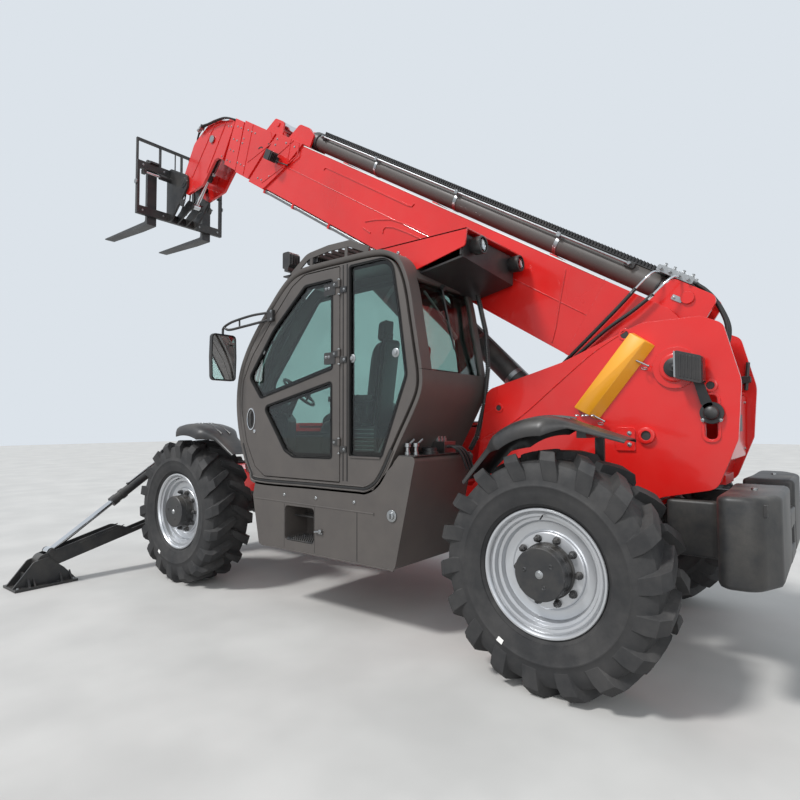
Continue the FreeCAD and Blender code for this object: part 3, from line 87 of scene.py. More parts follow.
def finish(name, colour, rough, grain_mm, grain_depth, metallic=0.0, coat=0.0, dust=0.0, wear=0.0,
           dust_colour="#8C8478", wear_colour="#B9BABD", edge_mm=3.0, sheen=0.0):
    """Opaque finish: tone drifts over the part, fine grain in the bump, dust on what faces up, wear on the edges."""
    made = bpy.data.materials.new(name)
    made.use_nodes = True
    tree = made.node_tree
    shader = tree.nodes["Principled BSDF"]
    place = add(tree, "ShaderNodeTexCoord").outputs["Object"]
    drift = add(tree, "ShaderNodeTexNoise", {"Scale": per_metre(700.0), "Detail": 3.0}, {"Vector": place})
    tone = add(tree, "ShaderNodeMapRange", {"From Min": 0.2, "From Max": 0.8, "To Min": 0.9, "To Max": 1.08},
               {"Value": drift.outputs["Fac"]}, interpolation_type="SMOOTHSTEP")
    base = add(tree, "ShaderNodeHueSaturation", {"Color": linear(colour)}, {"Value": tone.outputs["Result"]})
    paint = base.outputs["Color"]
    smooth = None
    if edge_mm:
        smooth = add(tree, "ShaderNodeBevel", {"Radius": edge_mm / 1000.0}, samples=4).outputs["Normal"]
    if wear:
        true = add(tree, "ShaderNodeNewGeometry").outputs["Normal"]
        turn = add(tree, "ShaderNodeVectorMath", None, {0: smooth, 1: true}, operation="DOT_PRODUCT")
        chips = add(tree, "ShaderNodeTexNoise", {"Scale": per_metre(25.0), "Detail": 4.0}, {"Vector": place})
        edge = add(tree, "ShaderNodeMapRange", {"From Min": 0.985, "From Max": 0.9, "To Min": 0.0, "To Max": 1.0},
                   {"Value": turn.outputs["Value"]})
        patchy = add(tree, "ShaderNodeMapRange", {"From Min": 0.52, "From Max": 0.62, "To Min": 0.0, "To Max": wear},
                     {"Value": chips.outputs["Fac"]})
        both = add(tree, "ShaderNodeMath", None, {0: edge.outputs["Result"], 1: patchy.outputs["Result"]},
                   operation="MULTIPLY")
        mixed = add(tree, "ShaderNodeMix", None, {"Factor": both.outputs["Value"]}, data_type="RGBA")
        tree.links.new(paint, mixed.inputs[6])
        mixed.inputs[7].default_value = linear(wear_colour)
        paint = mixed.outputs[2]
    if dust:
        facing = add(tree, "ShaderNodeSeparateXYZ", None,
                     {"Vector": add(tree, "ShaderNodeNewGeometry").outputs["Normal"]})
        cloud = add(tree, "ShaderNodeTexNoise", {"Scale": per_metre(160.0), "Detail": 6.0, "Roughness": 0.65},
                    {"Vector": place})
        up = add(tree, "ShaderNodeMapRange", {"From Min": -0.4, "From Max": 1.0, "To Min": 0.25, "To Max": 1.0},
                 {"Value": facing.outputs["Z"]})
        thick = add(tree, "ShaderNodeMapRange", {"From Min": 0.35, "From Max": 0.75, "To Min": 0.0, "To Max": dust},
                    {"Value": cloud.outputs["Fac"]})
        lying = add(tree, "ShaderNodeMath", None, {0: up.outputs["Result"], 1: thick.outputs["Result"]},
                    operation="MULTIPLY")
        mixed = add(tree, "ShaderNodeMix", None, {"Factor": lying.outputs["Value"]}, data_type="RGBA")
        tree.links.new(paint, mixed.inputs[6])
        mixed.inputs[7].default_value = linear(dust_colour)
        paint = mixed.outputs[2]
    tree.links.new(paint, shader.inputs["Base Color"])
    grain = add(tree, "ShaderNodeTexNoise", {"Scale": per_metre(grain_mm), "Detail": 2.0}, {"Vector": place})
    matt = add(tree, "ShaderNodeMapRange", {"From Min": 0.2, "From Max": 0.8, "To Min": rough * 0.85,
                                            "To Max": min(rough * 1.15, 1.0)}, {"Value": drift.outputs["Fac"]},
               interpolation_type="SMOOTHSTEP")
    tree.links.new(matt.outputs["Result"], shader.inputs["Roughness"])
    bump = add(tree, "ShaderNodeBump", {"Distance": grain_depth / 1000.0, "Strength": 0.6},
               {"Height": grain.outputs["Fac"]})
    if smooth is not None:
        tree.links.new(smooth, bump.inputs["Normal"])
    tree.links.new(bump.outputs["Normal"], shader.inputs["Normal"])
    shader.inputs["Metallic"].default_value = metallic
    shader.inputs["Coat Weight"].default_value = coat
    shader.inputs["Coat Roughness"].default_value = 0.08
    shader.inputs["Sheen Weight"].default_value = sheen
    return made


def see_through(name, colour, rough=0.0):
    """Glass or clear plastic, tinted in its body."""
    made = bpy.data.materials.new(name)
    made.use_nodes = True
    tree = made.node_tree
    shader = tree.nodes["Principled BSDF"]
    place = add(tree, "ShaderNodeTexCoord").outputs["Object"]
    film = add(tree, "ShaderNodeTexNoise", {"Scale": per_metre(400.0), "Detail": 2.0}, {"Vector": place})
    tone = add(tree, "ShaderNodeMapRange", {"From Min": 0.3, "From Max": 0.7, "To Min": 0.94, "To Max": 1.03},
               {"Value": film.outputs["Fac"]})
    body = add(tree, "ShaderNodeHueSaturation", {"Color": linear(colour)}, {"Value": tone.outputs["Result"]})
    tree.links.new(body.outputs["Color"], shader.inputs["Base Color"])
    shader.inputs["Roughness"].default_value = rough
    shader.inputs["Transmission Weight"].default_value = 1.0
    shader.inputs["IOR"].default_value = 1.5
    return made


M = {
    # Sprayed gloss enamel: orange peel of 4 mm in a clear, wet-looking skin.
    "red_enamel": finish("red_enamel", "#D0140F", 0.3, 4.0, 0.03, coat=0.5, dust=0.1, wear=0.3, edge_mm=4.0),
    # Powder coat with a fine crackle, so highlights break up into sparkle.
    "grey_powder_coat": finish("grey_powder_coat", "#4F4A47", 0.5, 2.5, 0.12, dust=0.18, wear=0.15, edge_mm=4.0),
    # Satin chassis black over cast and welded steel.
    "black_chassis_paint": finish("black_chassis_paint", "#242527", 0.42, 3.0, 0.08, dust=0.3, wear=0.35),
    # Iron casting under black paint: pebbly sand-mould skin.
    "black_cast_iron": finish("black_cast_iron", "#222325", 0.5, 6.0, 0.5, dust=0.35, wear=0.2, edge_mm=6.0),
    "silver_rim_paint": finish("silver_rim_paint", "#BFC1C4", 0.3, 3.0, 0.03, metallic=0.7, coat=0.3, dust=0.25,
                               edge_mm=2.0),
    "yellow_enamel": finish("yellow_enamel", "#EBA020", 0.35, 4.0, 0.03, coat=0.4, dust=0.1, wear=0.3),
    # Injection-moulded polyethylene: shallow leather grain, soft shine. Also used as painted shade: the black sheets
    # under the rear lamp canopy.
    "black_plastic_and_painted_shade": finish("black_plastic_and_painted_shade", "#232325", 0.4, 2.2, 0.1, dust=0.25, edge_mm=2.0),
    # Vulcanised tread rubber: matt, with grey-brown dust in the grain.
    "tyre_rubber": finish("tyre_rubber", "#242425", 0.75, 5.0, 0.35, dust=0.6, dust_colour="#605D5A", edge_mm=3.0),
    "seal_rubber": finish("seal_rubber", "#151516", 0.6, 3.0, 0.05, dust=0.1, edge_mm=0.0),
    # Braided hydraulic hose cover.
    "hose_rubber": finish("hose_rubber", "#161617", 0.5, 3.0, 0.2, dust=0.12, edge_mm=0.0),
    "hard_chrome": finish("hard_chrome", "#D5D7DA", 0.09, 30.0, 0.01, metallic=1.0, edge_mm=0.0),
    "zinc_plated_steel": finish("zinc_plated_steel", "#A3A5A6", 0.35, 4.0, 0.04, metallic=1.0, dust=0.1, edge_mm=1.0),
    "worn_fork_steel": finish("worn_fork_steel", "#2A2B2D", 0.45, 8.0, 0.15, dust=0.25, wear=0.8),
    "vinyl_cushion": finish("vinyl_cushion", "#1F2023", 0.5, 3.0, 0.15, dust=0.1, edge_mm=0.0, sheen=0.2),
    "black_engine_iron": finish("black_engine_iron", "#303236", 0.55, 6.0, 0.4, dust=0.3),
    "polyamide_pad": finish("polyamide_pad", "#D9D4C6", 0.5, 4.0, 0.05, edge_mm=1.0),
    # Near-white: a painted highlight on the boom's top edges, and the small mark on each tyre's sidewall.
    "white_mark_and_painted_highlight": finish("white_mark_and_painted_highlight", "#E8E6E2", 0.4, 8.0, 0.01, edge_mm=0.0),
    "mirror_silver": finish("mirror_silver", "#E6E9EA", 0.03, 60.0, 0.0, metallic=1.0, edge_mm=0.0),
    # Green-tinted safety glass.
    "tinted_glass": see_through("tinted_glass", "#B9D2CC"),
    "clear_lens": see_through("clear_lens", "#F2F4F5", 0.05),
    "red_lens": see_through("red_lens", "#E0181A", 0.12),
    "amber_lens": see_through("amber_lens", "#F08A1E", 0.12),
}

NODE_FINISH = {
    "red_enamel": ["frame_plates", "frame_crosses", "boom_section_1", "boom_section_2", "boom_section_3",
                   "boom_section_4", "lamp_canopy", "engine_bay", "engine_hood"],
    "grey_powder_coat": ["cab_shell", "cab_roof", "cab_door", "lower_box", "extension_barrel"],
    "black_chassis_paint": ["stabiliser_tower", "stabiliser_leg_left", "stabiliser_leg_right",
                            "stabiliser_barrel_left", "stabiliser_barrel_right", "fork_carriage",
                            "lift_barrel", "tilt_barrel", "axles", "knuckle_front_left",
                            "knuckle_front_right", "knuckle_rear_left", "knuckle_rear_right"],
    "black_cast_iron": ["counterweight"],
    "yellow_enamel": ["boom_lock"],
    "worn_fork_steel": ["forks"],
    "hard_chrome": ["extension_rod", "lift_rod", "tilt_rod", "stabiliser_rod_left", "stabiliser_rod_right"],
    "tinted_glass": ["cab_glass", "door_glass"],
    "black_engine_iron": ["engine_block"],
}
for finish_name, node_names in NODE_FINISH.items():
    for node_name in node_names:
        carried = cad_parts[node_name]
        carried.data.materials.clear()
        carried.data.materials.append(M[finish_name])


# Shapes

def rounded(points, steps=5, closed=True):
    """Outline through corners (u, v) or (u, v, radius), with arcs of a few steps at the corners."""
    result = []
    count = len(points)
    for i, corner in enumerate(points):
        here = Vector(corner[:2])
        radius = corner[2] if len(corner) > 2 else 0.0
        if radius == 0.0 or (not closed and i in (0, count - 1)):
            result.append(here)
            continue
        back = (Vector(points[i - 1][:2]) - here).normalized()
        ahead = (Vector(points[(i + 1) % count][:2]) - here).normalized()
        half = back.angle(ahead) / 2.0
        reach = radius / math.tan(half)
        centre = here + (back + ahead).normalized() * (radius / math.sin(half))
        first = here + back * reach - centre
        last = here + ahead * reach - centre
        turn = first.angle_signed(last)
        for j in range(steps + 1):
            part = turn * j / steps
            result.append(centre + Matrix.Rotation(-part, 2) @ first)
    return result


def grown(points, amount):
    """The same outline with every edge moved outward."""
    count = len(points)
    corners = [Vector(p[:2]) for p in points]
    area = sum(corners[i].x * corners[(i + 1) % count].y - corners[(i + 1) % count].x * corners[i].y
               for i in range(count))
    turn = 1.0 if area > 0 else -1.0
    result = []
    for i, here in enumerate(corners):
        before = (here - corners[i - 1]).normalized()
        after = (corners[(i + 1) % count] - here).normalized()
        out_before = Vector((before.y, -before.x)) * turn
        out_after = Vector((after.y, -after.x)) * turn
        middle = (out_before + out_after).normalized()
        moved = here + middle * (amount / middle.dot(out_before))
        radius = points[i][2] if len(points[i]) > 2 else 0.0
        result.append((moved.x, moved.y, max(radius + amount, 1.0) if radius > 0.0 else 0.0))
    return result


def basis(axis):
    """Two directions square to an axis and to each other."""
    axis = Vector(axis).normalized()
    side = axis.orthogonal().normalized()
    return side, axis.cross(side)


def flowing(points, steps=5):
    """Closed smooth outline through its points."""
    result = []
    count = len(points)
    for i in range(count):
        a, b, c, d = (Vector(points[(i + k) % count][:2]) for k in (-1, 0, 1, 2))
        for j in range(steps):
            t = j / steps
            result.append(0.5 * ((b * 2) + (c - a) * t + (a * 2 - b * 5 + c * 4 - d) * t * t
                                 + (b * 3 - a - c * 3 + d) * t ** 3))
    return result


def spot(plane, u, v, w):
    """Point (u, v) of a drawing across the named axis, at w along it."""
    return {"X": (w, u, v), "Y": (u, w, v), "Z": (u, v, w)}[plane]


def oval(centre, half_u, half_v, count=28):
    """Outline of an ellipse."""
    return [(centre[0] + half_u * math.cos(math.tau * i / count), centre[1] + half_v * math.sin(math.tau * i / count))
            for i in range(count)]


class Piece:
    """Collects the faces of one piece, drawn in one of the drawing frames."""

    def __init__(self, drawing=MACHINE):
        self.drawing = drawing
        self.points = []
        self.faces = []
        self.marks = []

    def put(self, points, faces, mark=0):
        first = len(self.points)
        self.points += [tuple(p) for p in points]
        self.faces += [[first + i for i in face] for face in faces]
        self.marks += [mark] * len(faces)

    def rings(self, rings, mark=0, closed=False, caps=True):
        """Skin over rings of equally many points."""
        size = len(rings[0])
        points = [p for ring in rings for p in ring]
        faces = []
        spans = len(rings) if closed else len(rings) - 1
        for i in range(spans):
            j = (i + 1) % len(rings)
            for k in range(size):
                m = (k + 1) % size
                faces.append([i * size + k, i * size + m, j * size + m, j * size + k])
        if caps and not closed:
            faces.append(list(range(size))[::-1])
            faces.append([(len(rings) - 1) * size + k for k in range(size)])
        self.put(points, faces, mark)

    def block(self, low, high, mark=0):
        (a, b, c), (d, e, f) = low, high
        self.rings([[(a, b, c), (d, b, c), (d, e, c), (a, e, c)], [(a, b, f), (d, b, f), (d, e, f), (a, e, f)]], mark)

    def prism(self, outline, plane, low, high, mark=0):
        """Rounded outline drawn across an axis, from low to high along it."""
        flat = rounded(outline)
        self.rings([[spot(plane, u, v, low) for u, v in flat], [spot(plane, u, v, high) for u, v in flat]], mark)

    def loop(self, outer, inner, plane, low, high, mark=0):
        """Flat ring between two outlines of equally many corners, such as a seal."""
        a, b = rounded(outer), rounded(inner)
        self.rings([[spot(plane, *a[i], low), spot(plane, *a[i], high), spot(plane, *b[i], high),
                     spot(plane, *b[i], low)] for i in range(len(a))], mark, closed=True)

    def ribbon(self, line, section, plane="X", mark=0, closed=False):
        """Strip along a line (u, v) across an axis. Its section is (place along the axis, distance to the left)."""
        rings = []
        count = len(line)
        for i, here in enumerate(line):
            before = line[i - 1] if closed or i > 0 else here
            after = line[(i + 1) % count] if closed or i < count - 1 else here
            way = (Vector(after[:2]) - Vector(before[:2])).normalized()
            rings.append([spot(plane, here[0] - way.y * n, here[1] + way.x * n, w) for w, n in section])
        self.rings(rings, mark, closed=closed)

    def turn(self, profile, centre, axis, sides=32, mark=0, closed=True):
        """Revolved (distance along axis, radius) corners: a closed ring, or an open skin with closed ends."""
        axis = Vector(axis).normalized()
        side, other = basis(axis)
        centre = Vector(centre)
        rings = []
        for i in range(sides):
            angle = 2.0 * math.pi * i / sides
            out = side * math.cos(angle) + other * math.sin(angle)
            rings.append([centre + axis * along + out * radius for along, radius in profile])
        if closed:
            self.rings(rings, mark, closed=True)
            return
        turned = [[rings[i][j] for i in range(sides)] for j in range(len(profile))]
        self.rings(turned, mark)

    def sheet(self, outlines, low, high, edge=3.0, mark=0):
        """Plate across X between two places, with holes and softened edges: the first outline is its outer one."""
        drawn = bpy.data.curves.new("sheet", "CURVE")
        drawn.dimensions = "2D"
        drawn.fill_mode = "BOTH"
        drawn.extrude = (high - low) / 2.0 - edge
        drawn.bevel_depth = edge
        drawn.bevel_resolution = 1
        drawn.offset = -edge
        for outline in outlines:
            spline = drawn.splines.new("POLY")
            spline.points.add(len(outline) - 1)
            for point, corner in zip(spline.points, outline):
                point.co = (corner[0], corner[1], 0.0, 1.0)
            spline.use_cyclic_u = True
        holder = bpy.data.objects.new("sheet", drawn)
        mesh = bpy.data.meshes.new_from_object(holder)
        middle = (low + high) / 2.0
        self.put([(middle + v.co.z, v.co.x, v.co.y) for v in mesh.vertices],
                 [list(face.vertices) for face in mesh.polygons], mark)
        bpy.data.objects.remove(holder)
        bpy.data.curves.remove(drawn)
        bpy.data.meshes.remove(mesh)

    def rod(self, start, end, radius, sides=16, mark=0, end_radius=None):
        start, end = Vector(start), Vector(end)
        length = (end - start).length
        self.turn([(0.0, radius), (length, radius if end_radius is None else end_radius)], start, end - start, sides,
                  mark, closed=False)

    def hose(self, path, radius, sides=10, mark=0, steps=6):
        """Round hose on a smooth line through its points."""
        points = [Vector(p) for p in path]
        ends = [points[0] * 2 - points[1]] + points + [points[-1] * 2 - points[-2]]
        line = []
        for i in range(1, len(ends) - 2):
            a, b, c, d = ends[i - 1:i + 3]
            for j in range(steps):
                t = j / steps
                line.append(0.5 * ((b * 2) + (c - a) * t + (a * 2 - b * 5 + c * 4 - d) * t * t
                                   + (b * 3 - a - c * 3 + d) * t ** 3))
        line.append(points[-1])
        rings = []
        side = basis(line[1] - line[0])[0]
        for i, spot in enumerate(line):
            way = (line[min(i + 1, len(line) - 1)] - line[max(i - 1, 0)]).normalized()
            side = (side - way * side.dot(way)).normalized()
            other = way.cross(side)
            rings.append([spot + (side * math.cos(2 * math.pi * k / sides)
                                  + other * math.sin(2 * math.pi * k / sides)) * radius for k in range(sides)])
        self.rings(rings, mark)

    def bolt(self, place, axis, flats, height=None, mark=0):
        """Hexagon head on its washer."""
        height = height or flats * 0.62
        washer = flats * 0.85
        self.turn([(0.0, washer), (flats * 0.12, washer)], place, axis, 14, mark, closed=False)
        self.turn([(0.0, flats * 0.577), (height * 0.9, flats * 0.577), (height, flats * 0.45)], place, axis, 6, mark,
                  closed=False)

    def screw(self, place, axis, radius, mark=0):
        """Low domed head with a socket."""
        self.turn([(0.0, radius), (radius * 0.35, radius * 0.9), (radius * 0.6, radius * 0.55),
                   (radius * 0.35, radius * 0.4), (radius * 0.35, 0.01)], place, axis, 12, mark, closed=False)

    def done(self, name, body, *finishes, bevel=0.0, smooth=35.0, replaces=(), mirror=False):
        """The finished mesh, riding on its body."""
        mesh = bpy.data.meshes.new(name)
        points = [self.drawing @ Vector(p) for p in self.points]
        if mirror:
            points = [Vector((-p.x, p.y, p.z)) for p in points]
        mesh.from_pydata(points, [], self.faces)
        mesh.polygons.foreach_set("material_index", self.marks)
        for name_of in finishes:
            mesh.materials.append(M[name_of])
        made = bmesh.new()
        made.from_mesh(mesh)
        bmesh.ops.recalc_face_normals(made, faces=made.faces)
        for face in made.faces:
            face.smooth = True
        made.to_mesh(mesh)
        made.free()
        mesh.set_sharp_from_angle(angle=math.radians(smooth))
        piece = bpy.data.objects.new(name, mesh)
        bpy.context.scene.collection.objects.link(piece)
        if bevel:
            edge = piece.modifiers.new("rolled_edges", "BEVEL")
            edge.width = bevel / 1000.0
            edge.segments = 2
            edge.limit_method = "ANGLE"
            edge.angle_limit = math.radians(40.0)
            edge.harden_normals = True
        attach(piece, body)
        if replaces:
            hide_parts(*replaces)
        return piece


# Camera at the photograph's viewpoint

lens = bpy.data.cameras.new("view")
lens.lens = 25.34
lens.sensor_width = 36.0
camera = bpy.data.objects.new("view", lens)
bpy.context.scene.collection.objects.link(camera)
YAW = 2.2334
PITCH = 0.0422
ROLL = -0.0029
camera.location = (3.907, 3.981, 1.391)
looking = Vector((-math.sin(YAW) * math.cos(PITCH), math.cos(YAW) * math.cos(PITCH), math.sin(PITCH)))
camera.rotation_mode = "QUATERNION"
camera.rotation_quaternion = looking.to_track_quat("-Z", "Y") @ Matrix.Rotation(ROLL, 3, "Z").to_quaternion()
bpy.context.scene.camera = camera


# Wheels

LUG_COUNT = 18
CARCASS = [(146.0, 307.0), (150.0, 330.0), (163.0, 340.0), (174.0, 352.0), (182.0, 354.0), (184.0, 362.0),
           (192.0, 384.0), (198.0, 412.0), (200.5, 440.0), (203.0, 444.0), (203.0, 450.0), (200.5, 454.0),
           (198.0, 480.0), (193.0, 512.0), (185.0, 540.0), (171.0, 562.0), (148.0, 572.0), (80.0, 577.0)]
# Tread bar from the middle over the shoulder: foot (x, radius), crown (x, radius), place round the tyre, half width.
BAR_SECTIONS = [((-12.0, 572.0), (-6.0, 618.0), -66.0, 18.0), ((24.0, 574.0), (22.0, 624.0), -50.0, 28.0),
                ((84.0, 574.0), (82.0, 625.0), -14.0, 32.0), ((140.0, 570.0), (141.0, 625.0), 22.0, 36.0),
                ((160.0, 562.0), (166.0, 623.0), 38.0, 38.0), ((180.0, 548.0), (204.5, 582.0), 52.0, 41.0),
                ((188.0, 515.0), (204.8, 540.0), 60.0, 41.0), ((192.0, 472.0), (199.5, 480.0), 64.0, 36.0)]
RIM = [(50.0, 140.0), (50.0, 238.0), (-40.0, 241.0), (-88.0, 244.0), (-120.0, 262.0), (-150.0, 300.0),
       (-160.0, 312.0), (-168.0, 318.0), (-168.0, 328.0), (-163.0, 332.0), (-156.0, 330.0), (-153.0, 306.0),
       (-86.0, 256.0), (62.0, 256.0), (153.0, 306.0), (156.0, 330.0), (163.0, 332.0), (168.0, 328.0), (168.0, 318.0),
       (161.0, 311.0), (150.0, 304.0), (143.0, 302.0), (141.0, 286.0), (124.0, 282.0), (112.0, 278.0),
       (109.0, 262.0), (96.0, 256.0), (80.0, 252.0), (76.0, 243.0), (74.0, 208.0), (78.0, 200.0), (90.0, 197.0),
       (94.0, 192.0), (94.0, 140.0)]
HUB = [(-10.0, 45.4), (-10.0, 150.0), (49.0, 150.0), (49.0, 139.0), (93.0, 139.0), (95.0, 146.0), (102.0, 146.0),
       (104.0, 137.0), (150.0, 136.0), (152.0, 132.0), (155.0, 132.0), (157.0, 136.0), (200.0, 135.0), (204.0, 131.0),
       (204.0, 0.5), (112.0, 0.5), (112.0, 45.4)]
NUT_RING = 167.5


def tread_bar(piece, angle, side):
    rings = []
    for (foot_x, foot_r), (crown_x, crown_r), place, half in BAR_SECTIONS:
        ring = []
        for x, radius, width in ((foot_x, foot_r, -half - 7.0), (crown_x, crown_r, -half),
                                 (crown_x, crown_r, half), (foot_x, foot_r, half + 7.0)):
            turn = angle + (place + width) / radius
            ring.append((side * x, math.sin(turn) * radius, math.cos(turn) * radius))
        rings.append(ring)
    piece.rings(rings)


def wheel(name, x, station):
    side = 1.0 if x > 0 else -1.0
    hub_at = MACHINE @ Matrix.Translation((x, station, AXLE_Z)) @ Matrix.Diagonal((side, 1.0, 1.0, 1.0))
    body = "wheel_" + name
    tyre = Piece(hub_at)
    skin = CARCASS + [(-u, r) for u, r in reversed(CARCASS)]
    tyre.turn(skin, (0, 0, 0), (1, 0, 0), 108)
    for i in range(LUG_COUNT):
        tread_bar(tyre, math.pi + i * math.tau / LUG_COUNT, 1.0)
        tread_bar(tyre, math.pi + (i + 0.5) * math.tau / LUG_COUNT, -1.0)
    patch = [(203.4, math.sin(turn) * radius, math.cos(turn) * radius) for turn, radius in
             ((3.64, 424.0), (3.72, 424.0), (3.72, 452.0), (3.64, 452.0))]
    tyre.rings([patch, [(204.2, y, z) for _, y, z in patch]], mark=1)
    tyre.done("tyre_tread_" + name, body, "tyre_rubber", "white_mark_and_painted_highlight", bevel=2.5, smooth=30.0,
              replaces=["tyre_" + name])
    rim = Piece(hub_at)
    rim.turn(RIM, (0, 0, 0), (1, 0, 0), 96)
    rim.rod((150.0, 0.0, 292.0), (182.0, 0.0, 276.0), 4.0, 8, mark=1)
    rim.done("rim_dish_" + name, body, "silver_rim_paint", "seal_rubber", smooth=25.0, replaces=["rim_" + name])
    hub = Piece(hub_at)
    hub.turn(HUB, (0, 0, 0), (1, 0, 0), 64)
    for i in range(10):
        angle = math.tau * (i + 0.5) / 10.0
        spot = Vector((94.0, math.sin(angle) * NUT_RING, math.cos(angle) * NUT_RING))
        hub.turn([(0.0, 21.0), (5.0, 20.0), (9.0, 16.0)], spot, (1, 0, 0), 18, closed=False)
        hub.turn([(0.0, 16.5), (26.0, 16.5), (29.0, 13.0)], spot, (1, 0, 0), 6, closed=False)
        hub.turn([(0.0, 9.0), (36.0, 9.0), (38.0, 7.0)], spot, (1, 0, 0), 12, closed=False)
    hub.turn([(0.0, 21.0), (2.0, 19.0), (2.0, 15.0), (5.0, 12.0), (5.0, 0.5)], (204.0, 0.0, 0.0), (1, 0, 0), 24,
             mark=1, closed=False)
    for angle, reach in ((0.9, 78.0), (2.8, 66.0), (4.9, 84.0)):
        hub.turn([(0.0, 12.0), (4.0, 11.0), (4.0, 6.0), (1.0, 5.0)],
                 (204.0, math.sin(angle) * reach, math.cos(angle) * reach), (1, 0, 0), 6, closed=False)
    hub.done("planetary_hub_" + name, body, "black_chassis_paint", "zinc_plated_steel", smooth=30.0)


for wheel_name, (wheel_x, wheel_station) in WHEELS.items():
    wheel(wheel_name, wheel_x, wheel_station)


# Mudguards, as (distance behind the axle, height, radius) along their underside

FENDER_LINES = {"front": [(-129.0, 1320.0, 0.0), (210.0, 1462.0, 640.0), (706.0, 1144.0, 0.0)],
                "rear": [(-514.0, 1061.0, 0.0), (-150.0, 1480.0, 460.0), (405.0, 1310.0, 0.0)]}
# Half of the section across the mudguard, from its middle outward: share of the half width, height over the underside.
FENDER_BOW = [(0.0, 20.0), (0.35, 19.0), (0.6, 15.0), (0.78, 5.0), (0.9, -14.0), (0.97, -44.0), (1.0, -82.0)]
FENDER_MIDDLE = 1002.5
FENDER_HALF = 202.0


def fender(name, x, station):
    side = 1.0 if x > 0 else -1.0
    line = rounded(FENDER_LINES[name.split("_")[0]], 22, closed=False)
    guard = Piece(MACHINE @ Matrix.Translation((0.0, station, 0.0)) @ Matrix.Diagonal((side, 1.0, 1.0, 1.0)))
    steps = len(line) - 1
    rings = []
    for i, here in enumerate(line):
        way = (line[min(i + 1, steps)] - line[max(i - 1, 0)]).normalized()
        up = Vector((-way.y, way.x))
        taper = min(1.0, 0.3 + 3.4 * i / steps, 0.16 + 3.4 * (steps - i) / steps)
        half = [(FENDER_HALF * share * (0.4 + 0.6 * taper), height * taper) for share, height in FENDER_BOW]
        skin = [(-u, n) for u, n in reversed(half)] + half[1:]
        ring = skin + [(u * 0.985, n - 5.0) for u, n in reversed(skin)]
        rings.append([(FENDER_MIDDLE + u, here.x + up.x * n, here.y + up.y * n) for u, n in ring])
    guard.rings(rings)
    for shift in (-42.0, 42.0):
        bead = [p for p in line[2:-2]]
        guard.ribbon(bead, [(FENDER_MIDDLE + shift - 6.0, 15.0), (FENDER_MIDDLE + shift, 23.0),
                            (FENDER_MIDDLE + shift + 6.0, 15.0)])
    crown = max(line, key=lambda p: p.y)
    for u in (-45.0, 45.0):
        for shift in (-25.0, 25.0):
            guard.screw((FENDER_MIDDLE + u, 175.0 + shift, crown.y + 16.0), (0, 0, 1), 13.0, mark=1)
    guard.done("mudguard_" + name, "knuckle_" + name, "black_plastic_and_painted_shade", "zinc_plated_steel", smooth=50.0,
               replaces=["fender_" + name])


for wheel_name, (wheel_x, wheel_station) in WHEELS.items():
    fender(wheel_name, wheel_x, wheel_station)


# Cab outlines on its left side as (distance behind the front axle, height), with a corner radius at the windows

CAB_RIM = [(1010.0, 957.0), (935.0, 1010.0), (868.0, 1126.0), (800.0, 1320.0), (768.0, 1500.0), (768.0, 1650.0),
           (800.0, 1808.0), (879.0, 1963.0), (1003.0, 2124.0), (1166.0, 2292.0), (1320.0, 2432.0), (1450.0, 2502.0),
           (1620.0, 2521.0), (1950.0, 2522.0), (2200.0, 2518.0), (2320.0, 2495.0), (2400.0, 2440.0), (2450.0, 2350.0),
           (2485.0, 2230.0), (2515.0, 2060.0), (2548.0, 1870.0), (2574.0, 1700.0), (2562.0, 1590.0), (2500.0, 1465.0),
           (2422.0, 1330.0), (2350.0, 1200.0), (2290.0, 1090.0), (2225.0, 1005.0), (2140.0, 960.0), (2050.0, 957.0),
           (1600.0, 957.0)]
DOOR_RIM = [(1899.0, 990.0, 8.0), (1090.0, 990.0, 60.0), (975.0, 1060.0, 60.0), (868.0, 1250.0, 160.0),
            (800.0, 1520.0, 260.0), (818.0, 1740.0, 160.0), (930.0, 1932.0, 260.0), (1190.0, 2217.0, 500.0),
            (1405.0, 2425.0, 120.0), (1540.0, 2494.0, 120.0), (1899.0, 2494.0, 8.0)]
UPPER_WINDOW = [(1545.0, 2415.0, 60.0), (1832.0, 2420.0, 24.0), (1832.0, 1778.0, 24.0), (1040.0, 1594.0, 36.0),
                (893.0, 1768.0, 50.0), (1190.0, 2125.0, 600.0)]
LOWER_WINDOW = [(1072.0, 1528.0, 36.0), (1826.0, 1694.0, 24.0), (1826.0, 1148.0, 24.0), (1420.0, 1145.0, 60.0),
                (1325.0, 1190.0, 60.0)]
QUARTER_WINDOW = [(1992.0, 2485.0, 24.0), (2375.0, 2485.0, 120.0), (2440.0, 2100.0, 500.0), (2494.0, 1700.0, 110.0),
                  (2280.0, 1168.0, 36.0), (1992.0, 1168.0, 24.0)]
RIGHT_WINDOW = [(980.0, 1300.0, 80.0), (880.0, 1720.0, 150.0), (1420.0, 2380.0, 90.0), (2340.0, 2420.0, 110.0),
                (2430.0, 1650.0, 100.0), (2300.0, 1300.0, 80.0)]
CAB_IN = 285.0
CAB_OUT = 1080.0
CAB_MIDDLE = (CAB_IN + CAB_OUT) / 2.0
CAB_FLOOR = 1000.0
CAB_EDGE = flowing(CAB_RIM)
# Section of the bent skin that joins the cab's two sides: place from the side's face, depth under the contour.
SKIN_EDGE = [(0.0, -36.0), (0.0, -20.0), (3.0, -10.0), (10.0, -3.0), (20.0, 0.0)]


def seal_window(piece, outline, face, glass, out):
    """Rubber lip over the edge of an opening, and the printed border of its pane."""
    lip, skin = (face - 2.0 * out, face + 2.5 * out)
    piece.loop(grown(outline, 5.0), grown(outline, -5.0), "X", min(lip, skin), max(lip, skin))
    piece.loop(grown(outline, 0.0), grown(outline, -9.0), "X", min(glass, skin), max(glass, skin))
    piece.loop(grown(outline, -1.0), grown(outline, -34.0), "X", min(glass, glass - 1.2 * out),
               max(glass, glass - 1.2 * out))


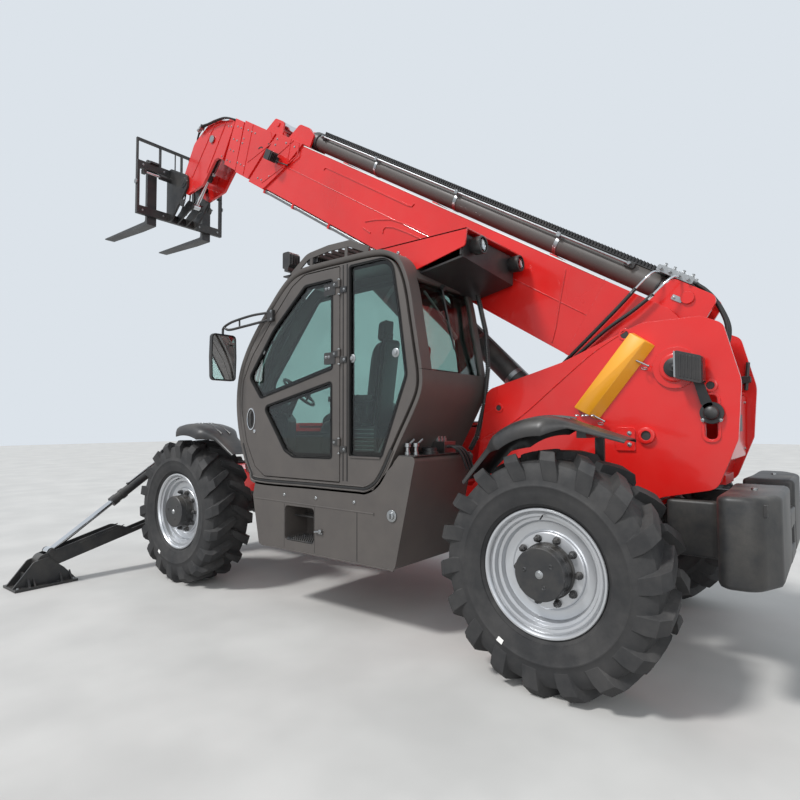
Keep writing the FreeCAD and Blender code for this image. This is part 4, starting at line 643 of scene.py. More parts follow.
def edge_run(low, high, front):
    """Part of the cab's contour on its front or back, from a low to a high height."""
    run = [p for p in CAB_EDGE if low < p.y < high and (p.x < 1500.0) == front]
    ends = []
    for limit in (low, high):
        for i, here in enumerate(CAB_EDGE):
            there = CAB_EDGE[i - 1]
            if (here.y - limit) * (there.y - limit) < 0 and ((here.x + there.x) / 2.0 < 1500.0) == front:
                ends.append(there.lerp(here, (limit - there.y) / (here.y - there.y)))
    return sorted(run + ends, key=lambda p: p.y)


def seal_screen(piece, x0, x1, low, high, front):
    """Rubber round the bent windscreen or the rear window."""
    out = 1.0 if front else -1.0
    run = edge_run(low, high, front)
    for x in (x0, x1):
        piece.ribbon(run, [(x - 14.0, 3.0 * out), (x + 14.0, 3.0 * out), (x + 14.0, -22.0 * out),
                           (x - 14.0, -22.0 * out)])
    for end in (run[0], run[-1]):
        other = run[1] if end is run[0] else run[-2]
        way = (other - end).normalized()
        side = Vector((-way.y, way.x)) * out * (1.0 if end is run[0] else -1.0)
        corners = [end - way * 14.0 + side * 3.0, end + way * 14.0 + side * 3.0, end + way * 14.0 - side * 22.0,
                   end - way * 14.0 - side * 22.0]
        piece.rings([[(x, c.x, c.y) for c in corners] for x in (x0, x1)])


def on_contour(low, high, front):
    """Part of the cab's contour on its front or back, from a low to a high height, as edge_run gives it."""
    return edge_run(low, high, front)


def skin(piece, run, low, high):
    """Stretch of the cab's bent skin, rounded where it ends at a side of the cab."""
    near = [(CAB_IN + u, n) for u, n in SKIN_EDGE] if low == CAB_IN else [(low, -36.0), (low, -4.0), (low + 4.0, 0.0)]
    far = [(CAB_OUT - u, n) for u, n in SKIN_EDGE] if high == CAB_OUT else [(high, -36.0), (high, -4.0),
                                                                         (high - 4.0, 0.0)]
    piece.ribbon(run, [(u, -n * TURNED) for u, n in near + far[::-1]])


TURNED = 1.0
front_run = edge_run(1320.0, 2395.0, True)[::-1]
rear_run = edge_run(1700.0, 2330.0, False)[::-1]
top_run = sorted((p for p in CAB_EDGE if p.y > 2330.0 and (p.y > 2395.0 or p.x > 1500.0)), key=lambda p: -p.x)
top_run = [rear_run[0]] + [p for p in top_run if p.x < rear_run[0].x] + [front_run[0]]
under = [p for p in CAB_EDGE if p.y < 1320.0 or (p.y < 1700.0 and p.x > 1500.0)]
under = sorted(under, key=lambda p: -math.atan2(p.x - 1600.0, -(p.y - 1750.0)))
under = [front_run[-1]] + [p for p in under if p.x > 1500.0 or p.y < 1315.0][::-1] + [rear_run[-1]]
under = sorted(under[1:-1], key=lambda p: math.atan2(p.y - 1900.0, p.x - 1600.0))
under = [front_run[-1]] + under + [rear_run[-1]]

shell = Piece()
skin(shell, top_run[::-1], CAB_IN, CAB_OUT)
skin(shell, under[::-1], CAB_IN, CAB_OUT)
for run, inner, outer in ((front_run[::-1], 352.0, 1013.0), (rear_run, 345.0, 970.0)):
    skin(shell, run, CAB_IN, inner)
    skin(shell, run, outer, CAB_OUT)
inside = [(p.x, p.y) for p in flowing([Vector(p) for p in CAB_RIM])]
plate_rim = rounded([(p[0], p[1]) for p in grown(inside, -12.0)])
shell.sheet([plate_rim, rounded(grown(DOOR_RIM, 6.0), 6), rounded(QUARTER_WINDOW, 6)], CAB_OUT - 36.0, CAB_OUT, 2.0)
shell.sheet([plate_rim, rounded(RIGHT_WINDOW, 6)], CAB_IN, CAB_IN + 36.0, 2.0)
shell.rings([[(x, u, v) for u, v in rounded([(1420.0, 2490.0), (1480.0, 2538.0, 40.0), (1700.0, 2556.0, 120.0),
                                             (2150.0, 2556.0, 60.0), (2290.0, 2500.0)], 6)]
             for x in (CAB_IN + 45.0, CAB_OUT - 45.0)])
shell.done("cab_frame", "root", "grey_powder_coat", smooth=32.0, replaces=["cab_shell", "cab_roof"])

leaf = Piece()
leaf.sheet([rounded(DOOR_RIM, 8), rounded(UPPER_WINDOW, 6), rounded(LOWER_WINDOW, 6)], CAB_OUT - 38.0, CAB_OUT, 3.0)
for z in (2350.0, 1860.0, 1240.0):
    leaf.rod((1090.0, 1905.0, z + 0.5), (1090.0, 1905.0, z + 45.0), 9.0, 16)
leaf.done("door_leaf", "cab_door", "grey_powder_coat", smooth=32.0, replaces=["cab_door"])

panes = Piece()
panes.sheet([rounded(grown(QUARTER_WINDOW, -1.0), 6)], 1060.0, 1066.0, 0.5)
panes.sheet([rounded(grown(RIGHT_WINDOW, -1.0), 6)], CAB_IN + 14.0, CAB_IN + 20.0, 0.5)
panes.ribbon(front_run, [(352.0, -14.0), (1013.0, -14.0), (1013.0, -20.0), (352.0, -20.0)])
panes.ribbon(rear_run, [(345.0, 14.0), (970.0, 14.0), (970.0, 20.0), (345.0, 20.0)])
panes.done("cab_panes", "root", "tinted_glass", smooth=40.0, replaces=["cab_glass"])

door_panes = Piece()
for outline in (UPPER_WINDOW, LOWER_WINDOW):
    door_panes.sheet([rounded(grown(outline, -1.0), 6)], 1060.0, 1066.0, 0.5)
door_panes.done("door_panes", "cab_door", "tinted_glass", smooth=40.0, replaces=["door_glass"])

seals = Piece()
seal_window(seals, QUARTER_WINDOW, CAB_OUT, 1060.0, 1.0)
seal_window(seals, RIGHT_WINDOW, CAB_IN, 305.0, -1.0)
seal_screen(seals, 352.0, 1013.0, 1320.0, 2395.0, True)
seal_screen(seals, 345.0, 970.0, 1700.0, 2330.0, False)
for station, width in ((1936.0, 7.0), (1974.0, 9.0)):
    seals.block((CAB_OUT - 3.0, station - width / 2.0, 1000.0), (CAB_OUT + 2.5, station + width / 2.0, 2500.0))
contour = sorted((p for p in CAB_EDGE if p.y < 1250.0), key=lambda p: math.atan2(p.y - 1500.0, p.x - 1600.0))
seals.ribbon(contour, [(CAB_OUT - 4.0, 9.0), (CAB_OUT + 2.0, 8.0), (CAB_OUT + 5.0, 0.0), (CAB_OUT + 2.0, -8.0),
                       (CAB_OUT - 4.0, -9.0)])
seals.done("cab_seals", "root", "seal_rubber", smooth=50.0)

door_seals = Piece()
for outline in (UPPER_WINDOW, LOWER_WINDOW):
    seal_window(door_seals, outline, CAB_OUT, 1060.0, 1.0)
door_seals.done("door_seals", "cab_door", "seal_rubber", smooth=50.0)

lips = Piece()
for offset in (16.0, -17.0):
    lips.ribbon(contour, [(CAB_OUT - 2.0, offset + 6.0), (CAB_OUT + 3.0, offset + 4.5), (CAB_OUT + 6.0, offset),
                          (CAB_OUT + 3.0, offset - 4.5), (CAB_OUT - 2.0, offset - 6.0)])
lips.block((CAB_OUT, 2002.0, 1160.0), (CAB_OUT + 7.0, 2270.0, 1172.0))
lips.done("cab_beads", "root", "grey_powder_coat", smooth=60.0)

hinges = Piece()
for z in (2345.0, 1855.0):
    hinges.prism([(1752.0, z - 42.0, 8.0), (1752.0, z + 42.0, 8.0), (1860.0, z + 42.0, 8.0), (1860.0, z - 42.0, 8.0)],
                 "X", CAB_OUT - 13.0, CAB_OUT + 5.0)
    for station in (1772.0, 1800.0):
        hinges.bolt((CAB_OUT + 5.0, station, z + 10.0), (1, 0, 0), 13.0, mark=1)
for z in (2350.0, 1860.0, 1240.0):
    hinges.rod((1090.0, 1905.0, z + 48.0), (1090.0, 1905.0, z + 56.0), 11.0, 18, mark=1)
    hinges.prism([(1838.0, z + 2.0, 6.0), (1838.0, z + 44.0, 6.0), (1897.0, z + 44.0, 6.0), (1897.0, z + 2.0, 6.0)],
                 "X", CAB_OUT, CAB_OUT + 9.0)
    hinges.bolt((CAB_OUT + 9.0, 1856.0, z + 23.0), (1, 0, 0), 11.0, mark=1)
hinges.done("door_hinge_plates", "cab_door", "black_chassis_paint", "zinc_plated_steel", bevel=1.0)

catches = Piece()
for z in (2350.0, 1860.0, 1240.0):
    catches.rod((1090.0, 1905.0, z - 56.0), (1090.0, 1905.0, z - 48.0), 11.0, 18, mark=1)
    catches.prism([(1913.0, z - 44.0, 6.0), (1913.0, z - 2.0, 6.0), (1968.0, z - 2.0, 6.0), (1968.0, z - 44.0, 6.0)],
                  "X", CAB_OUT, CAB_OUT + 9.0)
    catches.bolt((CAB_OUT + 9.0, 1950.0, z - 23.0), (1, 0, 0), 11.0, mark=1)
catches.done("pillar_hinge_plates", "root", "black_chassis_paint", "zinc_plated_steel", bevel=1.0)

# Door handle in its oval recess, lock below it
handle = Piece()
ring_out, ring_in = oval((922.0, 1432.0), 52.0, 88.0, 40), oval((922.0, 1432.0), 43.0, 78.0, 40)
handle.rings([[(CAB_OUT - 1.0, *ring_out[i]), (CAB_OUT + 5.0, *ring_out[i]), (CAB_OUT + 7.0, *Vector(ring_out[i]).lerp(
    Vector(ring_in[i]), 0.5)), (CAB_OUT + 5.0, *ring_in[i]), (CAB_OUT - 1.0, *ring_in[i])] for i in range(40)],
    closed=True)
bowl = [(CAB_OUT + 1.0, 1.0), (CAB_OUT + 0.8, 0.8), (CAB_OUT + 0.7, 0.5), (CAB_OUT + 0.6, 0.02)]
handle.rings([[(x, 922.0 + (u - 922.0) * share, 1432.0 + (v - 1432.0) * share) for u, v in ring_in]
              for x, share in bowl], mark=1)
handle.rings([[(CAB_OUT + rise, 922.0 + u * 13.0, 1432.0 + v + w) for u, w in
               ((-1.0, 0.0), (-0.6, 3.0), (0.6, 3.0), (1.0, 0.0))]
              for v, rise in ((-62.0, 2.0), (-40.0, 10.0), (0.0, 15.0), (40.0, 12.0), (62.0, 6.0))], mark=1)
handle.turn([(0.0, 15.0), (6.0, 14.0), (8.0, 10.0), (8.0, 0.5)], (CAB_OUT, 968.0, 1335.0), (1, 0, 0), 24, closed=False)
handle.block((CAB_OUT + 8.0, 966.5, 1328.0), (CAB_OUT + 8.6, 969.5, 1342.0), mark=1)
handle.done("door_handle", "cab_door", "hard_chrome", "black_plastic_and_painted_shade", smooth=40.0)

latch = Piece()
for station, z in ((2392.0, 1850.0), (2010.0, 1840.0)):
    latch.turn([(0.0, 30.0), (4.0, 30.0), (7.0, 24.0), (7.0, 17.0), (13.0, 14.0), (15.0, 9.0), (15.0, 0.5)],
               (1066.0, station, z), (1, 0, 0), 24, closed=False)
latch.rod((1040.0, 2360.0, 1400.0), (1040.0, 2290.0, 1280.0), 11.0, 14)
latch.rod((1040.0, 2290.0, 1280.0), (1040.0, 2238.0, 1196.0), 15.0, 14)
latch.done("quarter_window_fittings", "root", "zinc_plated_steel")

door_knobs = Piece()
door_knobs.turn([(0.0, 22.0), (4.0, 22.0), (8.0, 15.0), (8.0, 0.5)], (1066.0, 1052.0, 1965.0), (1, 0, 0), 20,
                closed=False)
door_knobs.turn([(0.0, 15.0), (-30.0, 12.0), (-34.0, 0.5)], (1060.0, 1052.0, 1965.0), (1, 0, 0), 16, mark=1,
                closed=False)
door_knobs.rod((1025.0, 1000.0, 1590.0), (1025.0, 1780.0, 1745.0), 12.0, 12, mark=1)
for station, z in ((1000.0, 1590.0), (1780.0, 1745.0)):
    door_knobs.rod((1040.0, station, z), (1020.0, station, z), 16.0, 12, mark=1)
door_knobs.done("door_fittings", "cab_door", "zinc_plated_steel", "black_plastic_and_painted_shade")

reflector = Piece()
reflector.prism([(868.0, 1010.0, 10.0), (846.0, 1068.0, 14.0), (872.0, 1082.0, 10.0), (926.0, 990.0, 12.0)], "X",
                CAB_OUT - 26.0, CAB_OUT + 4.0)
reflector.done("corner_marker_lens", "root", "red_lens", bevel=3.0)

# Guard over the roof and before the windscreen: hoops along the cab's contour, slats across them
guard = Piece()
screen_run = edge_run(1500.0, 2500.0, True)
for i in range(7):
    x = CAB_IN + 75.0 + i * (CAB_OUT - CAB_IN - 150.0) / 6.0
    guard.ribbon(screen_run, [(x - 5.0, 14.0), (x - 5.0, 42.0), (x + 5.0, 42.0), (x + 5.0, 14.0)])
for height in (1560.0, 2050.0):
    for i in range(len(screen_run) - 1):
        here, there = screen_run[i], screen_run[i + 1]
        if (here.y - height) * (there.y - height) <= 0:
            way = (there - here).normalized()
            side = Vector((-way.y, way.x))
            middle = here.lerp(there, (height - here.y) / (there.y - here.y + 1e-6))
            corners = [middle - way * 15.0 + side * 42.0, middle + way * 15.0 + side * 42.0,
                       middle + way * 15.0 + side * 50.0, middle - way * 15.0 + side * 50.0]
            guard.rings([[(x, c.x, c.y) for c in corners] for x in (CAB_IN + 40.0, CAB_OUT - 40.0)])
            for x in (CAB_IN + 60.0, CAB_OUT - 60.0):
                guard.rod((x, *(middle + side * 50.0)), (x, *(middle - side * 6.0)), 9.0, 12)
hoop = [(1180.0, 2310.0), (1290.0, 2540.0, 120.0), (1480.0, 2665.0, 160.0), (1700.0, 2686.0, 120.0),
        (1910.0, 2682.0, 60.0), (2095.0, 2600.0)]
for x in (CAB_IN + 55.0, CAB_OUT - 90.0):
    guard.ribbon(rounded(hoop, 8, closed=False), [(x - 6.0, -24.0), (x - 6.0, 24.0), (x + 6.0, 24.0), (x + 6.0, -24.0)])
for i in range(8):
    station = 1450.0 + i * 70.0
    rise = 2658.0 - abs(i - 3) * 1.5
    guard.rings([[(x, station + u, rise + v) for u, v in ((-6.0, -18.0), (6.0, -12.0), (6.0, 14.0), (-6.0, 8.0))]
                 for x in (CAB_IN + 55.0, CAB_OUT - 90.0)])
for station in (1520.0, 1880.0):
    for x in (CAB_IN + 55.0, CAB_OUT - 90.0):
        guard.block((x - 5.0, station - 14.0, 2516.0), (x + 5.0, station + 14.0, 2660.0))
        guard.block((x - 25.0, station - 30.0, 2518.0), (x + 25.0, station + 30.0, 2526.0))
guard.done("roof_guard", "root", "grey_powder_coat", bevel=1.5)

# Front work lamp, seen from behind in the photograph
lamp_body = Piece()
lamp_body.prism([(1478.0, 2606.0, 14.0), (1545.0, 2606.0, 14.0), (1545.0, 2690.0, 14.0), (1478.0, 2690.0, 14.0)], "X",
                852.0, 988.0)
for i in range(7):
    x = 866.0 + i * 18.0
    lamp_body.block((x - 3.0, 1540.0, 2612.0), (x + 3.0, 1572.0, 2684.0))
lamp_body.block((906.0, 1500.0, 2560.0), (934.0, 1560.0, 2610.0))
lamp_body.loop([(852.0, 2606.0, 14.0), (988.0, 2606.0, 14.0), (988.0, 2690.0, 14.0), (852.0, 2690.0, 14.0)],
               [(864.0, 2618.0, 8.0), (976.0, 2618.0, 8.0), (976.0, 2678.0, 8.0), (864.0, 2678.0, 8.0)], "Y", 1466.0,
               1480.0)
lamp_body.prism([(866.0, 2620.0, 6.0), (974.0, 2620.0, 6.0), (974.0, 2676.0, 6.0), (866.0, 2676.0, 6.0)], "Y", 1471.0,
                1476.0, mark=1)
lamp_body.done("front_work_lamp", "root", "black_plastic_and_painted_shade", "clear_lens", bevel=1.5, replaces=["roof_lamp"])

# Corner lamp on its stem, on the front of the roof guard's left hoop
corner_lamp = Piece()
corner_lamp.prism([(1168.0, 2628.0, 12.0), (1236.0, 2628.0, 12.0), (1254.0, 2650.0, 12.0), (1254.0, 2736.0, 12.0),
                   (1236.0, 2758.0, 12.0), (1168.0, 2758.0, 12.0)], "X", 868.0, 976.0)
for i in range(5):
    corner_lamp.block((884.0 + i * 18.0, 1250.0, 2652.0), (889.0 + i * 18.0, 1268.0, 2734.0))
corner_lamp.prism([(876.0, 2636.0, 8.0), (968.0, 2636.0, 8.0), (968.0, 2750.0, 8.0), (876.0, 2750.0, 8.0)], "Y", 1160.0,
                  1169.0, mark=1)
corner_lamp.prism([(1196.0, 2600.0, 6.0), (1240.0, 2600.0, 6.0), (1240.0, 2632.0, 6.0), (1196.0, 2632.0, 6.0)], "X",
                  862.0, 982.0)
corner_lamp.rod((922.0, 1218.0, 2560.0), (922.0, 1218.0, 2604.0), 13.0, 16)
corner_lamp.prism([(1200.0, 2550.0, 4.0), (1300.0, 2550.0, 4.0), (1300.0, 2562.0, 4.0), (1200.0, 2562.0, 4.0)], "X",
                  900.0, 996.0)
corner_lamp.prism([(1250.0, 2505.0, 4.0), (1300.0, 2505.0, 4.0), (1300.0, 2556.0, 4.0), (1250.0, 2556.0, 4.0)], "X",
                  980.0, 996.0)
corner_lamp.done("corner_work_lamp", "root", "black_plastic_and_painted_shade", "clear_lens", bevel=1.5)

# Canopy with its two rear lamps
canopy = Piece()
canopy.prism([(2066.0, 2612.0), (2400.0, 2398.0, 12.0), (2832.0, 2500.0, 24.0), (2850.0, 2612.0)], "X", 918.0, 930.0)
canopy.prism([(2066.0, 2612.0), (2850.0, 2612.0), (2850.0, 2602.0), (2082.0, 2602.0)], "X", 210.0, 930.0)
canopy.prism([(2066.0, 2612.0), (2400.0, 2450.0, 12.0), (2832.0, 2500.0, 24.0), (2850.0, 2612.0)], "X", 210.0, 222.0)
canopy.prism([(2066.0, 2612.0), (2400.0, 2398.0), (2392.0, 2392.0), (2058.0, 2606.0)], "X", 880.0, 930.0)
for station, z in ((2306.0, 2550.0), (2366.0, 2500.0), (2402.0, 2446.0)):
    canopy.screw((930.0, station, z), (1, 0, 0), 14.0, mark=1)
canopy.done("lamp_canopy_sheet", "root", "red_enamel", "zinc_plated_steel", bevel=1.2, replaces=["lamp_canopy"])

lamps_and_shade = Piece()
# Black sheets under the canopy's top and across its back, where the lamps sit: painted shade for the shadow under the
# canopy.
lamps_and_shade.block((222.0, 2140.0, 2572.0), (918.0, 2800.0, 2590.0))
lamps_and_shade.block((222.0, 2788.0, 2452.0), (918.0, 2800.0, 2590.0))
for x in (270.0, 800.0):
    lamps_and_shade.turn([(0.0, 40.0), (24.0, 56.0), (84.0, 58.0), (88.0, 54.0), (88.0, 47.0), (70.0, 44.0)],
              (x, 2806.0, 2525.0), (0, 1, 0), 36)
    lamps_and_shade.turn([(0.0, 46.0), (5.0, 42.0), (9.0, 24.0), (10.0, 0.5)], (x, 2880.0, 2525.0), (0, 1, 0), 36, mark=1,
              closed=False)
    lamps_and_shade.turn([(-14.0, 0.5), (-2.0, 40.0), (0.0, 44.0), (-1.0, 44.0), (-20.0, 0.5)], (x, 2868.0, 2525.0), (0, 1, 0), 36,
              mark=2, closed=False)
    lamps_and_shade.rod((x, 2790.0, 2500.0), (x, 2830.0, 2480.0), 8.0, 10)
lamps_and_shade.hose([(300.0, 2790.0, 2480.0), (330.0, 2740.0, 2440.0), (420.0, 2700.0, 2420.0), (520.0, 2720.0, 2450.0),
           (640.0, 2770.0, 2470.0), (790.0, 2800.0, 2490.0)], 9.0)
lamps_and_shade.block((500.0, 2600.0, 2440.0), (640.0, 2700.0, 2575.0))
# Black sheet sloping from the canopy's back down to the cab roof: painted shade.
lamps_and_shade.rings([[(222.0, 2812.0, 2590.0), (222.0, 2800.0, 2590.0), (222.0, 2790.0, 2400.0), (222.0, 2480.0, 2330.0),
             (222.0, 2482.0, 2318.0), (222.0, 2804.0, 2388.0)],
            [(905.0, 2812.0, 2590.0), (905.0, 2800.0, 2590.0), (905.0, 2790.0, 2452.0), (905.0, 2470.0, 2400.0),
             (905.0, 2472.0, 2388.0), (905.0, 2804.0, 2440.0)]])
lamps_and_shade.done("canopy_lamps_and_painted_shade", "root", "black_plastic_and_painted_shade", "clear_lens", "mirror_silver", bevel=1.0, smooth=45.0)

# Mirror on its ladder arm
mirror = Piece()
mirror.prism([(1098.0, 1742.0, 34.0), (1322.0, 1742.0, 34.0), (1328.0, 1930.0, 60.0), (1322.0, 2118.0, 34.0),
              (1098.0, 2118.0, 34.0), (1092.0, 1930.0, 60.0)], "Y", 704.0, 728.0)
mirror.loop([(1098.0, 1742.0, 34.0), (1322.0, 1742.0, 34.0), (1328.0, 1930.0, 60.0), (1322.0, 2118.0, 34.0),
             (1098.0, 2118.0, 34.0), (1092.0, 1930.0, 60.0)],
            [(1108.0, 1752.0, 28.0), (1312.0, 1752.0, 28.0), (1317.0, 1930.0, 60.0), (1312.0, 2108.0, 28.0),
             (1108.0, 2108.0, 28.0), (1103.0, 1930.0, 60.0)], "Y", 726.0, 738.0)
mirror.prism([(1109.0, 1754.0, 26.0), (1311.0, 1754.0, 26.0), (1316.0, 1930.0, 60.0), (1311.0, 2106.0, 26.0),
              (1109.0, 2106.0, 26.0), (1104.0, 1930.0, 60.0)], "Y", 727.0, 731.0, mark=1)
mirror.hose([(1210.0, 716.0, 2000.0), (1210.0, 716.0, 2140.0), (1210.0, 724.0, 2168.0), (1206.0, 760.0, 2190.0),
             (1190.0, 840.0, 2216.0), (1140.0, 1000.0, 2250.0), (1092.0, 1160.0, 2262.0)], 10.0, 12)
mirror.hose([(1208.0, 735.0, 2170.0), (1200.0, 790.0, 2150.0), (1160.0, 920.0, 2168.0), (1092.0, 1150.0, 2205.0)],
            10.0, 12)
mirror.rod((1172.0, 885.0, 2163.0), (1174.0, 885.0, 2228.0), 7.0, 10)
mirror.prism([(1140.0, 2190.0, 10.0), (1205.0, 2190.0, 10.0), (1205.0, 2280.0, 10.0), (1140.0, 2280.0, 10.0)], "X",
             CAB_OUT + 0.5, CAB_OUT + 26.0)
for z in (2205.0, 2265.0):
    mirror.bolt((CAB_OUT + 26.0, 1190.0, z), (1, 0, 0), 12.0, mark=2)
mirror.rod((1210.0, 704.0, 1930.0), (1210.0, 690.0, 1930.0), 22.0, 18)
mirror.done("rear_view_mirror", "root", "black_plastic_and_painted_shade", "mirror_silver", "zinc_plated_steel", bevel=1.5,
            smooth=45.0, replaces=["mirror"])

# Wipers and roof lining
wiper = Piece()
wiper.rod((680.0, 2497.0, 2322.0), (640.0, 2566.0, 1900.0), 7.0, 10)
wiper.rod((560.0, 2570.0, 1765.0), (690.0, 2520.0, 2120.0), 5.0, 8)
wiper.rod((680.0, 2490.0, 2340.0), (680.0, 2520.0, 2322.0), 18.0, 16)
for shift in (0.0, 26.0):
    wiper.rod((660.0 + shift, 820.0 - shift, 1300.0), (560.0 + shift, 1020.0 - shift, 2010.0), 5.0, 8)
wiper.rod((420.0, 1130.0, 2130.0), (700.0, 830.0, 1560.0), 6.0, 8)
wiper.rod((660.0, 795.0, 1290.0), (660.0, 850.0, 1310.0), 20.0, 16)
wiper.done("wipers", "root", "black_plastic_and_painted_shade")

strut = Piece()
strut.rod((820.0, 2440.0, 2290.0), (640.0, 2480.0, 2120.0), 8.0, 12)
strut.rod((640.0, 2480.0, 2120.0), (520.0, 2505.0, 2000.0), 12.0, 12)
strut.done("rear_window_strut", "root", "zinc_plated_steel")

lining = Piece()
lining.block((CAB_IN + 48.0, 1500.0, 2462.0), (CAB_OUT - 48.0, 2300.0, 2480.0))
lining.block((CAB_MIDDLE - 150.0, 1560.0, 2400.0), (CAB_MIDDLE + 150.0, 1760.0, 2464.0))
for i in range(4):
    lining.turn([(0.0, 26.0), (-6.0, 26.0), (-9.0, 20.0), (-9.0, 0.5)],
                (CAB_MIDDLE - 105.0 + i * 70.0, 1660.0, 2400.0), (0, 0, 1), 20, closed=False)
lining.done("roof_lining", "root", "black_plastic_and_painted_shade", bevel=4.0)

# Inside of the cab: floor mat, console with its wheel, pedals, side console with levers
mat = Piece()
mat.block((CAB_IN + 50.0, 1010.0, CAB_FLOOR), (CAB_OUT - 50.0, 2170.0, CAB_FLOOR + 8.0))
for i in range(26):
    station = 1050.0 + i * 24.0
    mat.block((CAB_IN + 80.0, station, CAB_FLOOR + 8.0), (CAB_OUT - 80.0, station + 9.0, CAB_FLOOR + 11.0))
mat.done("floor_mat", "root", "seal_rubber")

console = Piece()
console.prism([(1060.0, 1001.0), (1240.0, 1001.0), (1262.0, 1420.0, 40.0), (1215.0, 1470.0, 30.0),
               (1120.0, 1512.0, 60.0), (1040.0, 1300.0, 40.0)], "X", CAB_MIDDLE - 128.0, CAB_MIDDLE + 128.0)
console.prism([(1020.0, 1440.0, 20.0), (1120.0, 1500.0, 30.0), (1190.0, 1470.0, 20.0), (1230.0, 1560.0, 30.0),
               (1100.0, 1620.0, 50.0), (1000.0, 1520.0, 30.0)], "X", CAB_MIDDLE - 190.0, CAB_MIDDLE + 190.0)
console.turn([(0.0, 34.0), (80.0, 30.0), (200.0, 28.0), (250.0, 44.0), (262.0, 40.0)], (CAB_MIDDLE, 1190.0, 1430.0),
             (0.0, 140.0, 210.0), 20, closed=False)
wheel_axis = Vector((0.0, 140.0, 210.0)).normalized()
wheel_at = Vector((CAB_MIDDLE, 1330.0, 1640.0))
console.turn([(12.0 * math.sin(a), 187.0 + 13.0 * math.cos(a)) for a in [math.tau * i / 10 for i in range(10)]],
             wheel_at, wheel_axis, 48)
console.turn([(-18.0, 46.0), (6.0, 46.0), (14.0, 34.0), (16.0, 0.5)], wheel_at, wheel_axis, 24, closed=False)
side_way, other_way = basis(wheel_axis)
for angle in (math.radians(90), math.radians(210), math.radians(330)):
    out = side_way * math.cos(angle) + other_way * math.sin(angle)
    console.rod(wheel_at + out * 30.0, wheel_at + out * 182.0, 10.0, 10)
knob_at = wheel_at + side_way * 187.0 + wheel_axis * 12.0
console.turn([(0.0, 10.0), (20.0, 12.0), (40.0, 22.0), (58.0, 20.0), (66.0, 0.5)], knob_at, wheel_axis, 18,
             closed=False)
for x, tilt in ((CAB_MIDDLE - 230.0, 14.0), (CAB_MIDDLE + 160.0, 0.0), (CAB_MIDDLE + 250.0, 8.0)):
    console.rings([[(x + u, 1120.0 + v, 1010.0 + 40.0 + rise) for u, v, rise in
                    ((-38.0, 0.0, 0.0), (38.0, 0.0, 0.0), (38.0, -60.0 - tilt, 120.0), (-38.0, -60.0 - tilt, 120.0))],
                   [(x + u, 1132.0 + v, 1010.0 + 40.0 + rise) for u, v, rise in
                    ((-38.0, 0.0, 0.0), (38.0, 0.0, 0.0), (38.0, -60.0 - tilt, 126.0), (-38.0, -60.0 - tilt, 126.0))]])
    console.rod((x, 1100.0, 1110.0), (x, 1010.0, 1060.0), 9.0, 10)
console.block((CAB_MIDDLE - 90.0, 1172.0, 1556.0), (CAB_MIDDLE + 90.0, 1180.0, 1610.0), mark=1)
console.done("steering_console", "root", "black_plastic_and_painted_shade", "mirror_silver", bevel=3.0, smooth=45.0,
             replaces=["steering_column"])

side_console = Piece()
side_console.prism([(1500.0, 1010.0, 20.0), (2180.0, 1010.0, 20.0), (2180.0, 1560.0, 60.0), (1760.0, 1560.0, 40.0),
                    (1500.0, 1440.0, 60.0)], "X", CAB_IN + 50.0, CAB_MIDDLE - 262.0)
side_console.block((CAB_MIDDLE - 330.0, 1560.0, 1560.0), (CAB_MIDDLE - 258.0, 1960.0, 1600.0))
side_console.turn([(0.0, 34.0), (16.0, 30.0), (28.0, 18.0), (40.0, 22.0), (52.0, 12.0), (110.0, 10.0), (116.0, 20.0),
                   (190.0, 24.0), (214.0, 20.0), (222.0, 0.5)], (CAB_MIDDLE - 296.0, 1620.0, 1600.0),
                  (0.0, -0.15, 1.0), 18, closed=False)
for i in range(4):
    side_console.block((CAB_MIDDLE - 320.0, 1700.0 + i * 44.0, 1600.0), (CAB_MIDDLE - 276.0, 1730.0 + i * 44.0, 1606.0))
for i in range(7):
    z = 1186.0 + i * 27.0
    side_console.block((CAB_OUT - 60.0, 2006.0, z), (CAB_OUT - 50.0, 2190.0, z + 9.0), mark=1)
side_console.block((CAB_OUT - 130.0, 1996.0, 1010.0), (CAB_OUT - 62.0, 2210.0, 1380.0))
side_console.turn([(0.0, 12.0), (60.0, 10.0), (66.0, 22.0), (120.0, 24.0), (128.0, 0.5)],
                  (CAB_OUT - 96.0, 2060.0, 1380.0), (0, -0.2, 1), 16, closed=False)
side_console.done("side_console", "root", "black_plastic_and_painted_shade", "zinc_plated_steel", bevel=4.0, smooth=45.0)


# Driver's seat: crowned cushions drawn in their own frames, with sewn channels and piping

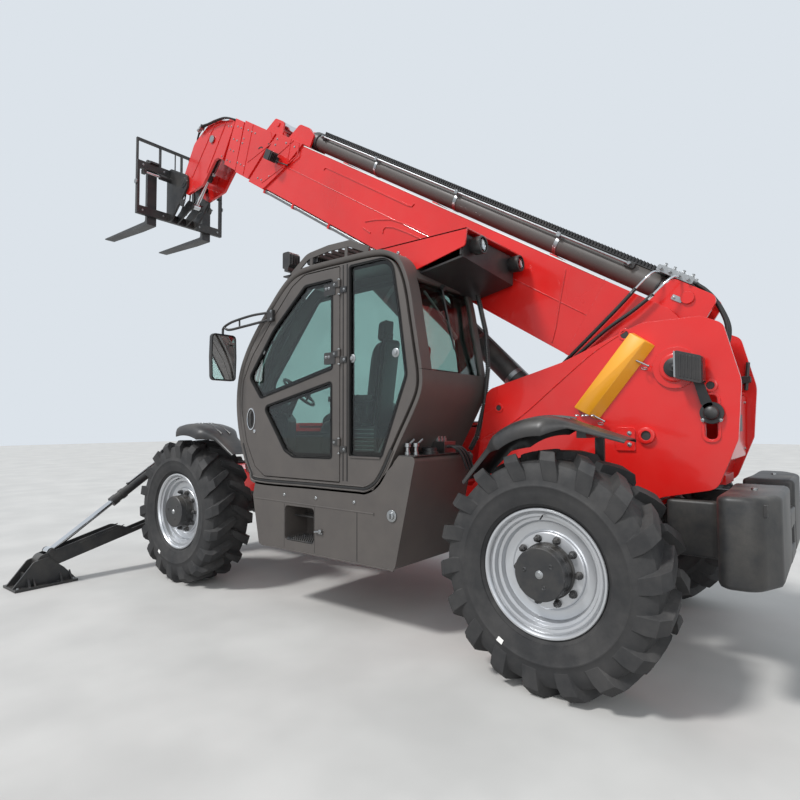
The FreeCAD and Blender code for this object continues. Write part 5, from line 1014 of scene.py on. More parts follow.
def cushion(piece, place, width, depth, crown, seams, pull=0.05):
    """Padded form on a flat back: width along u, depth along v, crowned up along w, channels across at the seams."""
    count_u, count_v = 30, 36
    grid = []
    for j in range(count_v + 1):
        v = -1.0 + 2.0 * j / count_v
        row = []
        for i in range(count_u + 1):
            u = -1.0 + 2.0 * i / count_u
            x = u * width / 2.0 * (1.0 - pull * (1.0 - v * v) * abs(u)) * (1.0 - 0.1 * max(abs(v) - 0.8, 0.0) * 5.0)
            y = v * depth / 2.0 * (1.0 - pull * (1.0 - u * u) * abs(v)) * (1.0 - 0.06 * max(abs(u) - 0.8, 0.0) * 5.0)
            dome = ((1.0 - abs(u) ** 5) * (1.0 - abs(v) ** 6)) ** 0.45
            bolster = 0.22 * math.exp(-((abs(u) - 0.72) / 0.13) ** 2) * (1.0 - abs(v) ** 6)
            groove = sum(math.exp(-((v - seam) * depth / 2.0 / 7.0) ** 2) for seam in seams) * (abs(u) < 0.56)
            groove += math.exp(-((abs(u) - 0.57) * width / 2.0 / 6.0) ** 2) * (abs(v) < 0.9)
            row.append((x, y, crown * max(dome * (0.8 + bolster) - 0.13 * min(groove, 1.0), 0.0) + 4.0))
        grid.append(row)
    top = [place @ Vector(p) for row in grid for p in row]
    under = [place @ Vector((p[0] * 0.97, p[1] * 0.97, 0.0)) for row in grid for p in row]
    faces = []
    across = count_u + 1
    total = len(top)
    for j in range(count_v):
        for i in range(count_u):
            a, b, c, d = j * across + i, j * across + i + 1, (j + 1) * across + i + 1, (j + 1) * across + i
            faces.append([a, b, c, d])
            faces.append([total + d, total + c, total + b, total + a])
    edge = [i for i in range(across)] + [j * across + count_u for j in range(1, count_v + 1)]
    edge += [count_v * across + i for i in range(count_u - 1, -1, -1)] + [j * across for j in range(count_v - 1, 0, -1)]
    for k, here in enumerate(edge):
        there = edge[(k + 1) % len(edge)]
        faces.append([there, here, total + here, total + there])
    piece.put(top + under, faces)
    piping = [top[k] for k in edge[::2]]
    rings = []
    for k, here in enumerate(piping):
        way = (piping[(k + 1) % len(piping)] - piping[k - 1]).normalized()
        up = (place.to_3x3() @ Vector((0, 0, 1))).normalized()
        side = way.cross(up).normalized()
        rings.append([here + (side * math.cos(a) + up * math.sin(a)) * 4.5 for a in
                      [math.tau * m / 8 for m in range(8)]])
    piece.rings(rings, 1, closed=True)


def frame_at(x, station, z, lean):
    """Place of a cushion whose v runs up its back, turned by lean degrees from lying flat."""
    return Matrix.Translation((x, station, z)) @ Matrix.Rotation(math.radians(lean), 4, "X")


for part_name, place, width, depth, crown, seams in (
        ("seat_cushion", frame_at(CAB_MIDDLE, 1850.0, 1318.0, -2.0), 480.0, 460.0, 100.0, (-0.4, 0.0, 0.4)),
        ("seat_backrest", frame_at(CAB_MIDDLE, 2170.0, 1665.0, 82.0), 440.0, 580.0, 88.0, (-0.6, -0.3, 0.0, 0.3)),
        ("seat_headrest", frame_at(CAB_MIDDLE, 2222.0, 2020.0, 84.0), 250.0, 150.0, 70.0, ())):
    pad = Piece()
    cushion(pad, place, width, depth, crown, seams)
    made = pad.done(part_name, "root", "vinyl_cushion", "seal_rubber", smooth=75.0,
                    replaces=["seat"] if part_name == "seat_cushion" else ())

pedestal = Piece()
pedestal.block((CAB_MIDDLE - 170.0, 1720.0, CAB_FLOOR), (CAB_MIDDLE + 170.0, 2060.0, CAB_FLOOR + 60.0))
fold = []
for i in range(7):
    z = CAB_FLOOR + 60.0 + i * 30.0
    for half, rise in ((158.0, 0.0), (142.0, 15.0)):
        fold.append([(CAB_MIDDLE + u * half, 1890.0 + v * half, z + rise) for u, v in
                     ((-1, -0.9), (-0.9, -1), (0.9, -1), (1, -0.9), (1, 0.9), (0.9, 1), (-0.9, 1), (-1, 0.9))])
pedestal.rings(fold)
pedestal.block((CAB_MIDDLE - 200.0, 1660.0, 1275.0), (CAB_MIDDLE + 200.0, 2080.0, 1318.0))
pedestal.prism([(2176.0, 1370.0, 20.0), (2262.0, 1960.0, 30.0), (2226.0, 1970.0, 20.0), (2140.0, 1370.0, 20.0)], "X",
               CAB_MIDDLE - 200.0, CAB_MIDDLE + 200.0)
for side in (-1.0, 1.0):
    pedestal.rod((CAB_MIDDLE + side * 60.0, 2225.0, 1930.0), (CAB_MIDDLE + side * 60.0, 2236.0, 2010.0), 7.0, 10)
    pedestal.prism([(1840.0, 1530.0, 26.0), (2160.0, 1545.0, 20.0), (2160.0, 1590.0, 20.0), (1840.0, 1586.0, 26.0)],
                   "X", CAB_MIDDLE + side * 262.0 - 28.0, CAB_MIDDLE + side * 262.0 + 28.0)
pedestal.done("seat_pedestal", "root", "black_plastic_and_painted_shade", bevel=5.0)


# Boom: painted highlight strips along its top edges, welds, wear-pad bolts and lamp

trim = Piece(BOOM)
marks = Piece(BOOM)
for side in (1.0, -1.0):
    trim.rod((side * 181.0, 330.0, 42.0), (side * 181.0, 4330.0, 42.0), 4.0, 8)
    low, high = sorted((side * 179.0, side * 187.0))
    trim.ribbon([(3735.0, 168.0), (3722.0, 192.0), (3700.0, 198.0), (2560.0, 198.0), (2520.0, 204.0), (2508.0, 232.0)],
                [(low, -6.0), (low, 6.0), (high, 6.0), (high, -6.0)])
    weld = [(low, -5.0), (low, 5.0), (high, 5.0), (high, -5.0)]
    for bent in ([(2960.0, -82.0), (2845.0, -26.0), (2680.0, 34.0), (2474.0, 57.0), (2238.0, 56.0), (1900.0, 20.0),
                  (1640.0, -70.0), (1520.0, -230.0)],
                 [(2704.0, -102.0), (2722.0, -72.0), (2702.0, -42.0), (2621.0, -16.0), (2464.0, -3.0), (2308.0, 2.0),
                  (2100.0, -30.0), (1960.0, -100.0)],
                 [(2954.0, -136.0), (2844.0, -147.0)],
                 [(1000.0, 250.0), (930.0, 60.0), (860.0, -120.0), (830.0, -225.0)]):
        trim.ribbon([tuple(p) for p in rounded([(u, v, 30.0) for u, v in bent], 3, closed=False)], weld)
    for face, runs in ((198.0, ([(4570.0, -215.0), (4302.0, 45.0), (4244.0, 90.0), (4160.0, 183.0), (4203.0, 300.0)],
                                [(4510.0, 67.0), (4300.0, 300.0)], [(4345.0, 300.0), (4279.0, 90.0)])),
                       (182.0, ([(4955.0, -96.0), (4640.0, 205.0), (4740.0, 285.0)],
                                [(5080.0, 280.0), (4960.0, -240.0)]))):
        low, high = sorted((side * (face - 2.0), side * (face + 5.0)))
        for seam in runs:
            trim.ribbon(seam, [(low, -7.0), (low, 7.0), (high, 5.0), (high, -5.0)])
    for s in (4250.0, 4400.0, 4560.0):
        marks.bolt((side * 198.0, s, 250.0), (side, 0, 0), 13.0)
    for s, n in ((4590.0, -190.0), (4660.0, -190.0), (4480.0, -120.0), (4620.0, 110.0), (4560.0, 190.0)):
        marks.bolt((side * 198.0, s, n), (side, 0, 0), 13.0)
    trim.turn([(0.0, 62.0), (7.0, 60.0), (7.0, 44.0), (0.0, 42.0)], (side * 142.0, 2200.0, -340.0), (side, 0, 0), 32)
    marks.turn([(0.0, 40.0), (8.0, 38.0), (8.0, 0.5)], (side * 136.0, 2200.0, -340.0), (side, 0, 0), 28, closed=False)
    marks.bolt((side * 140.0, 2200.0, -282.0), (side, 0, 0), 12.0)
    trim.turn([(0.0, 40.0), (12.0, 38.0), (12.0, 0.5)], (side * 120.0, 215.0, 395.0), (side, 0, 0), 28, closed=False)
    marks.prism([(232.0, 350.0, 6.0), (300.0, 350.0, 6.0), (300.0, 382.0, 6.0), (232.0, 382.0, 6.0)], "X",
                *sorted((side * 115.0, side * 123.0)))
    marks.bolt((side * 123.0, 285.0, 366.0), (side, 0, 0), 12.0)
for s in (1150.0, 2350.0, 3550.0):
    trim.block((-95.0, s, 288.0), (95.0, s + 60.0, 312.0))
trim.done("boom_welded_trim", "boom_1", "red_enamel", smooth=40.0)
marks.done("boom_bolts", "boom_1", "zinc_plated_steel", smooth=30.0)

# Near-white strips along both top edges of the boom: a painted highlight, where the rounded top edge reflects the sky.
top_edge_highlight = Piece(BOOM)
for side in (1.0, -1.0):
    low, high = sorted((side * 168.0, side * 184.0))
    top_edge_highlight.ribbon([(720.0, 290.0), (4140.0, 290.0)], [(low, 0.0), (low, 9.0), (high, 5.0), (high, 0.0)])
top_edge_highlight.done("boom_top_painted_highlight", "boom_1", "white_mark_and_painted_highlight")

conduit = Piece(BOOM)
for x, wide in ((150.0, 17.0), (106.0, 14.0)):
    profile = []
    for i in range(116):
        along = i * 15.4
        profile += [(along, wide + 5.0), (along + 8.0, wide + 5.0), (along + 9.5, wide), (along + 14.0, wide)]
    conduit.turn(profile, (x, 2755.0, -274.0), (0, 1, 0), 12, closed=False, mark=0 if x == 150.0 else 1)
for s in (2780.0, 3380.0, 3980.0, 4500.0):
    conduit.block((88.0, s, -300.0), (176.0, s + 24.0, -250.0), mark=2)
conduit.done("boom_conduits", "boom_1", "zinc_plated_steel", "black_plastic_and_painted_shade", "red_enamel", smooth=20.0)

lamp_tip = Piece(BOOM)
lamp_tip.prism([(4410.0, 22.0, 14.0), (4498.0, 22.0, 14.0), (4498.0, 122.0, 14.0), (4410.0, 122.0, 14.0)], "X", 236.0,
               330.0)
for i in range(5):
    lamp_tip.block((250.0 + i * 17.0, 4392.0, 34.0), (255.0 + i * 17.0, 4412.0, 110.0))
lamp_tip.prism([(4496.0, 32.0, 8.0), (4504.0, 32.0, 8.0), (4504.0, 112.0, 8.0), (4496.0, 112.0, 8.0)], "X", 246.0, 320.0,
               mark=1)
lamp_tip.block((196.0, 4425.0, 55.0), (240.0, 4475.0, 63.0))
lamp_tip.block((196.0, 4425.0, 30.0), (204.0, 4475.0, 90.0))
lamp_tip.hose([(250.0, 4400.0, 60.0), (225.0, 4370.0, 50.0), (205.0, 4330.0, 55.0), (200.0, 4250.0, 60.0)], 6.0)
lamp_tip.done("boom_work_lamp", "boom_1", "black_plastic_and_painted_shade", "clear_lens", bevel=1.5)

# Extension cylinder: end rings, port blocks and the ribbed cable carrier on its back
carrier = Piece(BOOM)
carrier.block((-34.0, 430.0, 470.0), (34.0, 4110.0, 476.0))
for i in range(148):
    s = 440.0 + i * 24.7
    carrier.rings([[(-30.0, s, 476.0), (30.0, s, 476.0), (32.0, s, 505.0), (-32.0, s, 505.0)],
                   [(-30.0, s + 17.0, 476.0), (30.0, s + 17.0, 476.0), (32.0, s + 14.0, 509.0),
                    (-32.0, s + 14.0, 509.0)]])
carrier.done("cable_carrier", "boom_1", "black_plastic_and_painted_shade", smooth=25.0)

ends = Piece(BOOM)
ends.turn([(0.0, 78.0), (0.0, 86.0), (10.0, 90.0), (70.0, 90.0), (74.0, 84.0), (92.0, 84.0), (96.0, 78.0), (102.0, 62.0),
           (102.0, 42.0), (60.0, 42.0)], (0.0, 4118.0, 395.0), (0, 1, 0), 48)
ends.turn([(0.0, 78.5), (3.0, 83.0), (13.0, 83.0), (16.0, 78.5)], (0.0, 420.0, 395.0), (0, 1, 0), 48)
for i in range(8):
    angle = math.tau * i / 8.0
    ends.bolt((math.sin(angle) * 55.0, 4219.0, 395.0 + math.cos(angle) * 55.0), (0, 1, 0), 12.0, mark=1)
for s in (620.0, 3980.0):
    ends.block((58.0, s, 430.0), (92.0, s + 70.0, 470.0))
    ends.turn([(0.0, 14.0), (22.0, 14.0), (26.0, 11.0)], (92.0, s + 35.0, 450.0), (1, 0, 0), 6, mark=1, closed=False)
ends.rod((96.0, 655.0, 450.0), (96.0, 4010.0, 450.0), 8.0, 10, mark=1)
for s in (1200.0, 2200.0, 3200.0):
    ends.turn([(0.0, 78.0), (0.0, 81.0), (30.0, 81.0), (30.0, 78.0)], (0.0, s, 395.0), (0, 1, 0), 40, mark=1)
    ends.block((70.0, s, 436.0), (108.0, s + 30.0, 464.0), mark=1)
ends.done("extension_cylinder_fittings", "boom_1", "black_chassis_paint", "zinc_plated_steel", smooth=35.0)

# Valve block on the cylinder's rear end, its steel pipes and the two pairs of hoses that run down beside the boom
valve_block = Piece(BOOM)
valve_block.prism([(236.0, 474.0, 8.0), (476.0, 474.0, 8.0), (476.0, 516.0, 8.0), (236.0, 516.0, 8.0)], "X", -55.0, 120.0)
for i in range(4):
    s = 262.0 + i * 60.0
    valve_block.turn([(0.0, 14.0), (10.0, 14.0), (12.0, 9.0), (20.0, 9.0), (22.0, 12.0), (26.0, 0.5)],
                     (90.0, s, 514.0), (0, 0, 1), 6, closed=False)
    valve_block.turn([(0.0, 12.0), (16.0, 12.0), (18.0, 8.0)], (-20.0, s, 514.0), (0, 0, 1), 6, closed=False)
    valve_block.rod((118.0, s + 6.0, 494.0), (150.0, s + 6.0, 494.0), 11.0, 6)
valve_block.done("cylinder_valve_block", "boom_1", "zinc_plated_steel", bevel=1.0, smooth=30.0)

PIPE_BENDS = [[(150.0, 3771.0, 2338.0), (205.0, 3752.0, 2330.0), (232.0, 3716.0, 2294.0), (238.0, 3650.0, 2230.0)],
              [(150.0, 3879.0, 2292.0), (205.0, 3862.0, 2280.0), (232.0, 3822.0, 2243.0), (238.0, 3752.0, 2178.0)]]
HOSE_RUNS = [[(238.0, 3656.0, 2236.0), (243.0, 3560.0, 2140.0), (246.0, 3420.0, 2010.0), (240.0, 3240.0, 1850.0),
              (200.0, 3150.0, 1786.0), (120.0, 3090.0, 1772.0)],
             [(238.0, 3758.0, 2184.0), (246.0, 3640.0, 2096.0), (250.0, 3470.0, 1990.0), (244.0, 3270.0, 1835.0),
              (204.0, 3170.0, 1768.0), (120.0, 3110.0, 1750.0)]]
pipes = Piece()
runs = Piece()
for bends, hose_run in zip(PIPE_BENDS, HOSE_RUNS):
    pipes.hose(bends, 7.0, 12)
    way = Vector(bends[-1]) - Vector(bends[-2])
    pipes.turn([(0.0, 12.0), (34.0, 12.0)], bends[-1], way, 6, closed=False)
    pipes.turn([(0.0, 10.0), (20.0, 10.0)], Vector(bends[1]).lerp(Vector(bends[2]), 0.5), way, 6, closed=False)
    runs.hose(hose_run, 12.0, 12)
for x, radius in ((60.0, 12.0), (-30.0, 14.0)):
    runs.hose([on_boom(x, 232.0, 494.0), on_boom(x, 150.0, 478.0), on_boom(x, 40.0, 420.0), on_boom(x, -60.0, 330.0),
               on_boom(x, -100.0, 200.0), on_boom(x, -60.0, 60.0)], radius, 12)
pipes.done("cylinder_steel_pipes", "boom_1", "hard_chrome", smooth=50.0)
runs.done("cylinder_hoses", "boom_1", "hose_rubber", smooth=60.0)

# Sections 2 to 4: pad bolts, the head's pins, hoses over the goose-neck
for body, face, bolts, extra in (
        ("boom_2", 182.0, [(s, n) for s in (4990.0, 5060.0, 5130.0) for n in (210.0, -150.0)] + [(5160.0, 60.0),
                                                                                              (5160.0, 110.0)], ()),
        ("boom_3", 166.0, [(s, n) for s in (5300.0, 5370.0) for n in (200.0, 60.0, -60.0, -180.0)], ()),
        ("boom_4", 157.0, [(5510.0, -170.0), (5510.0, 170.0), (5560.0, 160.0)], ())):
    heads = Piece(BOOM)
    for side in (1.0, -1.0):
        for s, n in bolts:
            heads.bolt((side * face, s, n), (side, 0, 0), 12.0)
        if body == "boom_4":
            for s, n, radius in ((5800.0, -50.0, 44.0), (6080.0, -660.0, 56.0)):
                out = 197.0 if radius > 50.0 else 165.0
                if radius > 50.0:
                    continue
                heads.turn([(0.0, radius), (10.0, radius - 2.0), (12.0, radius * 0.5), (12.0, 0.5)],
                           (side * out, s, n), (side, 0, 0), 28, closed=False)
    heads.done("pad_bolts_" + body, body, "zinc_plated_steel", smooth=30.0)

scoops = Piece(BOOM)
for side in (1.0, -1.0):
    for middle, tilt in ((4700.0, 0.5), (4790.0, -0.4)):
        arc = [(middle + 60.0 * math.cos(a), 170.0 - (60.0 if tilt > 0 else 120.0) + 60.0 * math.sin(a)) for a in
               [tilt + 0.9 + i * 0.16 for i in range(9)]]
        low, high = sorted((side * 181.0, side * 184.0))
        scoops.ribbon(arc, [(low, -7.0), (low, 7.0), (high, 7.0), (high, -7.0)])
scoops.done("collar_slots", "boom_2", "seal_rubber")

neck = Piece(BOOM)
for side in (1.0, -1.0):
    neck.ribbon([(5485.0, -198.0), (5570.0, -198.0), (5625.0, -236.0), (5705.0, -556.0), (5955.0, -762.0),
                 (6105.0, -762.0)], [(side * 129.0, 4.0), (side * 160.0, 4.0), (side * 160.0, -5.0),
                                     (side * 129.0, -5.0)])
    neck.rod((side * 158.0, 5640.0, 196.0), (side * 158.0, 5700.0, -420.0), 6.0, 8)
    neck.rod((side * 158.0, 5840.0, 160.0), (side * 158.0, 5980.0, -560.0), 6.0, 8)
neck.block((-131.0, 5900.0, -540.0), (131.0, 5912.0, -430.0))
neck.done("head_edging", "boom_4", "red_enamel", bevel=1.0, smooth=40.0)

head_hoses = Piece(BOOM)
HEAD_HOSE_PLACES = (60.0, 100.0, 174.0, 200.0)
for i, x in enumerate(HEAD_HOSE_PLACES):
    head_hoses.hose([(x * 0.7, 5480.0, 258.0), (x, 5600.0, 250.0 - i * 6.0), (x, 5760.0, 196.0 - i * 8.0),
                     (x, 5920.0, 118.0 - i * 10.0), (x, 6040.0, 24.0), (min(x, 150.0), 6140.0, -90.0),
                     (min(x, 105.0), 6182.0, -210.0), (min(x, 90.0) - 8.0 * i, 6150.0, -360.0 - 20.0 * i),
                     (x * 0.3, 6050.0, -500.0)], 10.0, 12)
head_hoses.done("head_hoses", "boom_4", "hose_rubber", smooth=60.0)
couplers = Piece(BOOM)
for x in HEAD_HOSE_PLACES:
    couplers.turn([(0.0, 14.0), (26.0, 14.0), (28.0, 10.0), (40.0, 10.0), (42.0, 15.0), (70.0, 15.0), (74.0, 11.0),
                   (74.0, 0.5)], (x, 6055.0, 20.0), (0, 0.55, -0.83), 12, closed=False)
couplers.prism([(6040.0, -8.0, 4.0), (6052.0, -8.0, 4.0), (6052.0, 52.0, 4.0), (6040.0, 52.0, 4.0)], "X", 46.0, 128.0)
couplers.prism([(6040.0, -8.0, 4.0), (6052.0, -8.0, 4.0), (6052.0, 52.0, 4.0), (6040.0, 52.0, 4.0)], "X", 158.0, 214.0)
couplers.done("head_couplers", "boom_4", "zinc_plated_steel", smooth=30.0)

# Tilt cylinder: gland, ports and pipe, on its barrel
tilt_line = (Vector((0.0, 5970.0, -880.0)) - Vector((0.0, 5800.0, -50.0))).normalized()
tilt_at = Vector((0.0, 5800.0, -50.0))
tilt = Piece(BOOM)
tilt.turn([(0.0, 43.0), (0.0, 50.0), (40.0, 50.0), (44.0, 44.0), (50.0, 30.0), (50.0, 26.0), (10.0, 26.0)],
          tilt_at + tilt_line * 432.0, tilt_line, 32)
for along in (80.0, 380.0):
    spot_at = tilt_at + tilt_line * along
    tilt.block((-20.0, spot_at.y - 66.0, spot_at.z - 18.0), (20.0, spot_at.y - 36.0, spot_at.z + 18.0), mark=1)
tilt.rod((0.0, tilt_at.y - 44.0, tilt_at.z - 80.0), (0.0, tilt_at.y + tilt_line.y * 380.0 - 60.0,
                                                     tilt_at.z + tilt_line.z * 380.0), 8.0, 10, mark=1)
tilt.done("tilt_cylinder_fittings", "tilt_barrel", "black_chassis_paint", "zinc_plated_steel", smooth=30.0)


# Frame: pivot caps, bosses, tail lamp and lock, on both side plates

def side_plate_details(side):
    def at(x, station, z):
        return (side * x, station, z)
    paint = Piece()
    dark = Piece()
    axis = (side, 0, 0)
    paint.turn([(0.0, 84.0), (12.0, 82.0), (14.0, 79.0), (14.0, 60.0), (0.0, 58.0)], at(382.0, 3900.0, 1710.0), axis, 48)
    dark.turn([(0.0, 59.0), (20.0, 57.0), (24.0, 50.0), (24.0, 0.5)], at(382.0, 3900.0, 1710.0), axis, 36, closed=False)
    dark.rod(at(400.0, 3900.0, 1710.0), at(440.0, 3900.0, 1710.0), 26.0, 20)
    dark.rod(at(430.0, 3900.0, 1710.0), at(440.0, 3950.0, 1706.0), 18.0, 12)
    paint.turn([(-4.0, 50.0), (24.0, 48.0), (26.0, 44.0), (26.0, 28.0), (-4.0, 28.0)], at(370.0, 3737.0, 1317.0), axis,
               36)
    dark.turn([(0.0, 29.0), (16.0, 28.0), (17.0, 0.5)], at(370.0, 3737.0, 1317.0), axis, 28, closed=False)
    paint.turn([(-4.0, 38.0), (10.0, 37.0), (12.0, 34.0), (12.0, 22.0), (-4.0, 22.0)], at(370.0, 4078.0, 1600.0), axis,
               32)
    dark.turn([(0.0, 23.0), (4.0, 22.0), (5.0, 0.5)], at(370.0, 4078.0, 1600.0), axis, 24, closed=False)
    for station, z, radius in ((3621.0, 1930.0, 24.0), (2760.0, 1500.0, 20.0), (3010.0, 1090.0, 24.0)):
        paint.turn([(-3.0, radius + 14.0), (6.0, radius + 13.0), (6.0, radius), (-3.0, radius)],
                   at(370.0, station, z), axis, 28)
        dark.turn([(0.0, radius), (2.0, radius - 1.0), (2.0, 0.5)], at(370.0, station, z), axis, 24, closed=False)
    paint.turn([(0.0, 80.0), (6.0, 78.0), (6.0, 50.0), (0.0, 50.0)], at(381.0, 3400.0, 1050.0), axis, 40)
    slot_out = [(4030.0, 1282.0, 42.0), (4126.0, 1282.0, 42.0), (4126.0, 1560.0, 42.0), (4030.0, 1560.0, 42.0)]
    slot_in = [(4044.0, 1296.0, 29.0), (4112.0, 1296.0, 29.0), (4112.0, 1548.0, 29.0), (4044.0, 1548.0, 29.0)]
    low, high = sorted((side * 368.0, side * 379.0))
    paint.loop(slot_out, slot_in, "X", low, high)
    paint.prism([(3560.0, 1225.0, 10.0), (3672.0, 1225.0, 10.0), (3672.0, 1366.0, 20.0), (3560.0, 1366.0, 20.0)], "X",
                *sorted((side * 368.0, side * 382.0)))
    for z in (1262.0, 1330.0):
        dark.bolt(at(382.0, 3640.0, z), axis, 16.0, mark=1)
    # Weld bead along the fold from the low beam up to the carrier.
    paint.hose([at(371.0, 2600.0, 1270.0), at(371.0, 2900.0, 1420.0), at(371.0, 3180.0, 1640.0),
                at(371.0, 3420.0, 1830.0), at(371.0, 3640.0, 1960.0)], 4.0, 6)
    paint.done("frame_bosses_" + ("left" if side > 0 else "right"), "root", "red_enamel", bevel=1.0, smooth=40.0)
    arm = [(3990.0, 1640.0), (4040.0, 1640.0), (4066.0, 1560.0), (4092.0, 1492.0), (4060.0, 1448.0), (4030.0, 1500.0),
           (4012.0, 1570.0)]
    dark.prism(arm, "X", *sorted((side * 384.0, side * 396.0)))
    dark.turn([(0.0, 62.0), (12.0, 60.0), (12.0, 34.0), (26.0, 40.0), (44.0, 34.0), (52.0, 20.0), (54.0, 0.5)],
              at(384.0, 4084.0, 1446.0), axis, 32, closed=False)
    for station in (4040.0, 4126.0):
        dark.bolt(at(390.0, station, 1408.0), axis, 15.0, mark=1)
    dark.prism([(3926.0, 1640.0, 8.0), (4056.0, 1604.0, 8.0), (4056.0, 1758.0, 8.0), (3926.0, 1798.0, 8.0)], "X",
               *sorted((side * 412.0, side * 500.0)))
    dark.prism([(4052.0, 1614.0, 4.0), (4064.0, 1612.0, 4.0), (4064.0, 1748.0, 4.0), (4052.0, 1752.0, 4.0)], "X",
               *sorted((side * 420.0, side * 494.0)), mark=2)
    dark.prism([(3916.0, 1648.0, 4.0), (3930.0, 1644.0, 4.0), (3930.0, 1790.0, 4.0), (3916.0, 1794.0, 4.0)], "X",
               *sorted((side * 414.0, side * 498.0)), mark=1)
    for i in range(6):
        station = 3946.0 + i * 18.0
        dark.block(tuple(min(a, b) for a, b in zip(at(498.0, station, 1650.0 - i * 5.0),
                                                   at(504.0, station + 8.0, 1775.0 - i * 5.0))),
                   tuple(max(a, b) for a, b in zip(at(498.0, station, 1650.0 - i * 5.0),
                                                   at(504.0, station + 8.0, 1775.0 - i * 5.0))))
    dark.rod(at(392.0, 3990.0, 1690.0), at(420.0, 3990.0, 1690.0), 24.0, 18)
    dark.done("tail_lamp_" + ("left" if side > 0 else "right"), "root", "black_plastic_and_painted_shade", "zinc_plated_steel",
              "red_lens", bevel=1.5, smooth=40.0)


for plate_side in (1.0, -1.0):
    side_plate_details(plate_side)

lock = Piece()
foot_line = [(3672.0, 1938.0, 8.0), (3315.0, 1488.0, 8.0), (3453.0, 1411.0, 8.0), (3794.0, 1848.0, 8.0)]
face_line = [(3668.0, 1930.0, 8.0), (3320.0, 1491.0, 8.0), (3412.0, 1440.0, 8.0), (3756.0, 1874.0, 8.0)]
lock.rings([[(x, *p) for p in rounded(line, 4)] for x, line in
            ((370.5, foot_line), (374.0, foot_line), (427.0, face_line), (430.0, grown(face_line, -4.0)))])
lock.done("boom_lock_channel", "root", "yellow_enamel", smooth=40.0, replaces=["boom_lock"])
clips = Piece()
for station, z in ((3702.0, 1752.0), (3440.0, 1428.0)):
    clips.rod((404.0, station - 8.0, z + 12.0), (404.0, station + 62.0, z - 26.0), 5.0, 10)
    clips.turn([(3.0 * math.sin(a), 16.0 + 3.0 * math.cos(a)) for a in [math.tau * k / 8 for k in range(8)]],
               (412.0, station + 40.0, z - 40.0), (0.4, 0.3, 1.0), 20)
    clips.turn([(0.0, 9.0), (6.0, 9.0), (8.0, 6.0)], (412.0, station + 60.0, z - 25.0), (0, 0.87, -0.48), 12,
               closed=False)
clips.done("lock_pins", "root", "zinc_plated_steel")

tail = Piece()
tail.prism([(4128.0, 1180.0, 10.0), (4160.0, 1180.0, 10.0), (4168.0, 1560.0, 20.0), (4150.0, 1572.0, 10.0)], "X", -300.0,
           300.0)
tail.block((-150.0, 4060.0, 1030.0), (150.0, 4110.0, 1085.0))
for x in (-260.0, 260.0):
    tail.bolt((x, 4158.0, 1230.0), (0, 1, 0), 15.0, mark=1)
    tail.bolt((x, 4164.0, 1520.0), (0, 1, 0), 15.0, mark=1)
tail.done("rear_cover", "root", "red_enamel", "zinc_plated_steel", bevel=2.0)
latch_back = Piece()
latch_back.prism([(4148.0, 1640.0, 6.0), (4200.0, 1650.0, 8.0), (4200.0, 1690.0, 8.0), (4148.0, 1690.0, 6.0)], "X",
                 -344.0, -300.0)
latch_back.rod((-322.0, 4170.0, 1600.0), (-322.0, 4186.0, 1780.0), 12.0, 14)
latch_back.block((-60.0, 4168.0, 1340.0), (60.0, 4176.0, 1440.0))
latch_back.done("rear_latch", "root", "black_plastic_and_painted_shade", bevel=2.0)


# Counterweight: casting with rolled edges

def slab(piece, outline, low, high, roll=24.0, mark=0):
    """Casting between two heights whose top and bottom edges are rolled."""
    rings = []
    for z, inset in ((low, roll), (low + roll * 0.3, roll * 0.35), (low + roll, 0.0), (high - roll, 0.0),
                     (high - roll * 0.6, roll * 0.1), (high - roll * 0.25, roll * 0.4), (high, roll)):
        rings.append([(u, v, z) for u, v in rounded(grown(outline, -inset) if inset else outline, 6)])
    piece.rings(rings, mark)


ballast = Piece()
for side in (1.0, -1.0):
    lobe = [(side * 186.0, 4150.0, 20.0), (side * 500.0, 4168.0, 50.0), (side * 918.0, 4168.0, 60.0),
            (side * 905.0, 4340.0, 110.0), (side * 720.0, 4419.0, 110.0), (side * 186.0, 4419.0, 30.0)]
    slab(ballast, lobe, 620.0, 1050.0)
    flank = [(side * 300.0, 3832.0, 40.0), (side * 374.0, 3832.0, 40.0), (side * 374.0, 4082.0, 40.0),
             (side * 500.0, 4180.0, 30.0), (side * 300.0, 4190.0, 10.0)]
    slab(ballast, flank, 640.0, 955.0, 16.0)
    web = [(side * 96.0, 4160.0, 10.0), (side * 196.0, 4160.0, 10.0), (side * 196.0, 4416.0, 20.0),
           (side * 96.0, 4416.0, 20.0)]
    slab(ballast, web, 690.0, 810.0, 6.0)
core = [(-320.0, 3835.0, 30.0), (320.0, 3835.0, 30.0), (320.0, 4160.0, 10.0), (196.0, 4330.0, 10.0),
        (-196.0, 4330.0, 10.0), (-320.0, 4160.0, 10.0)]
slab(ballast, core, 640.0, 890.0, 14.0)
mouth = [(-196.0, 4160.0, 10.0), (196.0, 4160.0, 10.0), (196.0, 4418.0, 30.0), (-196.0, 4418.0, 30.0)]
slab(ballast, mouth, 622.0, 700.0, 12.0)
slab(ballast, mouth, 800.0, 898.0, 12.0)
ballast.done("rear_weight", "root", "black_cast_iron", smooth=40.0, replaces=["counterweight"])
pin = Piece()
pin.rod((0.0, 4378.0, 640.0), (0.0, 4378.0, 925.0), 16.0, 20)
pin.turn([(0.0, 24.0), (10.0, 24.0), (12.0, 18.0), (12.0, 0.5)], (0.0, 4378.0, 900.0), (0, 0, 1), 24, closed=False)
pin.hose([(-30.0, 4378.0, 915.0), (-34.0, 4378.0, 960.0), (0.0, 4378.0, 985.0), (34.0, 4378.0, 960.0),
          (30.0, 4378.0, 915.0)], 6.0)
for x in (-540.0, 540.0):
    pin.turn([(0.0, 15.0), (14.0, 15.0), (16.0, 0.5)], (x, 4290.0, 1046.0), (0, 0, 1), 6, closed=False)
pin.done("towing_pin", "root", "zinc_plated_steel")
rear_lights = Piece()
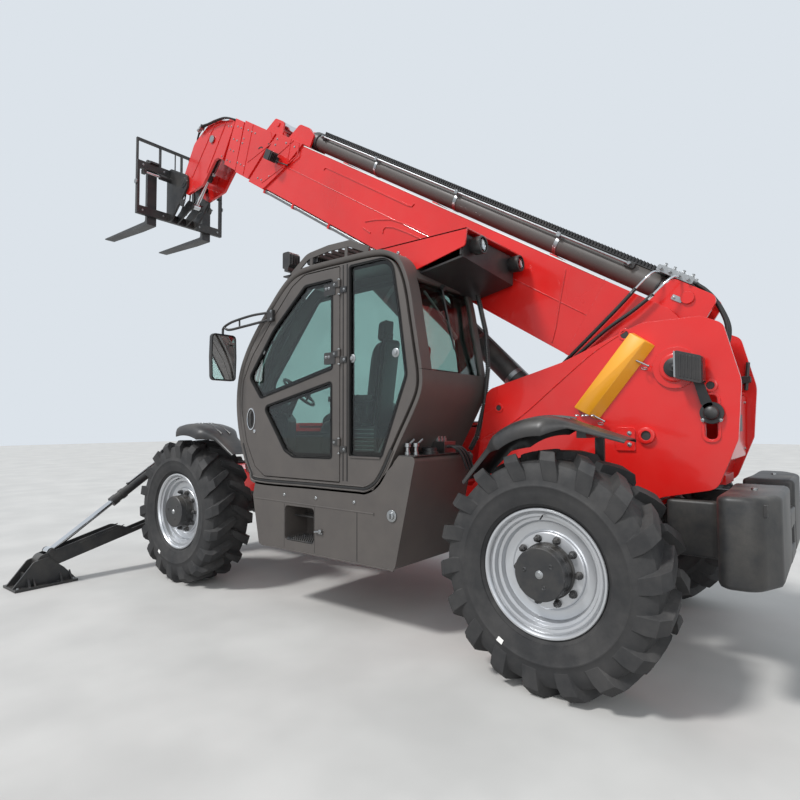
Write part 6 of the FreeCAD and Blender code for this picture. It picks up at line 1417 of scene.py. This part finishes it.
for side in (1.0, -1.0):
    a, b = sorted((side * 640.0, side * 860.0))
    rear_lights.block((a, 4352.0, 958.0), (b, 4372.0, 1018.0))
rear_lights.done("reflector_strips", "root", "black_plastic_and_painted_shade", bevel=4.0)


# Lower box: lid seam, screws, filler, latch, step tread

box = Piece()
box.rings([[(CAB_OUT - 2.0 + out, station, z + v) for out, v in ((0.0, -8.0), (5.0, -4.0), (5.0, 2.0), (0.0, 6.0))]
           for station, z in ((968.0, 812.0), (2215.0, 800.0))])
box.block((CAB_OUT - 1.0, 2210.0, 788.0), (CAB_OUT + 5.0, 2216.0, 808.0))
for station in (1330.0, 1670.0, 2040.0):
    box.screw((CAB_OUT, station, 862.0), (1, 0, 0), 13.0, mark=1)
box.turn([(0.0, 40.0), (8.0, 38.0), (10.0, 32.0), (10.0, 24.0), (18.0, 22.0), (20.0, 14.0), (20.0, 0.5)],
         (CAB_OUT, 2368.0, 802.0), (1, 0, 0), 32, mark=1, closed=False)
box.block((CAB_OUT + 20.0, 2364.0, 786.0), (CAB_OUT + 21.5, 2372.0, 818.0), mark=2)
box.prism([(1700.0, 612.0, 6.0), (1742.0, 612.0, 6.0), (1742.0, 640.0, 6.0), (1700.0, 640.0, 6.0)], "X", CAB_OUT,
          CAB_OUT + 10.0, mark=1)
box.rod((CAB_OUT + 10.0, 1668.0, 622.0), (CAB_OUT + 16.0, 1738.0, 634.0), 9.0, 12, mark=1)
box.turn([(0.0, 15.0), (14.0, 14.0), (18.0, 0.5)], (CAB_OUT + 8.0, 1728.0, 632.0), (1, 0, 0), 16, mark=1, closed=False)
for z0, z1 in ((470.0, 796.0),):
    box.block((CAB_OUT - 1.0, 2062.0, z0), (CAB_OUT + 1.2, 2068.0, z1), mark=2)
    box.block((CAB_OUT - 1.0, 1655.0, z0), (CAB_OUT + 1.0, 1658.0, z1), mark=2)
    box.block((CAB_OUT - 1.0, 1328.0, z0), (CAB_OUT + 1.0, 1331.0, z1), mark=2)
box.block((CAB_OUT - 4.0, 1060.0, 452.0), (CAB_OUT + 3.0, 2380.0, 464.0))
box.done("lower_box_trim", "root", "grey_powder_coat", "zinc_plated_steel", "seal_rubber", bevel=1.0, smooth=40.0)

tread = Piece()
tread.block((CAB_OUT - 228.0, 1340.0, 530.0), (CAB_OUT - 4.0, 1646.0, 536.0))
for row in range(4):
    for i in range(14):
        station = 1352.0 + i * 21.0
        x = CAB_OUT - 26.0 - row * 52.0
        tread.rings([[(x, station, 536.0), (x + 16.0, station, 536.0), (x + 16.0, station + 12.0, 536.0),
                      (x, station + 12.0, 536.0)],
                     [(x + 5.0, station + 4.0, 552.0), (x + 11.0, station + 4.0, 552.0), (x + 11.0, station + 8.0, 552.0),
                      (x + 5.0, station + 8.0, 552.0)]])
for x in (CAB_OUT - 100.0, CAB_OUT - 200.0):
    tread.rod((x, 1342.0, 700.0), (x, 1644.0, 700.0), 8.0, 10)
tread.done("step_tread", "root", "black_chassis_paint", smooth=20.0)

top_bits = Piece()
top_bits.block((400.0, 2420.0, 1185.0), (1076.0, 2552.0, 1191.0))
for station, x in ((2440.0, 1010.0), (2470.0, 960.0)):
    top_bits.turn([(0.0, 20.0), (20.0, 20.0), (22.0, 15.0), (50.0, 15.0), (52.0, 24.0), (76.0, 24.0), (80.0, 10.0)],
                  (x, station, 1190.0), (0, 0, 1), 12, mark=1, closed=False)
    top_bits.rod((x, station, 1250.0), (x - 40.0, station + 26.0, 1290.0), 9.0, 10, mark=1)
top_bits.turn([(0.0, 60.0), (18.0, 60.0), (20.0, 52.0), (40.0, 52.0), (46.0, 44.0), (46.0, 0.5)],
              (820.0, 2480.0, 1190.0), (0, 0, 1), 32, closed=False)
top_bits.block((560.0, 2400.0, 1190.0), (700.0, 2520.0, 1270.0), mark=1)
for x in (580.0, 620.0, 660.0):
    top_bits.turn([(0.0, 16.0), (20.0, 16.0), (24.0, 12.0), (34.0, 12.0)], (x, 2440.0, 1270.0), (0, 0, 1), 6, mark=1,
                  closed=False)
    top_bits.hose([(x, 2500.0, 1230.0), (x, 2560.0, 1235.0), (x - 40.0, 2600.0, 1190.0), (x - 90.0, 2620.0, 1080.0)],
                  10.0)
top_bits.done("box_top_fittings", "root", "black_plastic_and_painted_shade", "zinc_plated_steel", smooth=35.0)

trunk = Piece()
trunk_line = [(330.0, 2575.0, 2330.0), (330.0, 2640.0, 2050.0), (330.0, 2655.0, 1790.0), (330.0, 2622.0, 1535.0),
              (330.0, 2560.0, 1300.0), (330.0, 2500.0, 1200.0)]
for i in range(len(trunk_line) - 1):
    a, b = Vector(trunk_line[i]), Vector(trunk_line[i + 1])
    way = (b - a)
    count = int(way.length / 14.0)
    profile = []
    for k in range(count):
        along = k * way.length / count
        profile += [(along, 19.0), (along + 6.0, 19.0), (along + 7.5, 14.5), (along + 12.0, 14.5)]
    trunk.turn(profile, a, way, 12, closed=False)
trunk.done("cab_wiring_trunk", "root", "black_plastic_and_painted_shade", smooth=20.0)


# Lift cylinder: gland, ports and hoses

lift_foot = Vector(on_boom(0.0, 2200.0, -340.0))
lift_way = (Vector((0.0, 3400.0, 1050.0)) - lift_foot).normalized()
lift_up = lift_way.cross(Vector((1.0, 0.0, 0.0))).normalized()
if lift_up.z < 0.0:
    lift_up = -lift_up
lift = Piece()
lift.turn([(0.0, 84.0), (0.0, 92.0), (52.0, 92.0), (56.0, 86.0), (70.0, 84.0), (70.0, 52.0), (20.0, 52.0)],
          lift_foot + lift_way * 1384.0, lift_way, 48)
for along in (330.0, 760.0, 1180.0):
    lift.turn([(0.0, 84.0), (0.0, 88.0), (34.0, 88.0), (34.0, 84.0)], lift_foot + lift_way * along, lift_way, 40, mark=1)
for along in (180.0, 1330.0):
    middle = lift_foot + lift_way * along + lift_up * 88.0
    lift.rings([[middle + lift_way * u + lift_up * w + Vector((x, 0.0, 0.0)) for u, x in
                 ((-34.0, -26.0), (34.0, -26.0), (34.0, 26.0), (-34.0, 26.0))] for w in (-12.0, 24.0)])
    lift.rod(middle + Vector((24.0, 0.0, 6.0)), middle + Vector((46.0, 0.0, 6.0)), 12.0, 6, mark=1)
lift.hose([lift_foot + lift_way * 180.0 + lift_up * 96.0 + Vector((40.0, 0.0, 0.0)),
           lift_foot + lift_way * 260.0 + lift_up * 100.0 + Vector((52.0, 0.0, 0.0)),
           lift_foot + lift_way * 760.0 + lift_up * 96.0 + Vector((52.0, 0.0, 0.0)),
           lift_foot + lift_way * 1260.0 + lift_up * 98.0 + Vector((52.0, 0.0, 0.0)),
           lift_foot + lift_way * 1330.0 + lift_up * 96.0 + Vector((40.0, 0.0, 0.0))], 8.0, 10, mark=1)
lift.done("lift_cylinder_fittings", "lift_barrel", "black_chassis_paint", "zinc_plated_steel", smooth=35.0)


# Engine pod: grilles, lid seam, latches and exhaust

POD_OUT = -1080.0
cowl = Piece()
for first, last in ((960.0, 1500.0), (1840.0, 2470.0)):
    cowl.loop([(first, 1060.0, 24.0), (last, 1060.0, 24.0), (last, 1345.0, 24.0), (first, 1345.0, 24.0)],
              [(first + 22.0, 1082.0, 14.0), (last - 22.0, 1082.0, 14.0), (last - 22.0, 1323.0, 14.0),
               (first + 22.0, 1323.0, 14.0)], "X", POD_OUT - 10.0, POD_OUT + 1.0)
    cowl.block((POD_OUT - 1.5, first + 20.0, 1080.0), (POD_OUT + 1.0, last - 20.0, 1325.0))
    for i in range(9):
        z = 1090.0 + i * 26.0
        cowl.rings([[(POD_OUT - 1.0, first + 22.0 + u, z), (POD_OUT - 9.0, first + 22.0 + u, z - 3.0),
                     (POD_OUT - 9.0, first + 22.0 + u, z + 4.0), (POD_OUT - 1.0, first + 22.0 + u, z + 15.0)]
                    for u in (0.0, last - first - 44.0)])
for i in range(12):
    station = 1500.0 + i * 40.0
    cowl.block((-900.0, station, 1399.0), (-560.0, station + 22.0, 1408.0))
cowl.loop([(-920.0, 1480.0, 20.0), (-540.0, 1480.0, 20.0), (-540.0, 1984.0, 20.0), (-920.0, 1984.0, 20.0)],
          [(-902.0, 1498.0, 10.0), (-558.0, 1498.0, 10.0), (-558.0, 1966.0, 10.0), (-902.0, 1966.0, 10.0)], "Z", 1399.0,
          1412.0)
cowl.block((-904.0, 1496.0, 1399.0), (-556.0, 1968.0, 1401.5))
cowl.prism([(1560.0, 1035.0, 12.0), (1780.0, 1035.0, 12.0), (1780.0, 1085.0, 12.0), (1560.0, 1085.0, 12.0)], "X",
           POD_OUT - 4.0, POD_OUT + 1.0)
cowl.hose([(POD_OUT - 3.0, 1590.0, 1060.0), (POD_OUT - 30.0, 1606.0, 1060.0), (POD_OUT - 30.0, 1734.0, 1060.0),
           (POD_OUT - 3.0, 1750.0, 1060.0)], 8.0, 12)
cowl.done("hood_grilles", "engine_hood", "black_plastic_and_painted_shade", smooth=35.0)

hood_marks = Piece()
for station in (1020.0, 2400.0):
    hood_marks.prism([(station, 1012.0, 8.0), (station + 46.0, 1012.0, 8.0), (station + 46.0, 1046.0, 8.0),
                      (station, 1046.0, 8.0)], "X", POD_OUT - 8.0, POD_OUT)
    hood_marks.screw((POD_OUT - 8.0, station + 23.0, 1029.0), (-1, 0, 0), 11.0)
for station in (980.0, 1600.0, 2300.0):
    hood_marks.rod((-430.0, station, 1392.0), (-430.0, station + 60.0, 1392.0), 13.0, 16)
    for shift in (15.0, 45.0):
        hood_marks.screw((-480.0, station + shift, 1400.0), (0, 0, 1), 9.0)
hood_marks.done("hood_latches", "engine_hood", "zinc_plated_steel", smooth=35.0)

folds = Piece()
folds.rod((POD_OUT - 1.0, 862.0, 1372.0), (POD_OUT - 1.0, 2568.0, 1372.0), 5.0, 8)
for station in (1530.0, 1812.0):
    folds.rod((POD_OUT - 1.0, station, 1008.0), (POD_OUT - 1.0, station, 1372.0), 4.0, 8)
folds.prism([(2200.0, 1398.0), (2500.0, 1398.0), (2480.0, 1426.0, 20.0), (2220.0, 1426.0, 20.0)], "X", -1020.0, -640.0)
folds.done("hood_folds", "engine_hood", "red_enamel", bevel=2.0, smooth=40.0)

bay_trim = Piece()
bay_trim.block((POD_OUT - 3.0, 852.0, 990.0), (POD_OUT + 1.0, 2578.0, 998.0))
bay_trim.loop([(1120.0, 520.0, 30.0), (2260.0, 520.0, 30.0), (2260.0, 930.0, 30.0), (1120.0, 930.0, 30.0)],
              [(1128.0, 528.0, 24.0), (2252.0, 528.0, 24.0), (2252.0, 922.0, 24.0), (1128.0, 922.0, 24.0)], "X",
              POD_OUT - 3.0, POD_OUT + 1.0)
for i in range(7):
    bay_trim.block((-1010.0, 846.0, 560.0 + i * 54.0), (-490.0, 852.0, 588.0 + i * 54.0))
for station, z in ((1150.0, 545.0), (2230.0, 545.0), (1150.0, 905.0), (2230.0, 905.0), (1690.0, 545.0), (1690.0, 905.0)):
    bay_trim.screw((POD_OUT, station, z), (-1, 0, 0), 12.0, mark=1)
bay_trim.done("engine_bay_trim", "root", "black_plastic_and_painted_shade", "zinc_plated_steel", smooth=35.0)

exhaust = Piece()
exhaust.hose([(-760.0, 2560.0, 1120.0), (-760.0, 2620.0, 1120.0), (-760.0, 2650.0, 1160.0), (-760.0, 2650.0, 1300.0),
              (-760.0, 2650.0, 1470.0), (-760.0, 2676.0, 1530.0), (-760.0, 2710.0, 1550.0)], 34.0, 24)
exhaust.turn([(0.0, 34.0), (0.0, 74.0), (8.0, 80.0), (260.0, 80.0), (268.0, 74.0), (268.0, 34.0)],
             (-760.0, 2650.0, 1170.0), (0, 0, 1), 36)
for z in (1210.0, 1390.0):
    exhaust.turn([(0.0, 79.0), (0.0, 84.0), (18.0, 84.0), (18.0, 79.0)], (-760.0, 2650.0, z), (0, 0, 1), 36, mark=1)
exhaust.block((-780.0, 2575.0, 1215.0), (-740.0, 2600.0, 1400.0))
exhaust.done("exhaust_silencer", "root", "black_engine_iron", "zinc_plated_steel", smooth=40.0)

bench = Piece()
for i in range(4):
    station = 1180.0 + i * 220.0
    bench.block((-862.0, station, 1099.0), (-618.0, station + 170.0, 1160.0))
    bench.rod((-930.0, station + 85.0, 940.0), (-985.0, station + 85.0, 930.0), 26.0, 16)
    bench.rod((-740.0, station + 85.0, 1160.0), (-740.0, station + 85.0, 1178.0), 24.0, 14, mark=1)
bench.rod((-985.0, 1200.0, 930.0), (-985.0, 2020.0, 930.0), 34.0, 20)
bench.turn([(0.0, 130.0), (26.0, 130.0), (30.0, 118.0), (48.0, 118.0), (52.0, 130.0), (60.0, 130.0), (60.0, 0.5)],
           (-740.0, 1048.0, 760.0), (0, -1, 0), 36, closed=False)
bench.rod((-740.0, 2052.0, 800.0), (-740.0, 2300.0, 800.0), 120.0, 28)
bench.turn([(0.0, 52.0), (120.0, 52.0), (126.0, 40.0), (126.0, 0.5)], (-560.0, 1400.0, 560.0), (1, 0, -0.4), 24, mark=1,
           closed=False)
bench.done("engine_top_and_manifold", "root", "black_engine_iron", "zinc_plated_steel", bevel=3.0, smooth=40.0)


# Axles: drive shaft, covers and steering cylinders

line = Piece()
line.rod((0.0, 420.0, 625.0), (0.0, 3000.0, 625.0), 34.0, 24)
for station in (440.0, 900.0, 1650.0, 2940.0):
    line.turn([(0.0, 36.0), (4.0, 62.0), (20.0, 62.0), (24.0, 44.0), (60.0, 44.0), (64.0, 36.0)],
              (0.0, station, 625.0), (0, 1, 0), 24, closed=False)
line.block((-120.0, 1660.0, 560.0), (120.0, 2060.0, 730.0))
line.rod((0.0, 1640.0, 625.0), (0.0, 2090.0, 625.0), 84.0, 32)
for station, way in ((0.0, -1.0), (3420.0, 1.0)):
    line.turn([(150.0, 120.0), (164.0, 118.0), (176.0, 96.0), (184.0, 60.0), (186.0, 0.5)], (0.0, station, 625.0),
              (0, way, 0), 40, closed=False)
    for i in range(12):
        angle = math.tau * i / 12.0
        line.bolt((math.sin(angle) * 106.0, station + way * 166.0, 625.0 + math.cos(angle) * 106.0), (0, way, 0), 13.0,
                  mark=1)
    line.rod((-260.0, station + way * 226.0, 600.0), (260.0, station + way * 226.0, 600.0), 34.0, 24)
    for side in (1.0, -1.0):
        line.turn([(0.0, 38.0), (26.0, 38.0), (30.0, 22.0), (30.0, 15.0)], (side * 240.0, station + way * 226.0, 600.0),
                  (side, 0, 0), 24, closed=False)
        line.rod((side * 262.0, station + way * 226.0, 600.0), (side * 430.0, station + way * 226.0, 600.0), 14.0, 14,
                 mark=2)
        line.block(tuple(min(a, b) for a, b in zip((side * 180.0, station + way * 90.0, 580.0),
                                                   (side * 220.0, station + way * 230.0, 620.0))),
                   tuple(max(a, b) for a, b in zip((side * 180.0, station + way * 90.0, 580.0),
                                                   (side * 220.0, station + way * 230.0, 620.0))))
        line.turn([(0.0, 95.0), (0.0, 116.0), (22.0, 116.0), (26.0, 95.0)], (side * 300.0, station, 625.0),
                  (side, 0, 0), 36)
        for i in range(10):
            angle = math.tau * i / 10.0
            line.bolt((side * 322.0, station + math.sin(angle) * 104.0, 625.0 + math.cos(angle) * 104.0),
                      (side, 0, 0), 11.0, mark=1)
line.done("drive_line", "root", "black_chassis_paint", "zinc_plated_steel", "hard_chrome", smooth=35.0)


# Stabilisers: tower bolts and pins, foot ribs, cylinder glands and hoses

LEG_STATION = -910.0
tower = Piece()
for side in (1.0, -1.0):
    for x, z, radius in ((550.0, 563.0, 46.0), (700.0, 1072.0, 40.0)):
        for way in (1.0, -1.0):
            tower.turn([(0.0, radius), (8.0, radius - 2.0), (10.0, radius * 0.6), (10.0, 0.5)],
                       (side * x, LEG_STATION + way * 88.0, z), (0, way, 0), 28, closed=False)
            tower.bolt((side * (x - radius - 22.0), LEG_STATION + way * 88.0, z), (0, way, 0), 13.0, mark=1)
    tower.hose([(side * 620.0, LEG_STATION + 96.0, 1120.0), (side * 500.0, LEG_STATION + 110.0, 1080.0),
                (side * 330.0, LEG_STATION + 112.0, 980.0), (side * 250.0, LEG_STATION + 130.0, 860.0)], 9.0, 10)
    tower.hose([(side * 640.0, LEG_STATION + 96.0, 1096.0), (side * 500.0, LEG_STATION + 116.0, 1040.0),
                (side * 350.0, LEG_STATION + 120.0, 940.0), (side * 280.0, LEG_STATION + 136.0, 850.0)], 9.0, 10)
for z in (600.0, 700.0, 800.0):
    for x in (-250.0, 250.0):
        tower.bolt((x, LEG_STATION - 88.0, z), (0, -1, 0), 18.0, mark=1)
tower.prism([(-300.0, 880.0, 10.0), (300.0, 880.0, 10.0), (240.0, 1010.0, 20.0), (-240.0, 1010.0, 20.0)], "Y",
            LEG_STATION - 94.0, LEG_STATION - 86.0)
tower.done("stabiliser_tower_fittings", "root", "black_chassis_paint", "zinc_plated_steel", smooth=35.0)

LEG_ANGLE = math.radians(-15.0)
for side_name, side in (("left", 1.0), ("right", -1.0)):
    leg = Piece()
    for way in (1.0, -1.0):
        for x0, x1 in ((1700.0, 1790.0), (1990.0, 2080.0)):
            leg.rings([[(side * x0, LEG_STATION + way * u, z) for u, z in ((68.0, 20.0), (134.0, 20.0), (68.0, 96.0))],
                       [(side * (x0 + 12.0), LEG_STATION + way * u, z) for u, z in
                        ((68.0, 20.0), (134.0, 20.0), (68.0, 96.0))]])
        leg.turn([(0.0, 34.0), (8.0, 32.0), (10.0, 20.0), (10.0, 0.5)], (side * 1848.0, LEG_STATION + way * 66.0, 274.0),
                 (0, way, 0), 24, closed=False)
        for along in (720.0, 950.0):
            leg.rod((side * (550.0 + along * math.cos(LEG_ANGLE)), LEG_STATION + way * 62.0,
                     563.0 + along * math.sin(LEG_ANGLE) - 52.0),
                    (side * (550.0 + along * math.cos(LEG_ANGLE)), LEG_STATION + way * 66.5,
                     563.0 + along * math.sin(LEG_ANGLE) - 52.0), 12.0, 16)
        leg.rod((side * 1220.0, LEG_STATION + way * 65.0, 424.0), (side * 1640.0, LEG_STATION + way * 65.0, 312.0), 4.0, 8)
    for x in (1690.0, 2120.0):
        for way in (1.0, -1.0):
            leg.bolt((side * x, LEG_STATION + way * 108.0, 20.0), (0, 0, 1), 18.0, mark=1)
    leg.done("stabiliser_foot_ribs_" + side_name, "stabiliser_leg_" + side_name, "black_chassis_paint",
             "zinc_plated_steel", smooth=35.0)
    foot = Vector((side * 700.0, LEG_STATION, 1072.0))
    way = (Vector((side * 1848.0, LEG_STATION, 274.0)) - foot).normalized()
    over = Vector((0.0, 1.0, 0.0))
    ram = Piece()
    ram.turn([(0.0, 41.0), (0.0, 49.0), (40.0, 49.0), (46.0, 44.0), (46.0, 41.0)], foot + way * 600.0, way, 32)
    for along in (90.0, 560.0):
        middle = foot + way * along
        ram.rod(middle + Vector((0.0, 0.0, 52.0)), middle + Vector((0.0, 0.0, 64.0)), 15.0, 14)
        ram.rod(middle + Vector((0.0, 0.0, 56.0)), middle + Vector((0.0, 0.0, 70.0)), 13.0, 6, mark=1)
    ram.rod(foot + way * 110.0 + Vector((0.0, 0.0, 60.0)), foot + way * 555.0 + Vector((0.0, 0.0, 60.0)), 8.0, 10, mark=1)
    ram.done("stabiliser_cylinder_fittings_" + side_name, "stabiliser_barrel_" + side_name, "black_chassis_paint",
             "zinc_plated_steel", smooth=35.0)


# Work end: pins, hooks, side shift cylinder and hoses on the carriage

BACK = -1955.0
pivot_at, eye_at = on_boom(0.0, 6080.0, -660.0), on_boom(0.0, 5970.0, -880.0)
gear = Piece()
for side in (1.0, -1.0):
    for centre, radius in ((pivot_at, 62.0), (eye_at, 46.0)):
        gear.turn([(0.0, radius), (9.0, radius - 2.0), (11.0, radius * 0.55), (11.0, 0.5)],
                  (side * 187.0, centre.y, centre.z), (side, 0, 0), 28, closed=False)
        gear.bolt((side * 187.0, centre.y + radius + 16.0, centre.z), (side, 0, 0), 13.0, mark=1)
    for shift in (-46.0, 46.0):
        gear.prism([(BACK - 98.0, 4604.0, 6.0), (BACK - 40.0, 4604.0, 6.0), (BACK - 40.0, 4628.0, 6.0),
                    (BACK - 98.0, 4628.0, 6.0)], "X", *sorted((side * 380.0 + shift - 14.0, side * 380.0 + shift + 14.0)))
    gear.rod((side * 380.0, BACK - 70.0, 4600.0), (side * 380.0, BACK - 70.0, 4646.0), 13.0, 14, mark=1)
    gear.rod((side * 380.0, BACK - 70.0, 4640.0), (side * 420.0, BACK - 70.0, 4640.0), 6.0, 10, mark=1)
    gear.rod((side * 592.0, BACK - 22.0, 4330.0), (side * 604.0, BACK - 22.0, 4330.0), 30.0, 24, mark=1)
    for z in (3995.0, 4555.0):
        for x in (250.0, 520.0):
            gear.bolt((side * x, BACK, z), (0, 1, 0), 15.0, mark=1)
gear.rod((-330.0, BACK + 34.0, 4455.0), (330.0, BACK + 34.0, 4455.0), 30.0, 24)
for side in (1.0, -1.0):
    gear.rod((side * 330.0, BACK + 34.0, 4455.0), (side * 520.0, BACK + 34.0, 4455.0), 15.0, 16, mark=2)
    gear.block((min(side * 505.0, side * 545.0), BACK, 4430.0), (max(side * 505.0, side * 545.0), BACK + 58.0, 4480.0))
for i in range(24):
    x = -540.0 + i * 45.0
    gear.block((x, BACK - 3.0, 4506.0), (x + 10.0, BACK + 2.0, 4516.0))
gear.done("carriage_gear", "carriage", "black_chassis_paint", "zinc_plated_steel", "hard_chrome", smooth=35.0)

work_hoses = Piece()
for x in (-60.0, -20.0, 20.0, 60.0):
    work_hoses.hose([(x, BACK + 64.0, 4455.0), (x * 1.4, BACK + 120.0, 4400.0), (x * 1.6, BACK + 130.0, 4300.0),
                     (x * 1.8, BACK + 90.0, 4180.0), (x * 2.0, BACK + 30.0, 4080.0)], 9.0, 10)
work_hoses.done("carriage_hoses", "carriage", "hose_rubber", smooth=60.0)

guard_bars = Piece()
for x in (-295.0, -98.0, 98.0, 295.0):
    guard_bars.rod((x, BACK - 12.0, 4596.0), (x, BACK - 12.0, 4862.0), 8.0, 12)
guard_bars.done("load_guard_bars", "carriage", "black_chassis_paint", smooth=40.0)


# Floor and light

floor = bpy.data.meshes.new("studio_floor")
reach = 40.0
floor.from_pydata([(-reach, -reach, 0), (reach, -reach, 0), (reach, reach, 0), (-reach, reach, 0)], [], [(0, 1, 2, 3)])
ground = bpy.data.objects.new("studio_floor", floor)
bpy.context.scene.collection.objects.link(ground)
ground.location.z = -0.002
floor.materials.append(finish("pale_floor", "#C4C2BE", 0.75, 12.0, 0.3, edge_mm=0.0))

world = bpy.data.worlds.new("studio")
bpy.context.scene.world = world
world.use_nodes = True
sky = world.node_tree
path = add(sky, "ShaderNodeLightPath")
seen = add(sky, "ShaderNodeMath", None, {0: path.outputs["Is Camera Ray"], 1: path.outputs["Is Transmission Ray"]},
           operation="MAXIMUM")
seen = add(sky, "ShaderNodeMath", None, {0: seen.outputs["Value"], 1: path.outputs["Is Glossy Ray"]},
           operation="MAXIMUM")
backdrop = add(sky, "ShaderNodeBackground", {"Color": linear("#DCE3EA"), "Strength": 1.0})
fill = sky.nodes["Background"]
fill.inputs["Color"].default_value = linear("#E4ECF5")
fill.inputs["Strength"].default_value = 0.75
shown = add(sky, "ShaderNodeMixShader", None, {0: seen.outputs["Value"], 1: fill.outputs["Background"],
                                                2: backdrop.outputs["Background"]})
sky.links.new(shown.outputs["Shader"], sky.nodes["World Output"].inputs["Surface"])


def lamp(name, kind, energy, place, target, size):
    light = bpy.data.lights.new(name, kind)
    light.energy = energy
    if kind == "SUN":
        light.angle = math.radians(size)
    else:
        light.size = size
    held = bpy.data.objects.new(name, light)
    bpy.context.scene.collection.objects.link(held)
    held.location = place
    held.rotation_euler = (Vector(target) - Vector(place)).to_track_quat("-Z", "Y").to_euler()


lamp("key", "SUN", 2.4, (6.0, -2.5, 9.0), (0.0, 0.0, 1.0), 9.0)
lamp("side_fill", "AREA", 900.0, (15.0, 13.0, 7.5), (0.0, 0.5, 1.8), 11.0)

bpy.context.scene.view_settings.view_transform = "Standard"
